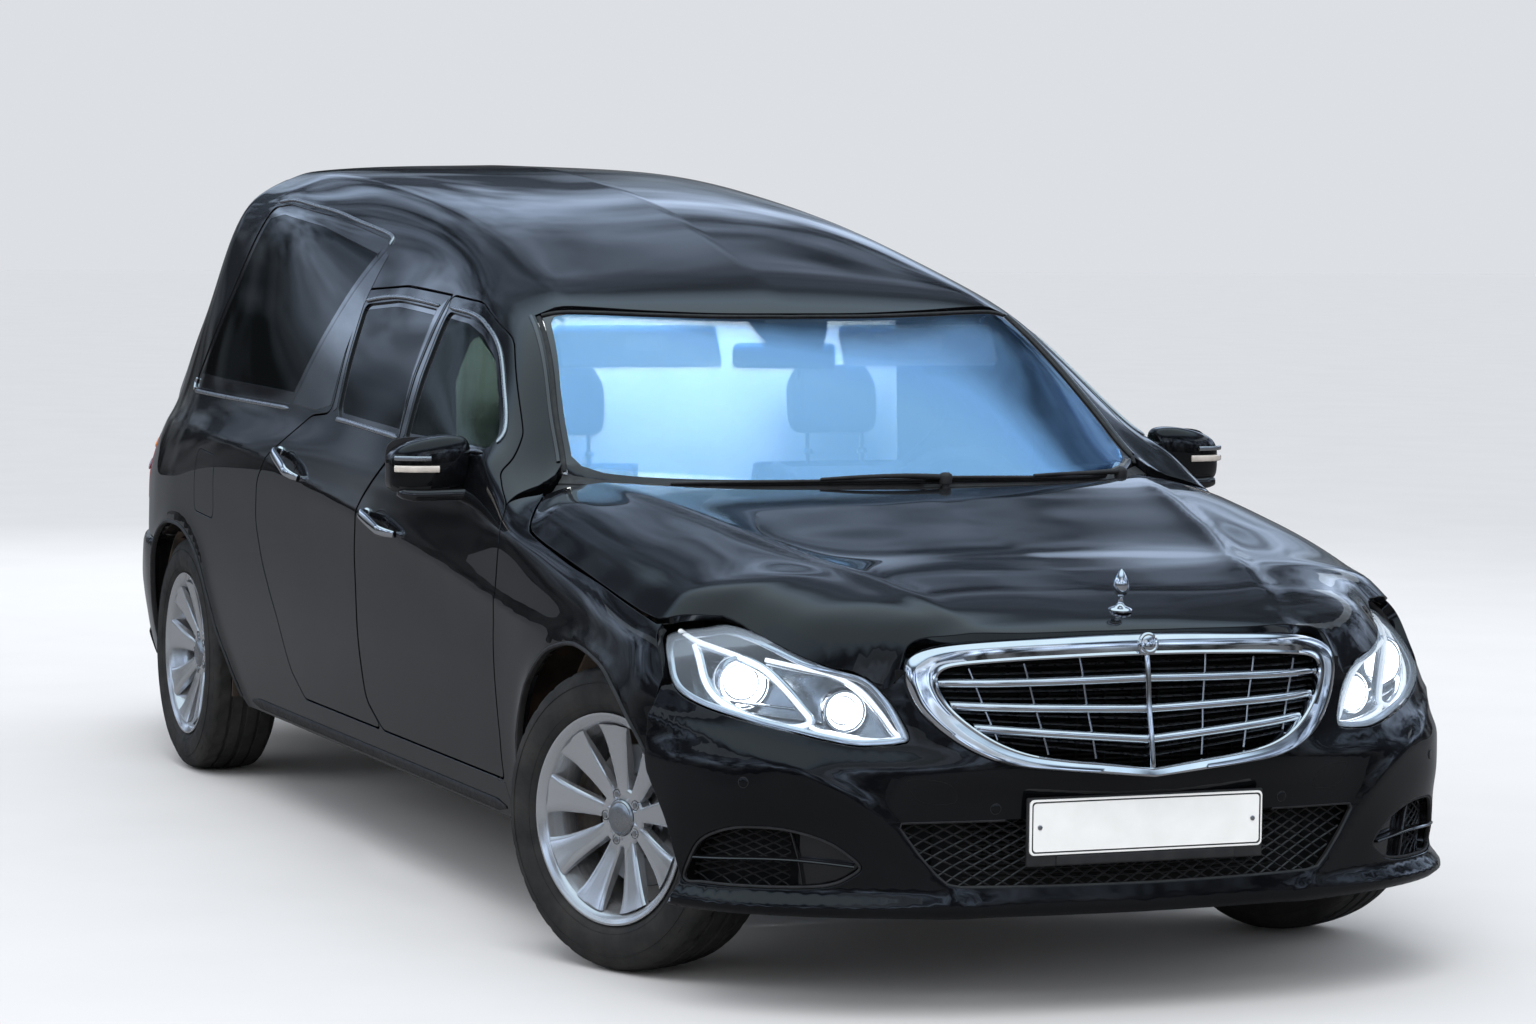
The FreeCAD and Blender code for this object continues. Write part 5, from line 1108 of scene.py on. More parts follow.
def build_bumper():
    zk = np.array([b[0] for b in BUMP]); C = np.array([np.array(b[1]).ravel() for b in BUMP])
    zg = np.arange(.196, .7781, .006)
    c = pchip(zk, C, zg).reshape(len(zg), 8, 2)
    sg = np.linspace(0, 7, 141)
    out = np.zeros((len(zg), len(sg), 3))
    for i in range(len(zg)):
        q = c[i]
        ext = np.concatenate([[[-q[1][0], q[1][1]]], q])
        p = catmull(ext, 20)
        k0 = 20
        L = p[k0:]
        idx = np.linspace(0, len(L) - 1, len(sg))
        out[i, :, 0] = np.interp(idx, np.arange(len(L)), L[:, 0]); out[i, :, 1] = np.interp(idx, np.arange(len(L)), L[:, 1])
    out[..., 2] = zg[:, None]
    out[:, 0, 0] = 0
    k = out.copy()
    for it in range(3):
        k[1:-1, 1:-1, :2] = .5 * k[1:-1, 1:-1, :2] + .125 * (k[:-2, 1:-1, :2] + k[2:, 1:-1, :2] + k[1:-1, :-2, :2] + k[1:-1, 2:, :2])
    return zg, sg, k


ZB, SBN, BPT = build_bumper()
FB = Surf(ZB, SBN, BPT, flip=False)
if FB(np.array([[.4, .5]]))[1][0][1] > 0:
    FB.N = -FB.N


def near(S, pts):
    """Surface coordinates of the grid surface nearest to 3-D points."""
    G = S.P.reshape(-1, 3); out = []
    for p in np.asarray(pts, float):
        i = int(((G - p)**2).sum(1).argmin()); a, b = divmod(i, S.P.shape[1])
        a = min(max(a, 1), S.P.shape[0] - 2); b = min(max(b, 1), S.P.shape[1] - 2)
        du = (S.P[a + 1, b] - S.P[a - 1, b]) / 2; dv = (S.P[a, b + 1] - S.P[a, b - 1]) / 2
        A = np.stack([du, dv], 1); t = np.linalg.lstsq(A, p - S.P[a, b], rcond=None)[0]; t = np.clip(t, -1.2, 1.2)
        out.append((S.U[0] + (a + t[0]) * (S.U[1] - S.U[0]), S.V[0] + (b + t[1]) * (S.V[1] - S.V[0])))
    return np.array(out)
# ---- END SURF
# a crease runs from the lower intake's corner outwards under the lamp
BC = catmull([(.40, .262), (.436, .294), (.511, .378), (.569, .432), (.623, .468), (.688, .502), (.758, .533), (.830, .560), (.912, .592)], 10)
_g = FB.P[..., [0, 2]].reshape(-1, 2)
_d = np.full(len(_g), 9.0); _s = np.ones(len(_g))
_dd = np.sqrt(((_g[:, None] - BC[None])**2).sum(2)); _k = _dd.argmin(1); _d = _dd.min(1)
_t = np.gradient(BC, axis=0)[_k]; _r = _g - BC[_k]; _sg = _t[:, 0] * _r[:, 1] - _t[:, 1] * _r[:, 0]
_h = np.where(_sg > 0, np.exp(-_d / .012), np.exp(-_d / .045)) * .0085
_h = smooth(smooth(_h.reshape(FB.P.shape[:2]), 1, 0), 1, 1)
BPT2 = FB.P + FB.N * _h[..., None]
FB = Surf(ZB, SBN, BPT2)
if FB(np.array([[.4, .5]]))[1][0][1] > 0:
    FB.N = -FB.N


def XZf(poly):
    p = np.asarray(poly, float)
    return np.stack([p[:, 1], FB.v_at(p[:, 1], p[:, 0], 0)], 1)


def halfuv(poly, step=.012, closed=True):
    return XZf(dense(np.asarray(poly, float), step, closed))


def fmid(uv, P):
    return np.abs(P[:, 0]) < 1e-5


def fev(uv):
    P, N = FB(uv); m0 = uv[:, 1] < 1e-6
    P[m0, 0] = 0; N[m0, 0] = 0
    return P, N / np.linalg.norm(N, axis=1, keepdims=True)


LAMP3 = [(.846, -.316, .764), (.822, -.342, .782), (.785, -.378, .786), (.745, -.410, .781), (.706, -.494, .755), (.669, -.589, .726), (.614, -.656, .700), (.556, -.694, .682),
         (.523, -.715, .650), (.499, -.736, .610), (.484, -.756, .568), (.504, -.750, .557), (.546, -.733, .553), (.587, -.714, .553), (.639, -.681, .563), (.688, -.639, .575),
         (.747, -.580, .589), (.802, -.512, .606), (.829, -.474, .618), (.850, -.430, .636), (.860, -.402, .662), (.858, -.366, .700), (.853, -.332, .736)]
UV_HL = dense(catmull(near(FB, LAMP3), 5, True), .012)
GR_OUT = [(0, .770), (.10, .7685), (.20, .765), (.30, .7605), (.38, .753), (.435, .742), (.468, .727), (.483, .703), (.482, .668), (.462, .620), (.418, .573), (.36, .537), (.29, .514), (.204, .504), (.114, .496), (0, .485)]
GR_IN = [(0, .729), (.09, .728), (.18, .7255), (.27, .722), (.34, .717), (.39, .711), (.417, .702), (.428, .686), (.424, .660), (.404, .625), (.367, .590), (.32, .560), (.262, .539), (.19, .527), (.105, .518), (0, .505)]
FOG = [(.862, .262), (.855, .318), (.838, .356), (.800, .380), (.751, .3855), (.701, .381), (.648, .365), (.608, .341), (.578, .309), (.604, .283), (.635, .269), (.681, .263), (.762, .260), (.834, .259)]
INTAKE = [(0, .267), (.20, .268), (.390, .270), (.418, .276), (.440, .296), (.476, .340), (.510, .390), (.506, .400), (.423, .402), (.30, .404), (0, .404)]
UV_GR = dense(np.concatenate([XZf(catmull(GR_OUT, 6)), ]), .012, False)
UV_FOG = dense(XZf(catmull(FOG, 6, True)), .012)
UV_IN = dense(XZf(np.array(INTAKE)), .012)


def bumper_outline():
    o = [np.array([[.2065, s] for s in np.arange(0, 5.6, .05)])]
    arch = ARCH_F[(ARCH_F[:, 1] > .2065) & (ARCH_F[:, 0] < -.389)]
    o.append(np.stack([arch[:, 1], FB.v_at(arch[:, 1], arch[:, 0], 1)], 1))
    zz = np.arange(.505, .652, .02)
    o.append(np.stack([zz, FB.v_at(zz, np.full_like(zz, -.389), 1)], 1))
    lp = offset(UV_HL, .0035)
    i0 = int(np.linalg.norm(lp - near(FB, [(.860, -.402, .662)])[0], axis=1).argmin())
    i1 = int(np.linalg.norm(lp - near(FB, [(.556, -.694, .682)])[0], axis=1).argmin())
    # walk along the lamp's lower edge from its outer corner to the inner top
    def walk(a, b, st):
        r = [a]
        while r[-1] != b:
            r.append((r[-1] + st) % len(lp))
        return r
    fw, bw = walk(i0, i1, 1), walk(i0, i1, -1)
    pick = fw if lp[fw][:, 0].min() < lp[bw][:, 0].min() else bw
    o.append(lp[pick[1:]])
    top = [(.546, -.699, .678), (.522, -.711, .674), (.502, -.722, .674)]
    o.append(near(FB, top))
    o.append(offset_open(XZf(catmull(GR_OUT, 6)), .004)[::-1][45:][::1] if False else near(FB, [(.494, -.722, .684)]))
    gr = XZf(catmull(GR_OUT, 6)); k = int(np.abs(gr[:, 0] - .690)[:60].argmin())
    gl = gr[k:]
    o.append(gl[:-1]); o.append(gl[-1:])
    out = np.concatenate(o)
    keep = np.concatenate([[True], np.linalg.norm((out[1:] - out[:-1]) * [1, .12], axis=1) > .0015])
    return out[keep]


SC = (1.0, .12)


def tri(out, holes, step=.016):
    """Triangulate a bumper region: its second coordinate runs 0..7, so it is scaled to lengths first."""
    o = np.asarray(out) * SC; h = [np.asarray(q) * SC for q in holes]
    p, F = triangulate(dense(o, .014), [dense(q, .014) for q in h], step)
    return p / SC, F


def densS(p, step=.012, closed=True):
    return dense(np.asarray(p) * SC, step, closed) / SC


def offS(p, d):
    return offset(np.asarray(p) * SC, d) / SC


UV_HL = densS(catmull(near(FB, LAMP3), 5, True)); UV_FOG = densS(XZf(catmull(FOG, 6, True))); UV_IN = densS(XZf(np.array(INTAKE)))


def bump_piece():
    bo = bumper_outline()
    uv, F = tri(bo, [UV_FOG])
    # the intake touches the middle line; this piece leaves it uncut
    return uv, F


def bumper_poly():
    bo = bumper_outline()
    # outline along the middle: bottom strip, intake edge, upper strip
    body = bo
    mid_top = body[-1]
    inn = XZf(dense(np.array(INTAKE), .014, False))
    return body, inn


body_, inn_ = bumper_poly()
full = np.concatenate([body_, [[.404, 0.0]], inn_[::-1][1:-1], [[.267, 0.0]]])
uvb, Fb = tri(full, [UV_FOG], .015)
sym("front_bumper_skin", uvb, Fb, fev, .014, [PAINT, TRIM], "body", "paint", fmid, replaces=("front_bumper",), r=.0022)


def tray(name, uv, S, d0, d1, shrink, mats, body="body", slot="trim_black", mir=False, tr=None, lip=0.0, **kw):
    """Recess: a rim on the surface at depth d0 and a floor at depth d1, walled all round, with a back."""
    tr = tr or tri
    loop = np.asarray(uv); inner_ = offS(loop, -shrink) if shrink else loop
    p, F = tr(inner_, [])
    P, N = S(p); Pf = P - N * d1
    a, b, c = Pf[F[:, 0]], Pf[F[:, 1]], Pf[F[:, 2]]
    if (np.cross(b - a, c - a) * N[F[:, 0]]).sum() < 0:
        F = F[:, ::-1]
    V = [Pf]; faces = [tuple(f) for f in F]; fm = [0] * len(F); base = len(Pf)
    V.append(Pf - N * .003); faces += [tuple(base + i for i in f[::-1]) for f in F]; fm += [0] * len(F); base += len(Pf)
    lp = boundary(F)[0]
    L = np.array(lp)
    Lp = p[L]
    # outer rim point for every floor boundary point
    lo_s = loop * SC; q = Lp * SC
    j = ((q[:, None] - lo_s[None])**2).sum(2).argmin(1)
    Po, No = S(loop[j])
    R0 = Po - No * d0; R1 = Po + (Po - S(Lp)[0]) * 0.0 - No * (d0 + .003)
    k = len(L)
    V += [R0]; o0 = base
    for i in range(k):
        i2 = (i + 1) % k
        faces.append((L[i], o0 + i, o0 + i2, L[i2])[::-1]); fm.append(len(mats) - 1)
    return mk(name, np.concatenate(V), faces, mats, body, slot, fmat=fm, mirror=mir, auto=40, **kw)


# ---- headlamps
MESH_A = None
hl_p, hl_F = tri(UV_HL, [], .014)


def fb_bulge(uv):
    P, N = FB(uv)
    return P, N


PR_OUT, PR_IN = (.734, -.480, .656), (.575, -.636, .611)
G1 = [(.804, -.306, .747), (.791, -.372, .732), (.748, -.475, .712), (.715, -.538, .691), (.689, -.577, .660), (.664, -.613, .622), (.650, -.638, .592), (.681, -.621, .580), (.722, -.581, .588),
      (.756, -.542, .600), (.790, -.491, .624), (.804, -.452, .657), (.801, -.402, .706), (.798, -.374, .724)]
G2 = [(.707, -.539, .708), (.652, -.606, .696), (.603, -.650, .684), (.558, -.680, .655), (.527, -.705, .615), (.506, -.724, .580), (.496, -.732, .566), (.526, -.724, .558), (.580, -.698, .563), (.632, -.662, .574), (.650, -.642, .582)]
AIM = np.array([-.16, -.975, 0.02]); AIM = AIM / np.linalg.norm(AIM)


def lamp_parts(side, mir):
    shell("headlamp_lens_" + side, hl_p, hl_F, fb_bulge, .0035, [G_LENS], "body", "lamp_clear", mirror=mir, r=.0012, out=.0005, replaces=("headlamps",) if not mir else ())
    tray("headlamp_housing_" + side, offS(UV_HL, -.002), FB, .004, .085, .012, [BOWLM, GLOSSB], slot="lamp_clear", mir=mir)
    sgn = 1
    ax = AIM * np.array([-1.0, 1, 1])
    B = Bag()
    for c, r, dome in ((PR_OUT, .050, .034), (PR_IN, .040, .027)):
        c = np.array(c)
        B.lathe([(-.045, r * .5), (-.020, r * .80), (.004, r), (.008, r * 1.02), (.008, r * .94), (.002, r * .90), (-.012, dome * 1.12), (-.012, dome * .2)], c, ax * [1, 1, 1], 40, 0)
        B.lathe([(-.012, dome), (-.002, dome * .97), (.008, dome * .80), (.014, dome * .5), (.0165, dome * .2), (.017, .0004)], c, ax, 32, 1)
        B.lathe([(.006, r * 1.0), (.011, r * 1.06), (.006, r * 1.14), (-.03, r * 1.16)], c, ax, 40, 0)
    B.done("headlamp_projectors_" + side, [REFLM, BEAMM], "body", "lamp_clear", mirror=mir)
    for nm, gp, w in (("outer", G1, .0115), ("inner", G2, .010)):
        path = catmull(gp, 8)
        nn = FB(near(FB, path))[1]
        sweep("headlamp_guide_%s_%s" % (nm, side), path, nn, ring_profile(w * .95, .007, 10), [DRLM], "body", "lamp_clear", mirror=mir)
        sweep("headlamp_guide_rim_%s_%s" % (nm, side), path - nn * .012, nn, ring_profile(w * 1.9, .016, 10, 3), [REFLM], "body", "lamp_clear", mirror=mir)
    # bright bezel just inside the lens's edge
    bz_, bn_ = FB(offS(UV_HL, -.0065))
    sweep("headlamp_bezel_" + side, bz_ - bn_ * .0105, bn_, ring_profile(.0125, .005, 10, 3), [REFLM], "body", "lamp_clear", closed=True, mirror=mir)
    # chrome-look stepped reflector plates between the lights
    for k, (za, zb) in enumerate(((.600, .606), (.618, .624), (.700, .706))):
        pts = [(x, z) for x in np.linspace(.62 + .02 * k, .80, 12) for z in (za,)]
        pth, nn = FB(XZf([(x, za + .10 * (x - .62)) for x in np.linspace(.64 + .02 * k, .80, 12)]))
        sweep("headlamp_step_%d_%s" % (k, side), pth - nn * .045, nn, ring_profile(.005, .020, 8, 3), [REFLM], "body", "lamp_clear", mirror=mir)


for side, mir in (("left", False), ("right", True)):
    lamp_parts(side, mir)

# ---- grille: moulded frame, bars, slats and posts
def ring_frame():
    A = catmull(GR_OUT, 9); Bq = catmull(GR_IN, 9)
    rows = [(-.004, -.012), (-.002, .004), (.03, .012), (.14, .0165), (.32, .0165), (.60, .0125), (.80, .010), (.90, .0125), (.98, .010), (1.0, .004), (1.02, -.018), (1.0, -.030), (.2, -.030), (0, -.025)]
    V = []
    for t, o in rows:
        q = A * (1 - t) + Bq * t
        P, N = FB(XZf(q)); P = P + np.array([0, -1.0, 0]) * o
        P[0, 0] = 0; P[-1, 0] = 0
        V.append(P)
    V = np.array(V); K, M = V.shape[:2]
    W = V.reshape(-1, 3); m_ = W.copy(); m_[:, 0] *= -1
    F = []; fm = []
    for k in range(K):
        k2 = (k + 1) % K
        for i in range(M - 1):
            F.append((k * M + i, k2 * M + i, k2 * M + i + 1, k * M + i + 1)); fm.append(1 if k in (5, 6) or k >= 10 else 0)
    F2 = [tuple(i + len(W) for i in f[::-1]) for f in F]
    allv = np.concatenate([W, m_]); FF = F + F2
    # weld the two halves on the middle line
    key = {}; remap = np.arange(len(allv))
    for i, p in enumerate(allv):
        if abs(p[0]) < 1e-6:
            kk = tuple(np.round(p, 5)); remap[i] = key.setdefault(kk, i)
    FF = [tuple(remap[i] for i in f) for f in FF]
    mk("grille_frame", allv, [f[::-1] for f in FF], [CHROME, CHROME], "body", "chrome", fmat=fm + fm, auto=35, replaces=("grille",))


ring_frame()
GRI = np.concatenate([np.array(catmull(GR_IN, 6)), np.array(catmull(GR_IN, 6))[::-1] * [-1, 1]])


def span(zf, depth, wd, h, name, m_, slot="chrome", xr=.44):
    """Bar across the grille: zf(x) gives its height."""
    xs = np.arange(-xr, xr + .001, .01)
    z = np.array([zf(abs(x)) for x in xs])
    keep = inside(np.stack([xs, z], 1), GRI)
    xs, z = xs[keep], z[keep]
    P, N = FB(XZf(np.stack([np.abs(xs), z], 1)))
    P[:, 0] = xs; P[:, 1] += depth
    e = np.array([[.006, 0, 0]])
    P = np.concatenate([P[:1] - e, P, P[-1:] + e])
    P[:, 2] = np.concatenate([[z[0]], z, [z[-1]]])
    sweep(name, P, np.array([0, -1.0, 0]), [(a, b) for a, b in zip(*zip(*[(h / 2, -wd), (h / 2, -.004), (h * .3, .002), (0, .004), (-h * .3, .002), (-h / 2, -.004), (-h / 2, -wd)]))], [m_], "body", slot, auto=60)


span(lambda x: .682 - .016 * x, .004, .030, .018, "grille_bar_0", CHROME)
span(lambda x: .620 + .028 * x, .004, .030, .018, "grille_bar_1", CHROME)
span(lambda x: .560 + .078 * x, .004, .030, .018, "grille_bar_2", CHROME)
for k, zz0 in enumerate(((.713, -.010), (.698, -.012), (.660, -.002), (.642, .010), (.600, .045), (.582, .060), (.542, .095), (.526, .11))):
    span(lambda x, q=zz0: q[0] + q[1] * x, .016, .012, .0035, "grille_slat_%d" % k, SATIN)


def posts():
    B = Bag()
    for xt, xb in ((.375, .300), (.262, .212), (.142, .116)):
        for sg in (1, -1):
            z = np.linspace(.735, .505, 24); x = np.interp(z, [.505, .735], [xb, xt])
            k = inside(np.stack([x, z], 1), GRI)
            x, z = x[k], z[k]
            P, N = FB(XZf(np.stack([x, z], 1))); P[:, 0] = x * sg; P[:, 1] += .012
            B.tube(P, .0022, 6, 0)
    z = np.linspace(.735, .500, 30)
    P, N = FB(XZf(np.stack([np.full_like(z, .0001), z], 1))); P[:, 0] = 0; P[:, 1] -= .002
    B.done("grille_posts", [SATIN], "body", "chrome")
    sweep("grille_centre_bar", P, np.array([0, -1.0, 0]), [(.0065, -.03), (.0065, 0), (.003, .004), (-.003, .004), (-.0065, 0), (-.0065, -.03)], [CHROME], "body", "chrome", auto=60)


posts()
B = Bag()
B.lathe([(-.004, .0215), (.000, .0225), (.004, .0215), (.006, .018), (.005, .015), (.007, .010), (.0075, .0004)], (0, -.8415, .7525), (0, -1, .25), 40, 0)
B.done("grille_disc", [CHROME], "body", "chrome")
# dark core behind the grille and the intake: black tubes, with near-black sheets and upright dividers that paint the
# shade of the cavity behind the openings
B = Bag()
for z in np.arange(.275, .722, .0095):
    w = .44 if z > .49 else .50
    pts = [(x, -.770 + .10 * (x / .5)**2, z) for x in np.linspace(-w, w, 13)]
    B.tube(pts, .0024, 4, 0, caps=True)
B.box((-.50, -.722, .262), (.50, -.714, .700), 1)
B.box((-.585, -.655, .232), (.585, -.649, .455), 1, .002)
for x in np.arange(-.42, .421, .06):
    B.box((x - .002, -.775 + .10 * (x / .5)**2, .30), (x + .002, -.722, .69), 1)
B.done("grille_core_and_shade", [BLACKM, SHADOW_BLACKM], "body", "trim_black", auto=60)


# ---- meshes
def mesh_fill(name, poly, depth, pitch=.0175, slope=.52, r=.0021, mir=False, both=False, surf=None):
    S = surf or FB
    p = np.asarray(poly, float)
    B = Bag()
    x0, z0 = p.min(0) - .03; x1, z1 = p.max(0) + .03
    for sgn in (1, -1):
        off = pitch * slope * 2
        for c in np.arange(z0 - slope * (x1 - x0) - .02, z1 + slope * (x1 - x0) + .02, off):
            xs = np.arange(x0, x1, .006)
            zs = c + sgn * slope * (xs - x0)
            k = inside(np.stack([xs, zs], 1), p)
            i = 0
            while i < len(xs):
                if not k[i]:
                    i += 1; continue
                j = i
                while j + 1 < len(xs) and k[j + 1]:
                    j += 1
                if j - i >= 1:
                    X, Z = xs[i:j + 1], zs[i:j + 1]
                    P, N = S(XZf(np.stack([np.abs(X), Z], 1)))
                    P[:, 0] = X; n2 = N.copy(); n2[:, 0] *= np.sign(X) + (X == 0)
                    B.tube(P - n2 * depth, r, 4, 0, caps=True)
                i = j + 1
    B.done(name, [BLACKM], "body", "trim_black", auto=80, mirror=mir)


INFULL = np.concatenate([np.array(INTAKE), np.array(INTAKE)[::-1] * [-1, 1]])
mesh_fill("intake_mesh", dense(INFULL, .02), .020, pitch=.020)
FOGC = catmull(FOG, 6, True)
fog_tr = [q for q in (UV_FOG,)]
for side, mir in (("left", False), ("right", True)):
    # the recess floor is near-black painted shade; its walls are gloss black trim
    tray("fog_recess_" + side, offS(UV_FOG, .001), FB, .006, .050, .006, [SHADOW_BLACKM, GLOSSB], mir=mir)
    fogm = FOGC[FOGC[:, 0] > .700]
    mesh_fill("fog_mesh_" + side, np.concatenate([fogm]), .028, pitch=.0165, r=.0019, mir=mir)
    pan = FOGC[FOGC[:, 0] <= .695]
    pp, pF = tri(XZf(dense(pan, .012)), [])
    shell("fog_panel_" + side, pp, pF, FB, .006, [GLOSSB], "body", "trim_black", mirror=mir, out=-.022, r=.002)
    xs = np.linspace(.592, .850, 26)
    P, N = FB(XZf(np.stack([xs, .310 + .010 * np.sin((xs - .59) / .26 * np.pi)], 1)))
    sweep("fog_blade_" + side, P - N * .010, N, ring_profile(.0075, .026, 12, 2.5), [GLOSSB], "body", "trim_black", mirror=mir)
    zs = np.linspace(.378, .266, 14)
    P, N = FB(XZf(np.stack([np.interp(zs, [.266, .328, .378], [.682, .692, .705]), zs], 1)))
    sweep("fog_strut_" + side, P - N * .016, N, ring_profile(.006, .022, 10, 2.5), [GLOSSB], "body", "trim_black", mirror=mir)
    # rim round the recess
    P, N = FB(offS(UV_FOG, -.003))
    sweep("fog_rim_" + side, P - N * .007, N, ring_profile(.007, .010, 8, 2.5), [TRIM], "body", "trim_black", mirror=mir, closed=True)
P, N = FB(densS(XZf(np.array(INTAKE)[:-1]), .014, False))
PL = P.copy(); PL[:, 0] *= -1; NL = N.copy(); NL[:, 0] *= -1
sweep("intake_rim", np.concatenate([P[::-1], PL[1:]]) - np.concatenate([N[::-1], NL[1:]]) * .006, np.concatenate([N[::-1], NL[1:]]), ring_profile(.008, .012, 8, 2.5), [TRIM], "body", "trim_black")


# ---- plate
def plate(name, y, z0, z1, w, d, rep, body, tilt=0.0, holder=True):
    def rr(w2, h2, r, n=6):
        o = []
        for cx, cz, a0 in ((w2 - r, h2 - r, 0), (-w2 + r, h2 - r, 90), (-w2 + r, -h2 + r, 180), (w2 - r, -h2 + r, 270)):
            for a in np.radians(np.linspace(a0, a0 + 90, n)):
                o.append((cx + r * np.cos(a), cz + r * np.sin(a)))
        return np.array(o)
    zc = (z0 + z1) / 2; h2 = (z1 - z0) / 2; w2 = w / 2
    loops = [(rr(w2, h2, .010), .003), (rr(w2, h2, .010), -.0002), (rr(w2 - .001, h2 - .001, .0095), -.0012), (rr(w2 - .004, h2 - .004, .008), -.0014), (rr(w2 - .0046, h2 - .0046, .0078), -.0008),
             (rr(w2 - .0072, h2 - .0072, .007), -.0008), (rr(w2 - .008, h2 - .008, .0066), -.0002)]
    V = []; F = []; fm = []
    n = len(loops[0][0])
    for k, (l, o) in enumerate(loops):
        V += [(p[0], y + d * o, zc + p[1]) for p in l]
        if k:
            for i in range(n):
                i2 = (i + 1) % n
                F.append(((k - 1) * n + i, k * n + i, k * n + i2, (k - 1) * n + i2)[::int(-d) if d in (1, -1) else 1]); fm.append(1 if k in (4, 5) else 0)
    F.append(tuple((len(loops) - 1) * n + i for i in range(n))[::int(d)]); fm.append(0)
    F.append(tuple(range(n))[::-int(d)]); fm.append(0)
    mk(name, V, F, [PLATEM, PLATER], body, "plate", fmat=fm, auto=30, replaces=rep)
    B = Bag()
    for sx in (-1, 1):
        B.lathe([(-.001, .0055), (.0018, .005), (.0024, .003), (.0022, .0004)], (sx * (w2 - .022), y - d * .0, zc), (0, -d, 0), 16, 0)
    if holder:
        B.box((-w2 - .004, min(y + d * .004, y + d * .014), z0 - .024), (w2 + .004, max(y + d * .004, y + d * .014), z1 + .004), 1, .004)
        B.box((-.20, min(y, y + d * .008), z0 - .022), (.20, max(y, y + d * .008), z0 - .002), 1, .003)
        for sx in (-.12, .12):
            B.box((sx - .03, min(y + d * .012, y + d * .060), z0 + .01), (sx + .03, max(y + d * .012, y + d * .060), z1 - .01), 1, .004)
    B.done(name + "_holder", [SATIN, TRIM], body, "trim_black")


plate("front_plate", -.8515, .334, .446, .520, 1, ("front_number_plate",), "body")


# ---- small things on the bumper
def cap_on(name, S, uv, r, m_, out=.001, mir=False, ring=None):
    P, N = S(np.array([uv])); P, N = P[0], N[0]
    B = Bag()
    B.lathe([(-.004, r), (out * .3, r), (out, r * .9), (out * 1.1, r * .5), (out * 1.15, .0003)], P, N, 24, 0)
    if ring:
        B.lathe([(-.004, r * 1.18), (.0004, r * 1.18), (.0006, r * 1.08), (-.002, r * 1.04)], P, N, 24, 1)
    B.done(name, [m_, ring or m_], "body", "paint", mirror=mir)


for side, mir in (("left", False), ("right", True)):
    for k, (x, z) in enumerate(((.321, .427), (.783, .472))):
        cap_on("park_sensor_%d_%s" % (k, side), FB, XZf([(x, z)])[0], .0095, PAINT, .0012, mir, TRIM)
    wl_ = catmull([(.497, .479), (.484, .4865), (.442, .485), (.412, .474), (.400, .445), (.424, .437), (.469, .442), (.489, .462)], 6, True)
    P, N = FB(XZf(wl_))
    sweep("washer_cover_line_" + side, P, N, ring_profile(.0022, .0012, 6), [SHADOW_BLACKM], "body", "trim_black", mirror=mir, closed=True)
# small plain chrome figure on the hood's front
B = Bag()
P0, N0 = SH(np.array([[0.0, -.712]])); P0 = P0[0]
B.lathe([(-.002, .024), (.002, .0245), (.005, .022), (.007, .016), (.010, .009), (.016, .0055), (.024, .005), (.030, .0065)], P0, (0, -.08, 1), 36, 0)
B.lathe([(.026, .0004), (.027, .006), (.034, .0125), (.046, .0165), (.058, .0155), (.070, .0105), (.080, .005), (.085, .0004)], P0, (0, -.05, 1), 32, 0)
B.done("hood_ornament_plain", [CHROME], "hood", "chrome")


# =============================== windscreen and scuttle ===============================
def build_screen():
    A = np.linspace(0, 1, 41); T = np.linspace(0, 1, 41)
    low = catmull([(0, .404, .988), (.200, .418, .986), (.420, .468, .980), (.600, .560, .972), (.712, .668, .966)], 20)
    li = np.interp(A, np.linspace(0, 1, len(low)), low[:, 0]); ly = np.interp(A, np.linspace(0, 1, len(low)), low[:, 1]); lz = np.interp(A, np.linspace(0, 1, len(low)), low[:, 2])
    xt = A * .588; yt = scr_head_y(xt) - .006
    tp = SB(YX(yt, np.maximum(xt, 1e-4)))[0]; tp[:, 0] = xt; tp[:, 1] = yt; tp[:, 2] -= .002
    yE = np.interp(T, [0, 1], [.668, yt[-1]])
    E_ = SB(np.stack([yE, np.full_like(yE, V_RAIL)], 1))[0]; E_[:, 0] -= .004
    E_[0] = (.712, .668, .966 + 0 * E_[0, 2])
    P = np.zeros((41, 41, 3))
    lowp = np.stack([li, ly, lz], 1)
    for j, t in enumerate(T):
        base = lowp * (1 - t) + tp * t
        b = 4 * t * (1 - t) * .030
        base = base + np.array([0, -.47, .88]) * b
        d = E_[j] - base[-1]
        P[:, j] = base + (A[:, None]**3) * d[None]
    P = smooth(P, 1, 0)
    P[0, :, 0] = 0
    return A, T, P


AS, TS, PS = build_screen()
SS = Surf(AS, TS, PS)
if SS(np.array([[.3, .5]]))[1][0][2] < 0:
    SS.N = -SS.N
SC2 = (.72, .80)


def tri2(out, holes, step=.02):
    p, F = triangulate(dense(np.asarray(out) * SC2, .016), [dense(np.asarray(h) * SC2, .016) for h in holes], step)
    return p / SC2, F


def sev(uv):
    P, N = SS(uv); m0 = uv[:, 0] < 1e-6; P[m0, 0] = 0; N[m0, 0] = 0
    return P, N / np.linalg.norm(N, axis=1, keepdims=True)


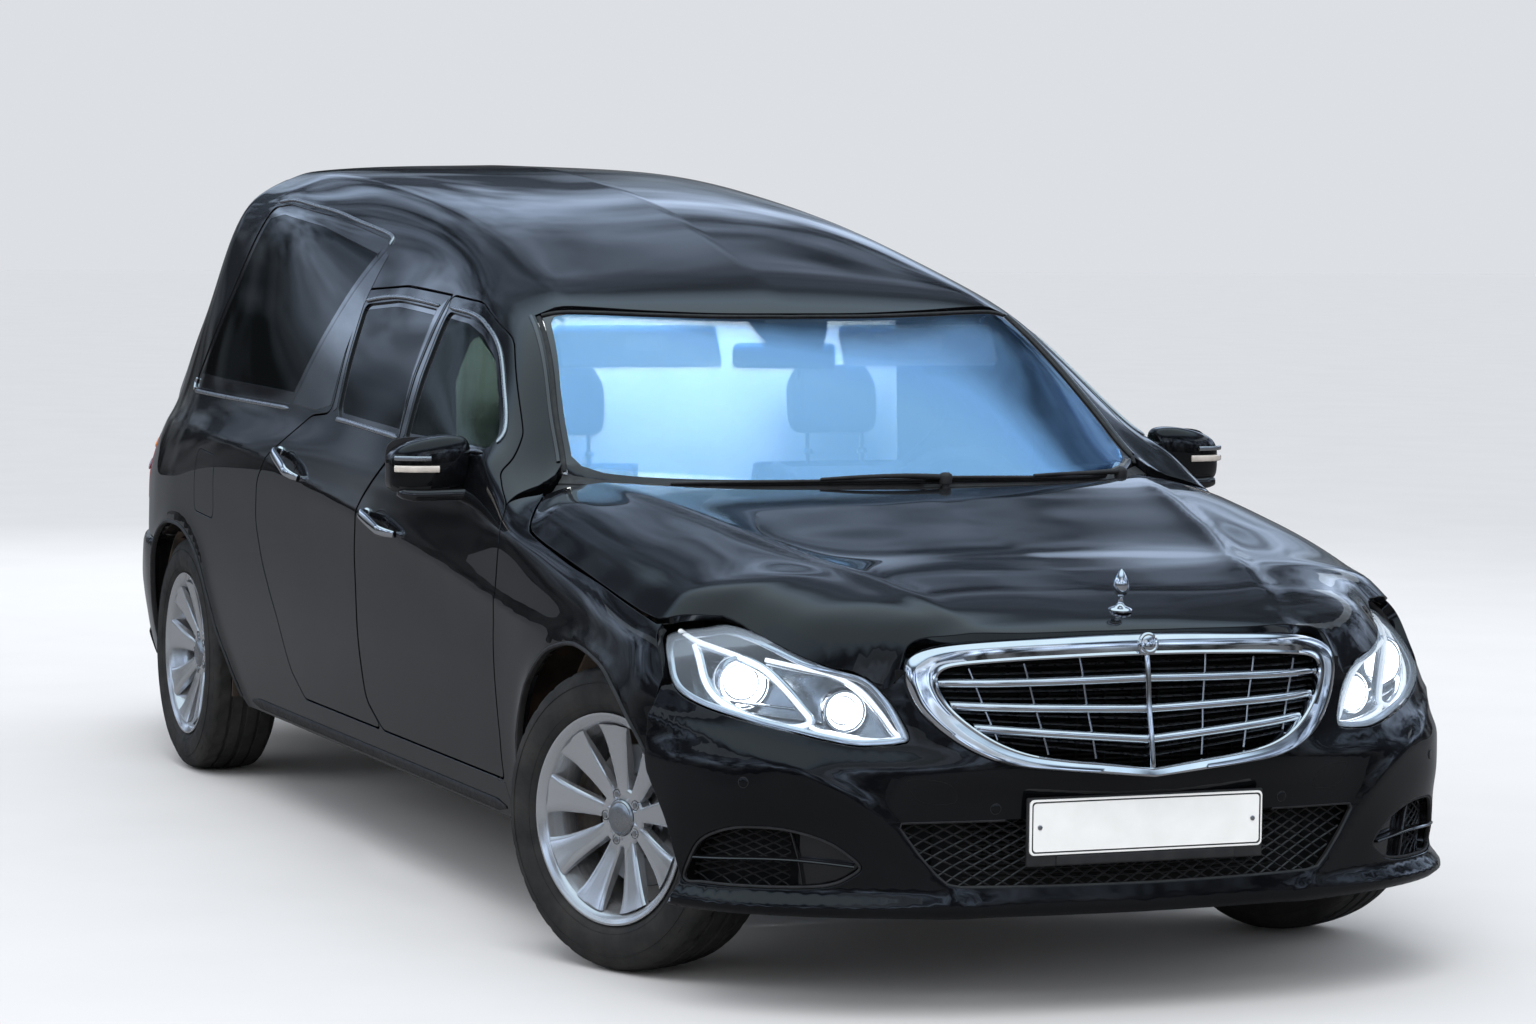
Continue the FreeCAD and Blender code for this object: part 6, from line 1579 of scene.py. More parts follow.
gi = [(0, .030), (.84, .034), (.925, .056), (.962, .105), (.970, .5), (.964, .91), (.948, .960), (.90, .974), (0, .978)]
go = [(0, .006), (.985, .012), (.992, .5), (.985, .994), (0, .994)]
gip, giF = tri2(gi, [], .04)
sym("windscreen_glass", gip, giF, sev, .005, [G_SCREEN], "body", "glass_clear", fmid, replaces=("windscreen",), r=.0004, out=-.002)
fro = np.array([(0, .006), (.5, .008), (.985, .012), (.992, .5), (.985, .994), (.5, .994), (0, .994), (0, .978), (.90, .974), (.948, .960), (.964, .91), (.970, .5), (.962, .105), (.925, .056), (.84, .034), (0, .030)])
fp, fF = tri2(fro, [], .03)
sym("windscreen_border", fp, fF, sev, .0055, [FRIT], "body", "trim_black", fmid, r=.0004, out=-.0017)
# seals along the screen's sides and head
ts = np.linspace(.02, .985, 50)
for side, mir in (("left", False), ("right", True)):
    P, N = SS(np.stack([np.full_like(ts, .996), ts], 1))
    sweep("windscreen_seal_" + side, P, N, ring_profile(.012, .007, 8, 2.5), [RUBBER], "body", "trim_black", mirror=mir)
    P, N = SB(np.stack([np.linspace(.70, 1.20, 40), np.full(40, V_RAIL - .012)], 1))
    sweep("pillar_strip_" + side, P + N * .0005, N, ring_profile(.010, .006, 8, 2.5), [GLOSSB], "body", "trim_black", mirror=mir)
xa = np.linspace(-.985, .985, 80)
P, N = SS(np.stack([np.abs(xa), np.full_like(xa, .994)], 1)); P[:, 0] *= np.sign(xa); N[:, 0] *= np.sign(xa)
sweep("windscreen_seal_top", P, N, ring_profile(.010, .006, 8, 2.5), [RUBBER], "body", "trim_black")


def cowl():
    hb = catmull(HOOD_BACK, 8)
    a = np.linspace(0, 1, 40)
    back = np.stack([np.interp(a, np.linspace(0, 1, len(hb)), hb[:, 0]), np.interp(a, np.linspace(0, 1, len(hb)), hb[:, 1])], 1)
    Pb, _ = SH(back)
    Pl = SS(np.stack([a, np.full_like(a, .02)], 1))[0]
    V = []
    prof = [(-.05, -.030), (-.035, -.024), (.006, -.020), (.02, -.0135)]
    for dy, dz in prof:
        V.append(Pb + np.array([0, dy, dz]))
    for t in (.35, .62, .62, .70, .70, 1.0):
        k = len(V)
        q = Pb * (1 - t) + Pl * t
        q[:, 2] -= {4: .016, 5: .012, 6: .018, 7: .018, 8: .011, 9: .006}[k]
        V.append(q)
    V.append(Pl + np.array([0, .03, -.03]))
    V.append(Pl + np.array([0, .0, -.06])); V.append(Pb + np.array([0, -.05, -.06]))
    V = np.array(V); K, M = V.shape[:2]
    V[:, 0, 0] = 0
    W = V.reshape(-1, 3); m_ = W * [-1, 1, 1]
    F = []
    for k in range(K):
        k2 = (k + 1) % K
        for i in range(M - 1):
            F.append((k * M + i, k * M + i + 1, k2 * M + i + 1, k2 * M + i))
    F.append(tuple(k * M + M - 1 for k in range(K)))
    F2 = [tuple(i + len(W) for i in f[::-1]) for f in F]
    mk("scuttle_panel", np.concatenate([W, m_]), F + F2, [TRIM], "body", "trim_black", auto=35)


cowl()


def wiper(name, spin, path, w0, w1):
    B = Bag()
    s0, s1 = np.array(spin[0]), np.array(spin[1])
    B.tube([s0, s1], .009, 14, 0)
    B.lathe([(-.012, .014), (.004, .016), (.010, .0145), (.014, .008), (.0145, .0003)], s1, (s1 - s0), 24, 0)
    p = catmull(path, 10)
    # arm lifts from its spindle and comes down on the blade's middle
    k = int(len(p) * .55)
    arm = p[:k] + np.array([0, -.004, .006]) * np.sin(np.linspace(0, 1, k) * np.pi)[:, None]
    B.tube(arm, np.linspace(.0070, .0038, k), 8, 0)
    j0 = int(len(p) * .12)
    B.tube(p[j0:] + np.array([0, .004, -.004]), .0040, 8, 0)
    B.tube(p[j0:] + np.array([0, .0085, -.0095]), .0028, 6, 1)
    B.done(name, [TRIM, RUBBER], "body", "trim_black", auto=50, replaces=("wipers",) if name.endswith("left") else ())


def on_screen(xs, up):
    o = []
    for x, u in zip(xs, up):
        a = np.linspace(0, .99, 100)
        P, N = SS(np.stack([a, np.full_like(a, u)], 1))
        i = int(np.abs(P[:, 0] - abs(x)).argmin())
        q = P[i] + N[i] * .0125; q[0] = x
        o.append(q)
    return o


wiper("wiper_left", [(.612, .540, .935), (.612, .542, .996)], [(.612, .541, 1.000)] + on_screen([.50, .36, .20, .02], [.012, .014, .016, .018]), 0, 1)
wiper("wiper_right", [(.100, .392, .935), (.100, .395, 1.000)], [(.100, .396, 1.003)] + on_screen([-.02, -.18, -.36, -.52], [.008, .010, .012, .012]), 0, 1)


# =============================== trims on the sides ===============================
def strip(name, yz, w, h, m_, body, mir, out=.001, slot="chrome", power=2.6, n=None, taper=True):
    p = catmull([(a, b) for a, b in yz], 10)
    P, N = SB(YZ(p))
    sc = None
    if taper:
        t = np.linspace(0, 1, len(P)); sc = np.clip(np.minimum(t, 1 - t) / .02, .25, 1)
    sweep(name, P + N * out, N, ring_profile(w, h, 10, power), [m_], body, slot, mirror=mir, scale=sc)


for side, mir in (("left", False), ("right", True)):
    fb, rb = "front_door_" + side, "rear_door_" + side
    strip("belt_trim_front_" + side, [(.84, 1.043), (1.10, 1.0375), (1.30, 1.036), (1.425, 1.036)], .0125, .008, SATIN, fb, mir, .002)
    strip("belt_trim_rear_" + side, [(1.478, 1.040), (1.70, 1.047), (1.90, 1.054), (1.998, 1.056)], .0125, .008, SATIN, rb, mir, .002)
    strip("window_trim_front_" + side, [(.842, 1.064), (.880, 1.096), (1.00, 1.171), (1.16, 1.264), (1.30, 1.3145), (1.42, 1.338), (1.602, 1.3485)], .0105, .008, SATIN, fb, mir, .002)
    strip("window_trim_rear_" + side, [(1.682, 1.351), (1.85, 1.358), (2.00, 1.362), (2.11, 1.3575), (2.214, 1.346)], .0105, .008, SATIN, rb, mir, .002)
    strip("quarter_trim_low_" + side, [(2.438, 1.060), (2.80, 1.058), (3.20, 1.056), (3.50, 1.055)], .0110, .008, SATIN, "body", mir, .001)
    strip("quarter_trim_top_" + side, [(2.300, 1.488), (2.345, 1.512), (2.60, 1.542), (2.80, 1.566), (3.00, 1.582), (3.18, 1.594), (3.30, 1.588)], .0100, .008, SATIN, "body", mir, .001)
    strip("quarter_corner_" + side, [(3.518, 1.090), (3.522, 1.072), (3.505, 1.058)], .0110, .009, CHROME, "body", mir, .0015)
    # black pillar covers
    for nm, poly, bd in (("front", [(1.434, 1.048), (1.527, 1.186), (1.604, 1.342), (1.634, 1.368), (1.552, 1.180), (1.449, 1.022), (1.44, 1.03)], fb),
                         ("rear", [(1.475, 1.050), (1.590, 1.190), (1.680, 1.346), (1.655, 1.368), (1.576, 1.182), (1.466, 1.024)], rb)):
        q = dense(YZ(dense(np.array(poly), .01)), .010)
        f = triangulate(q, [], .02)
        shell("pillar_cover_%s_%s" % (nm, side), f[0], f[1], SB, .003, [GLOSSB], bd, "trim_black", mirror=mir, out=.0012, r=.0009)
    q = dense(YZ(dense(np.array([(2.118, 1.190), (2.216, 1.336), (2.256, 1.366), (2.142, 1.196), (2.056, 1.072), (2.036, 1.080)]), .01)), .010)
    f = triangulate(q, [], .02)
    shell("pillar_cover_back_" + side, f[0], f[1], SB, .003, [GLOSSB], rb, "trim_black", mirror=mir, out=.0012, r=.0009)
    # wide black band between the rear door and the long window
    q = dense(YZ(dense(np.array([(2.424, 1.072), (2.292, 1.470), (2.262, 1.462), (2.170, 1.215), (2.095, 1.085), (2.20, 1.068)]), .012)), .010)
    f = triangulate(q, [], .025)
    shell("pillar_band_" + side, f[0], f[1], SB, .003, [GLOSSB], "body", "trim_black", mirror=mir, out=.0010, r=.0009)
    # sill cover line and lower cladding
    strip("sill_trim_" + side, [(.60, .262), (1.2, .262), (2.0, .262), (2.74, .262)], .030, .010, TRIM, "body", mir, .001, slot="trim_black")


# ---- handles: cup, strap and lock cap
def handle(name, y0, y1, z0, z1, body, mir):
    zc = lambda y: z0 + (z1 - z0) * (y - y0) / (y1 - y0)
    t = np.linspace(0, 1, 25)
    yy_ = y0 + (y1 - y0) * t; zz = zc(yy_)
    P, N = SB(YZ(np.stack([yy_, zz], 1)))
    lift = .030 * np.clip(np.minimum(t, 1 - t) / .14, 0, 1)**.6 + .002
    q = P + N * lift[:, None]
    sc = .62 + .38 * np.sin(np.pi * np.clip(t * 1.0, 0, 1))**.5
    sweep(name + "_strap", q, N, ring_profile(.026, .013, 14, 2.6), [CHROME], body, "chrome", mirror=mir, scale=sc)
    # dished cup under the strap
    c0 = (y0 + y1) / 2 + .01; a = np.linspace(0, 2 * np.pi, 40, endpoint=False)
    rings = []
    B = Bag()
    V = []
    for k, (f, d) in enumerate(((1.0, .0008), (.93, .0012), (.86, -.0004), (.6, -.0008), (.3, -.001))):
        pts = np.stack([c0 + .072 * f * np.cos(a), zc(c0) + .033 * f * np.sin(a)], 1)
        Pq, Nq = SB(YZ(pts)); V.append(Pq + Nq * d)
    V = np.array(V).reshape(-1, 3); F = []
    for k in range(4):
        for i in range(40):
            i2 = (i + 1) % 40
            F.append((k * 40 + i, (k + 1) * 40 + i, (k + 1) * 40 + i2, k * 40 + i2)[::-1])
    F.append(tuple(160 + i for i in range(40)))
    B.add(V, F, 0)
    B.done(name + "_cup", [GLOSSB], body, "trim_black", auto=60, mirror=mir)
    P, N = SB(YZ(np.array([(y1 + .006, zc(y1) + .002)])))
    B = Bag()
    B.lathe([(-.002, .012), (.006, .0115), (.010, .009), (.0115, .005), (.0118, .0003)], P[0], N[0], 20, 0)
    B.done(name + "_lock", [CHROME], body, "chrome", mirror=mir)


for side, mir in (("left", False), ("right", True)):
    handle("handle_front_" + side, 1.290, 1.505, .822, .856, "front_door_" + side, mir)
    handle("handle_rear_" + side, 2.125, 2.335, .900, .954, "rear_door_" + side, mir)


# ---- door mirrors
def mirror_housing(side, mir):
    T = np.array([0, .04, .12, .30, .55, .78, .92, .98, 1.0])
    X = .868 + (1.055 - .868) * T
    ring = []
    n = 36; a = np.linspace(0, 2 * np.pi, n, endpoint=False)
    yc = np.interp(T, [0, .5, 1], [.905, .902, .915]); zc = np.interp(T, [0, .3, .7, 1], [1.019, 1.018, 1.011, 1.000])
    hy = np.interp(T, [0, .04, .12, .3, .55, .78, .92, .98, 1.0], [.018, .034, .046, .054, .057, .052, .040, .026, .012])
    hz = np.interp(T, [0, .04, .12, .3, .55, .78, .92, .98, 1.0], [.034, .054, .062, .0655, .0640, .0590, .050, .037, .022])
    V = []
    for t, x, y, z, h, w in zip(T, X, yc, zc, hy, hz):
        c, s = np.cos(a), np.sin(a)
        py = np.sign(c) * np.abs(c)**(2 / 4.0) * h; pz = np.sign(s) * np.abs(s)**(2 / 4.0) * w
        py = np.where(py > 0, np.minimum(py, h * .86), py * (1 - .14 * (pz / w)**2))
        sweepb = .030 * t
        V.append(np.stack([np.full(n, x) - .0 * py, y + py + sweepb * (py > 0) * .3 + .012 * t, z + pz - .004 * t], 1))
    V = np.array(V); K = len(T)
    F = []
    for k in range(K - 1):
        for i in range(n):
            i2 = (i + 1) % n
            F.append((k * n + i, k * n + i2, (k + 1) * n + i2, (k + 1) * n + i))
    F.append(tuple(range(n))[::-1]); F.append(tuple((K - 1) * n + i for i in range(n)))
    fm = []
    W = V.reshape(-1, 3)
    for f in F:
        c = W[list(f)].mean(0)
        fm.append(1 if c[2] < .962 else 0)
    me = mk("mirror_housing_" + side, W, F, [PAINT, TRIM], "front_door_" + side, "paint", fmat=fm, mirror=mir, auto=None)
    md = me.modifiers.new("s", "SUBSURF"); md.levels = 2; md.render_levels = 2
    # glass in its recess at the back
    def sq(rx, rz, y, k=40, pw=3.4):
        b = np.linspace(0, 2 * np.pi, k, endpoint=False)
        x = np.sign(np.cos(b)) * np.abs(np.cos(b))**(2 / pw) * rx; z = np.sign(np.sin(b)) * np.abs(np.sin(b))**(2 / pw) * rz
        return np.stack([.966 + x, y + .10 * x, 1.026 + z], 1)
    V = np.concatenate([sq(.083, .0475, .951), sq(.083, .0475, .958), sq(.079, .0440, .9585), sq(.076, .0415, .955), sq(.075, .041, .9548)])
    F = []; fm = []
    for k in range(4):
        for i in range(40):
            i2 = (i + 1) % 40
            F.append((k * 40 + i, (k + 1) * 40 + i, (k + 1) * 40 + i2, k * 40 + i2)); fm.append(0)
    F.append(tuple(160 + i for i in range(40))[::-1]); fm.append(1)
    F.append(tuple(range(40))); fm.append(0)
    mk("mirror_glass_" + side, V, F, [TRIM, MIRRM], "front_door_" + side, "trim_black", fmat=fm, mirror=mir, auto=40)
    # foot: arm from the window's front corner
    path = catmull([(.842, .876, .950), (.872, .884, .948), (.915, .893, .947), (.965, .899, .946), (1.005, .904, .946), (1.036, .908, .950)], 6)
    ts_ = np.linspace(0, 1, len(path))
    sweep("mirror_arm_" + side, path, np.array([0, 0, 1.0]), ring_profile(.086, .031, 16, 3.6), [GLOSSB], "front_door_" + side, "trim_black", mirror=mir,
          scale=np.interp(ts_, [0, .25, .8, .95, 1], [.72, .98, 1.0, .8, .5]))
    q = dense(YZ(dense(np.array([(.796, 1.030), (.812, 1.062), (.842, 1.082), (.893, 1.108), (.925, 1.075), (.925, 1.030)]), .01)), .01)
    # indicator: two slim lenses wrapped round the outer half
    for k, (zz, w) in enumerate(((1.030, .011), (1.006, .015))):
        b = np.linspace(0, 1, 22)
        xx = .955 + (1.050 - .955) * b if k else .975 + (1.050 - .975) * b
        yv = .905 - .0545 * np.sqrt(np.clip(1 - np.clip((xx - .955) / .103, 0, 1)**3.0, 0, 1)) + .006 * b
        p = np.stack([xx, yv, np.full_like(xx, zz)], 1)
        nn = np.stack([np.clip((xx - .955) / .103, 0, 1)**2.5, -np.ones_like(xx), 0 * xx], 1); nn /= np.linalg.norm(nn, axis=1, keepdims=True)
        sweep("mirror_indicator_%d_%s" % (k, side), p, nn, ring_profile(w, .006, 10, 2.6), [SATIN if k == 0 else DRLC], "front_door_" + side, "lamp_clear", mirror=mir)


DRLC = mat("indicator_lens", (.55, .50, .45), (.72, .66, .60), rough=.08, rough2=.14, coat=.9, scale=40, wave=("voronoi", 220), bump=.12, metal=.2)
for side, mir in (("left", False), ("right", True)):
    mirror_housing(side, mir)


# =============================== wheels ===============================
WB = 3.374


def placer(side_sign, x, y, steer, kx=.720):
    """Wheel frame (x outwards from the wheel's middle plane, axle at the origin) -> car frame."""
    c, s = math.cos(math.radians(steer)), math.sin(math.radians(steer))

    def f(V):
        V = np.asarray(V, float).copy()
        V[:, 0] *= side_sign
        V[:, 0] += side_sign * x; V[:, 1] += y; V[:, 2] += .326
        if steer:
            d = V - np.array([side_sign * kx, 0, 0])
            V = np.stack([d[:, 0] * c - d[:, 1] * s, d[:, 0] * s + d[:, 1] * c, d[:, 2]], 1) + np.array([side_sign * kx, 0, 0])
        return V
    return f


def put(B, name, mats, body, slot, pl, sign, auto=40, **kw):
    V = pl(np.concatenate(B.v))
    F = [f if sign > 0 else f[::-1] for f in B.f]
    return mk(name, V, F, mats, body, slot, fmat=B.m, auto=auto, **kw)


def tyre_bag():
    """Carcass with rounded shoulders and bead; tread of four ribs with cut blocks and sipes."""
    B = Bag()
    side_ = [(.0735, .2125), (.0765, .2185), (.0800, .2205), (.0855, .2255), (.0935, .2340), (.0995, .2460), (.1022, .2620), (.1008, .2790), (.0965, .2950), (.0925, .3035), (.0910, .3062),
             (.0870, .3130), (.0805, .3182), (.0735, .3208)]
    side_ = [tuple(q) for q in catmull(side_, 2)]
    n = 180
    tr = []
    ribs = [(-.0735, -.0440, 1), (-.0440, -.0370, 0), (-.0370, -.0065, 1), (-.0065, .0065, 0), (.0065, .0370, 1), (.0370, .0440, 0), (.0440, .0735, 1)]
    prof = []
    crown = lambda x: .3255 - .0046 * (abs(x) / .0735)**2.4
    for x0, x1, up in ribs:
        if up:
            prof += [(x0 + .0008, crown(x0) - .0008, 0), (x0 + .0016, crown(x0), 0), ((x0 + x1) / 2, crown((x0 + x1) / 2), 0), (x1 - .0016, crown(x1), 0), (x1 - .0008, crown(x1) - .0008, 0)]
        else:
            prof += [(x0 + .0012, crown(x0) - .0078, 1), (x1 - .0012, crown(x1) - .0078, 1)]
    full_ = [(-a, b, 0) for a, b in side_] + prof[1:-1] + [(a, b, 0) for a, b in side_[::-1]]
    inner_ = [(.0735, .2085, 0), (.060, .2095, 0), (0, .2095, 0), (-.060, .2095, 0), (-.0735, .2085, 0)]
    P = np.array(full_ + inner_)
    K = len(P)
    a = np.linspace(0, 2 * np.pi, n, endpoint=False)
    V = np.zeros((n, K, 3))
    for i in range(n):
        x, r = P[:, 0].copy(), P[:, 1].copy()
        rib = (np.abs(x) < .074) & (r > .3195)
        # sipes: slanting cuts that open towards the shoulders
        ph = (i * 1.0 + np.abs(x) * 160.0) % 6
        cut_ = rib & (np.abs(x) > .038) & (ph < 1.0)
        ph2 = (i * 1.0 + x * 120.0 + 3) % 6
        cut2 = rib & (np.abs(x) <= .036) & (np.abs(x) > .0085) & (ph2 < 1.0)
        r = r - .0042 * cut_ - .0026 * cut2
        sh = (np.abs(x) > .0740) & (r > .305)
        r = r - .0022 * (sh & ((i % 6) < 1))
        V[i, :, 0] = x; V[i, :, 1] = np.sin(a[i]) * r; V[i, :, 2] = np.cos(a[i]) * r
    F = []
    for i in range(n):
        i2 = (i + 1) % n
        for j in range(K):
            j2 = (j + 1) % K
            F.append((i * K + j, i * K + j2, i2 * K + j2, i2 * K + j))
    B.add(V.reshape(-1, 3), F, 0)
    # plain raised rings and a rim-guard rib on the sidewall
    for sg in (1, -1):
        for rr0, xx, w in ((.2420, .0975, .0011), (.2890, .0988, .0010)):
            B.lathe([(sg * (xx - .002), rr0 - w), (sg * (xx + .0012), rr0 - w * .6), (sg * (xx + .0012), rr0 + w * .6), (sg * (xx - .002), rr0 + w)][::sg], (0, 0, 0), (1, 0, 0), 120, 0, closed=True)
    return B


def rim_bag():
    B = Bag()
    barrel = [(-.0905, .2225), (-.0875, .2245), (-.0830, .2205), (-.0790, .2125), (-.060, .2075), (-.045, .1960), (.038, .1930), (.052, .2030), (.0720, .2090), (.0800, .2125), (.0850, .2215), (.0895, .2252), (.0925, .2245),
              (.0925, .2205), (.0890, .2150), (.0845, .2070), (.0780, .2020), (.0660, .1985), (.050, .1905), (.036, .1860), (-.045, .1890), (-.062, .1990), (-.0830, .2060), (-.0890, .2150)]
    B.lathe(barrel, (0, 0, 0), (1, 0, 0), 120, 0, closed=True)
    # nine spokes: flat faced, narrow at the hub, flaring into the rim
    for i in range(9):
        ang = 2 * np.pi * i / 9
        rs = np.array([.040, .052, .066, .085, .110, .135, .158, .176, .190, .2005])
        w = np.array([.0160, .0160, .0170, .0190, .0220, .0260, .0300, .0345, .0390, .0435])
        xf = np.array([.0520, .0505, .0510, .0545, .0600, .0660, .0715, .0765, .0808, .0842])
        th = np.array([.020, .022, .024, .024, .023, .022, .020, .018, .015, .012])
        V = []
        for r, ww, x, t in zip(rs, w, xf, th):
            sec = [(-ww, x - t), (-ww, x - .0045), (-ww * .90, x - .0015), (-ww * .72, x), (-ww * .30, x + .0002), (ww * .30, x + .0002), (ww * .72, x), (ww * .90, x - .0015), (ww, x - .0045), (ww, x - t)]
            V.append([(sx, sy, math.sqrt(max(r * r - sy * sy, 1e-6))) for sy, sx in sec])
        V = np.array(V); K, M = V.shape[:2]
        ca, sa = math.cos(ang), math.sin(ang)
        W = V.reshape(-1, 3); W = np.stack([W[:, 0], W[:, 1] * ca - W[:, 2] * sa, W[:, 1] * sa + W[:, 2] * ca], 1)
        F = []
        for k in range(K - 1):
            for j in range(M):
                j2 = (j + 1) % M
                F.append((k * M + j, k * M + j2, (k + 1) * M + j2, (k + 1) * M + j))
        F.append(tuple(range(M))[::-1]); F.append(tuple((K - 1) * M + j for j in range(M)))
        B.add(W, F, 0)
    # hub: dished centre, bolt recesses, cap
    B.lathe([(.020, .060), (.046, .0640), (.0505, .0600), (.0515, .0520), (.0500, .0430), (.0490, .0400), (.0510, .0385), (.0510, .0340)], (0, 0, 0), (1, 0, 0), 72, 0)
    B.lathe([(.0495, .0385), (.0540, .0375), (.0570, .0345), (.0565, .0315), (.0585, .0290), (.0600, .0180), (.0606, .0004)], (0, 0, 0), (1, 0, 0), 64, 1)
    B.lathe([(.020, .0), (.018, .062), (.020, .060)], (0, 0, 0), (1, 0, 0), 40, 0)
    for i in range(5):
        a = 2 * np.pi * (i + .25) / 5
        c = np.array([0, math.sin(a) * .0505, math.cos(a) * .0505])
        # the bolt recess walls are near-black painted shade
        B.lathe([(.0512, .0112), (.0520, .0108), (.0515, .0098), (.0430, .0094)], c, (1, 0, 0), 18, 2)
        B.lathe([(.0430, .0094), (.0430, .0078), (.0500, .0074), (.0535, .0062), (.0540, .0003)], c, (1, 0, 0), 6, 1)
    return B


def disc_bag():
    B = Bag()
    B.lathe([(-.032, .062), (-.032, .1500), (-.030, .1515), (-.022, .1515), (-.020, .1500), (-.020, .146), (-.014, .146), (-.014, .1500), (-.012, .1515), (-.006, .1515), (-.004, .1500), (-.004, .094), (-.002, .090), (.012, .086), (.014, .080), (.014, .040)],
            (0, 0, 0), (1, 0, 0), 90, 0)
    for i in range(36):
        a = 2 * np.pi * i / 36
        c, s = math.cos(a), math.sin(a)
        V = [(x, s * r + c * w, c * r - s * w) for x in (-.0205, -.0135) for r in (.07, .1455) for w in (-.002, .002)]
        B.add(V, [(0, 1, 3, 2), (4, 6, 7, 5), (0, 4, 5, 1), (2, 3, 7, 6), (0, 2, 6, 4), (1, 5, 7, 3)], 1)
    return B


tb, rb_, db = tyre_bag(), rim_bag(), disc_bag()
for tag, sg, x, y, st in (("front_left", 1, .7925, 0, 26.0), ("front_right", -1, .7925, 0, 23.0), ("rear_left", 1, .802, WB, 0.0), ("rear_right", -1, .802, WB, 0.0)):
    pl = placer(sg, x, y, st)
    body = "wheel_" + tag
    put(tb, "tyre_look_" + tag, [TYREM], body, "tyre", pl, sg, auto=32, replaces=("tyre_" + tag,))
    put(rb_, "rim_look_" + tag, [RIMM, SATIN, SHADOW_BLACKM], body, "rim", pl, sg, auto=32, replaces=("rim_" + tag,))
    put(db, "brake_disc_" + tag, [DISCM, IRON], body, "iron", pl, sg, auto=35)


def caliper(name, body, pl, sg, rep):
    B = Bag()
    a = np.radians(np.linspace(56, 124, 14))
    for (x0, x1, r0, r1) in ((-.060, -.036, .092, .160), (-.002, .022, .098, .160), (-.060, .022, .1545, .172)):
        V = []
        for t in a:
            for x, r in ((x0, r0), (x1, r0), (x1, r1), (x0, r1)):
                V.append((x, math.sin(t) * r, math.cos(t) * r))
        F = []
        for k in range(len(a) - 1):
            for j in range(4):
                j2 = (j + 1) % 4
                F.append((k * 4 + j, k * 4 + j2, k * 4 + 4 + j2, k * 4 + 4 + j))
        F.append((0, 1, 2, 3)[::-1]); F.append(tuple((len(a) - 1) * 4 + j for j in range(4)))
        B.add(V, F, 0)
    B.tube([(-.045, .10, .075), (-.045, .112, .03), (-.045, .112, -.03), (-.045, .10, -.075)], .014, 12, 0)
    B.tube([(-.060, 0, 0), (.010, 0, 0)], .036, 24, 0)
    B.tube([(-.10, 0, -.105), (-.075, .01, -.05), (-.06, .0, 0), (-.078, .006, .06), (-.11, -.01, .135)], [.014, .022, .030, .020, .013], 14, 0)
    B.tube([(-.09, .05, 0), (-.07, .09, .0), (-.055, .115, .0)], .012, 10, 0)
    for s_ in (-1, 1):
        B.tube([(-.066, math.sin(math.radians(90 + s_ * 22)) * .128, math.cos(math.radians(90 + s_ * 22)) * .128), (-.030, math.sin(math.radians(90 + s_ * 22)) * .128, math.cos(math.radians(90 + s_ * 22)) * .128)], .0085, 12, 1)
    put(B, name, [IRON, STEELM], body, "iron", pl, sg, auto=40, replaces=rep)


for side, sg, st in (("left", 1, 26.0), ("right", -1, 23.0)):
    caliper("knuckle_look_" + side, "knuckle_" + side, placer(sg, .7925, 0, st), sg, ("knuckle_" + side,))
    pl = placer(sg, .802, WB, 0.0)
    caliper("rear_brake_" + side, "body", pl, sg, ())


# =============================== tail ===============================
GC = np.array([(3.600, 1.688), (3.640, 1.668), (3.690, 1.632), (3.740, 1.578), (3.900, 1.352), (4.060, 1.126), (4.096, 1.079), (4.140, 1.044), (4.220, 1.016), (4.300, .986), (4.346, .952), (4.376, .900), (4.408, .800),
               (4.430, .700), (4.436, .618)])


def build_gate():
    c = dense(GC, .01, False); c = smooth(c, 6, 0)
    s = np.concatenate([[0], np.cumsum(np.linalg.norm(np.diff(c, axis=0), axis=1))])
    u = np.arange(0, s[-1], .01); y = np.interp(u, s, c[:, 0]); z = np.interp(u, s, c[:, 1])
    X = np.arange(0, .601, .01)
    P = np.zeros((len(u), len(X), 3)); P[..., 0] = X[None]
    q = (X / .57)[None]
    crown = np.interp(y, [3.60, 3.66, 3.78, 4.0], [.040, .030, .008, .0])[:, None] * np.abs(q)**2.6
    P[..., 1] = y[:, None] - .010 * q**3; P[..., 2] = z[:, None] - crown
    # pressed edges: a fold above the plate and a recess for the plate
    P[..., 1] += (.010 * np.exp(-((z - .885) / .012)**2))[:, None] * (1 - np.clip((q - .75) / .2, 0, 1))
    P[..., 1] -= (.016 * (np.clip((.855 - z) / .012, 0, 1) * np.clip((z - .690) / .012, 0, 1)))[:, None] * np.clip((.50 - q) * 12 + 1, 0, 1) * (q < .56)
    P = smooth(smooth(P, 1, 0), 1, 1)
    P[:, 0, 0] = 0
    return u, X, P


UG, XG, PG = build_gate()
SG = Surf(UG, XG, PG)
if SG(np.array([[.6, .2]]))[1][0][1] < 0:
    SG.N = -SG.N


def gu(z):
    """Length along the tailgate's profile at height z."""
    zz = PG[:, 0, 2]
    return np.interp(-np.asarray(z, float), -zz, UG)


def gev(uv):
    P, N = SG(uv); m0 = uv[:, 1] < 1e-6; P[m0, 0] = 0; N[m0, 0] = 0
    return P, N / np.linalg.norm(N, axis=1, keepdims=True)


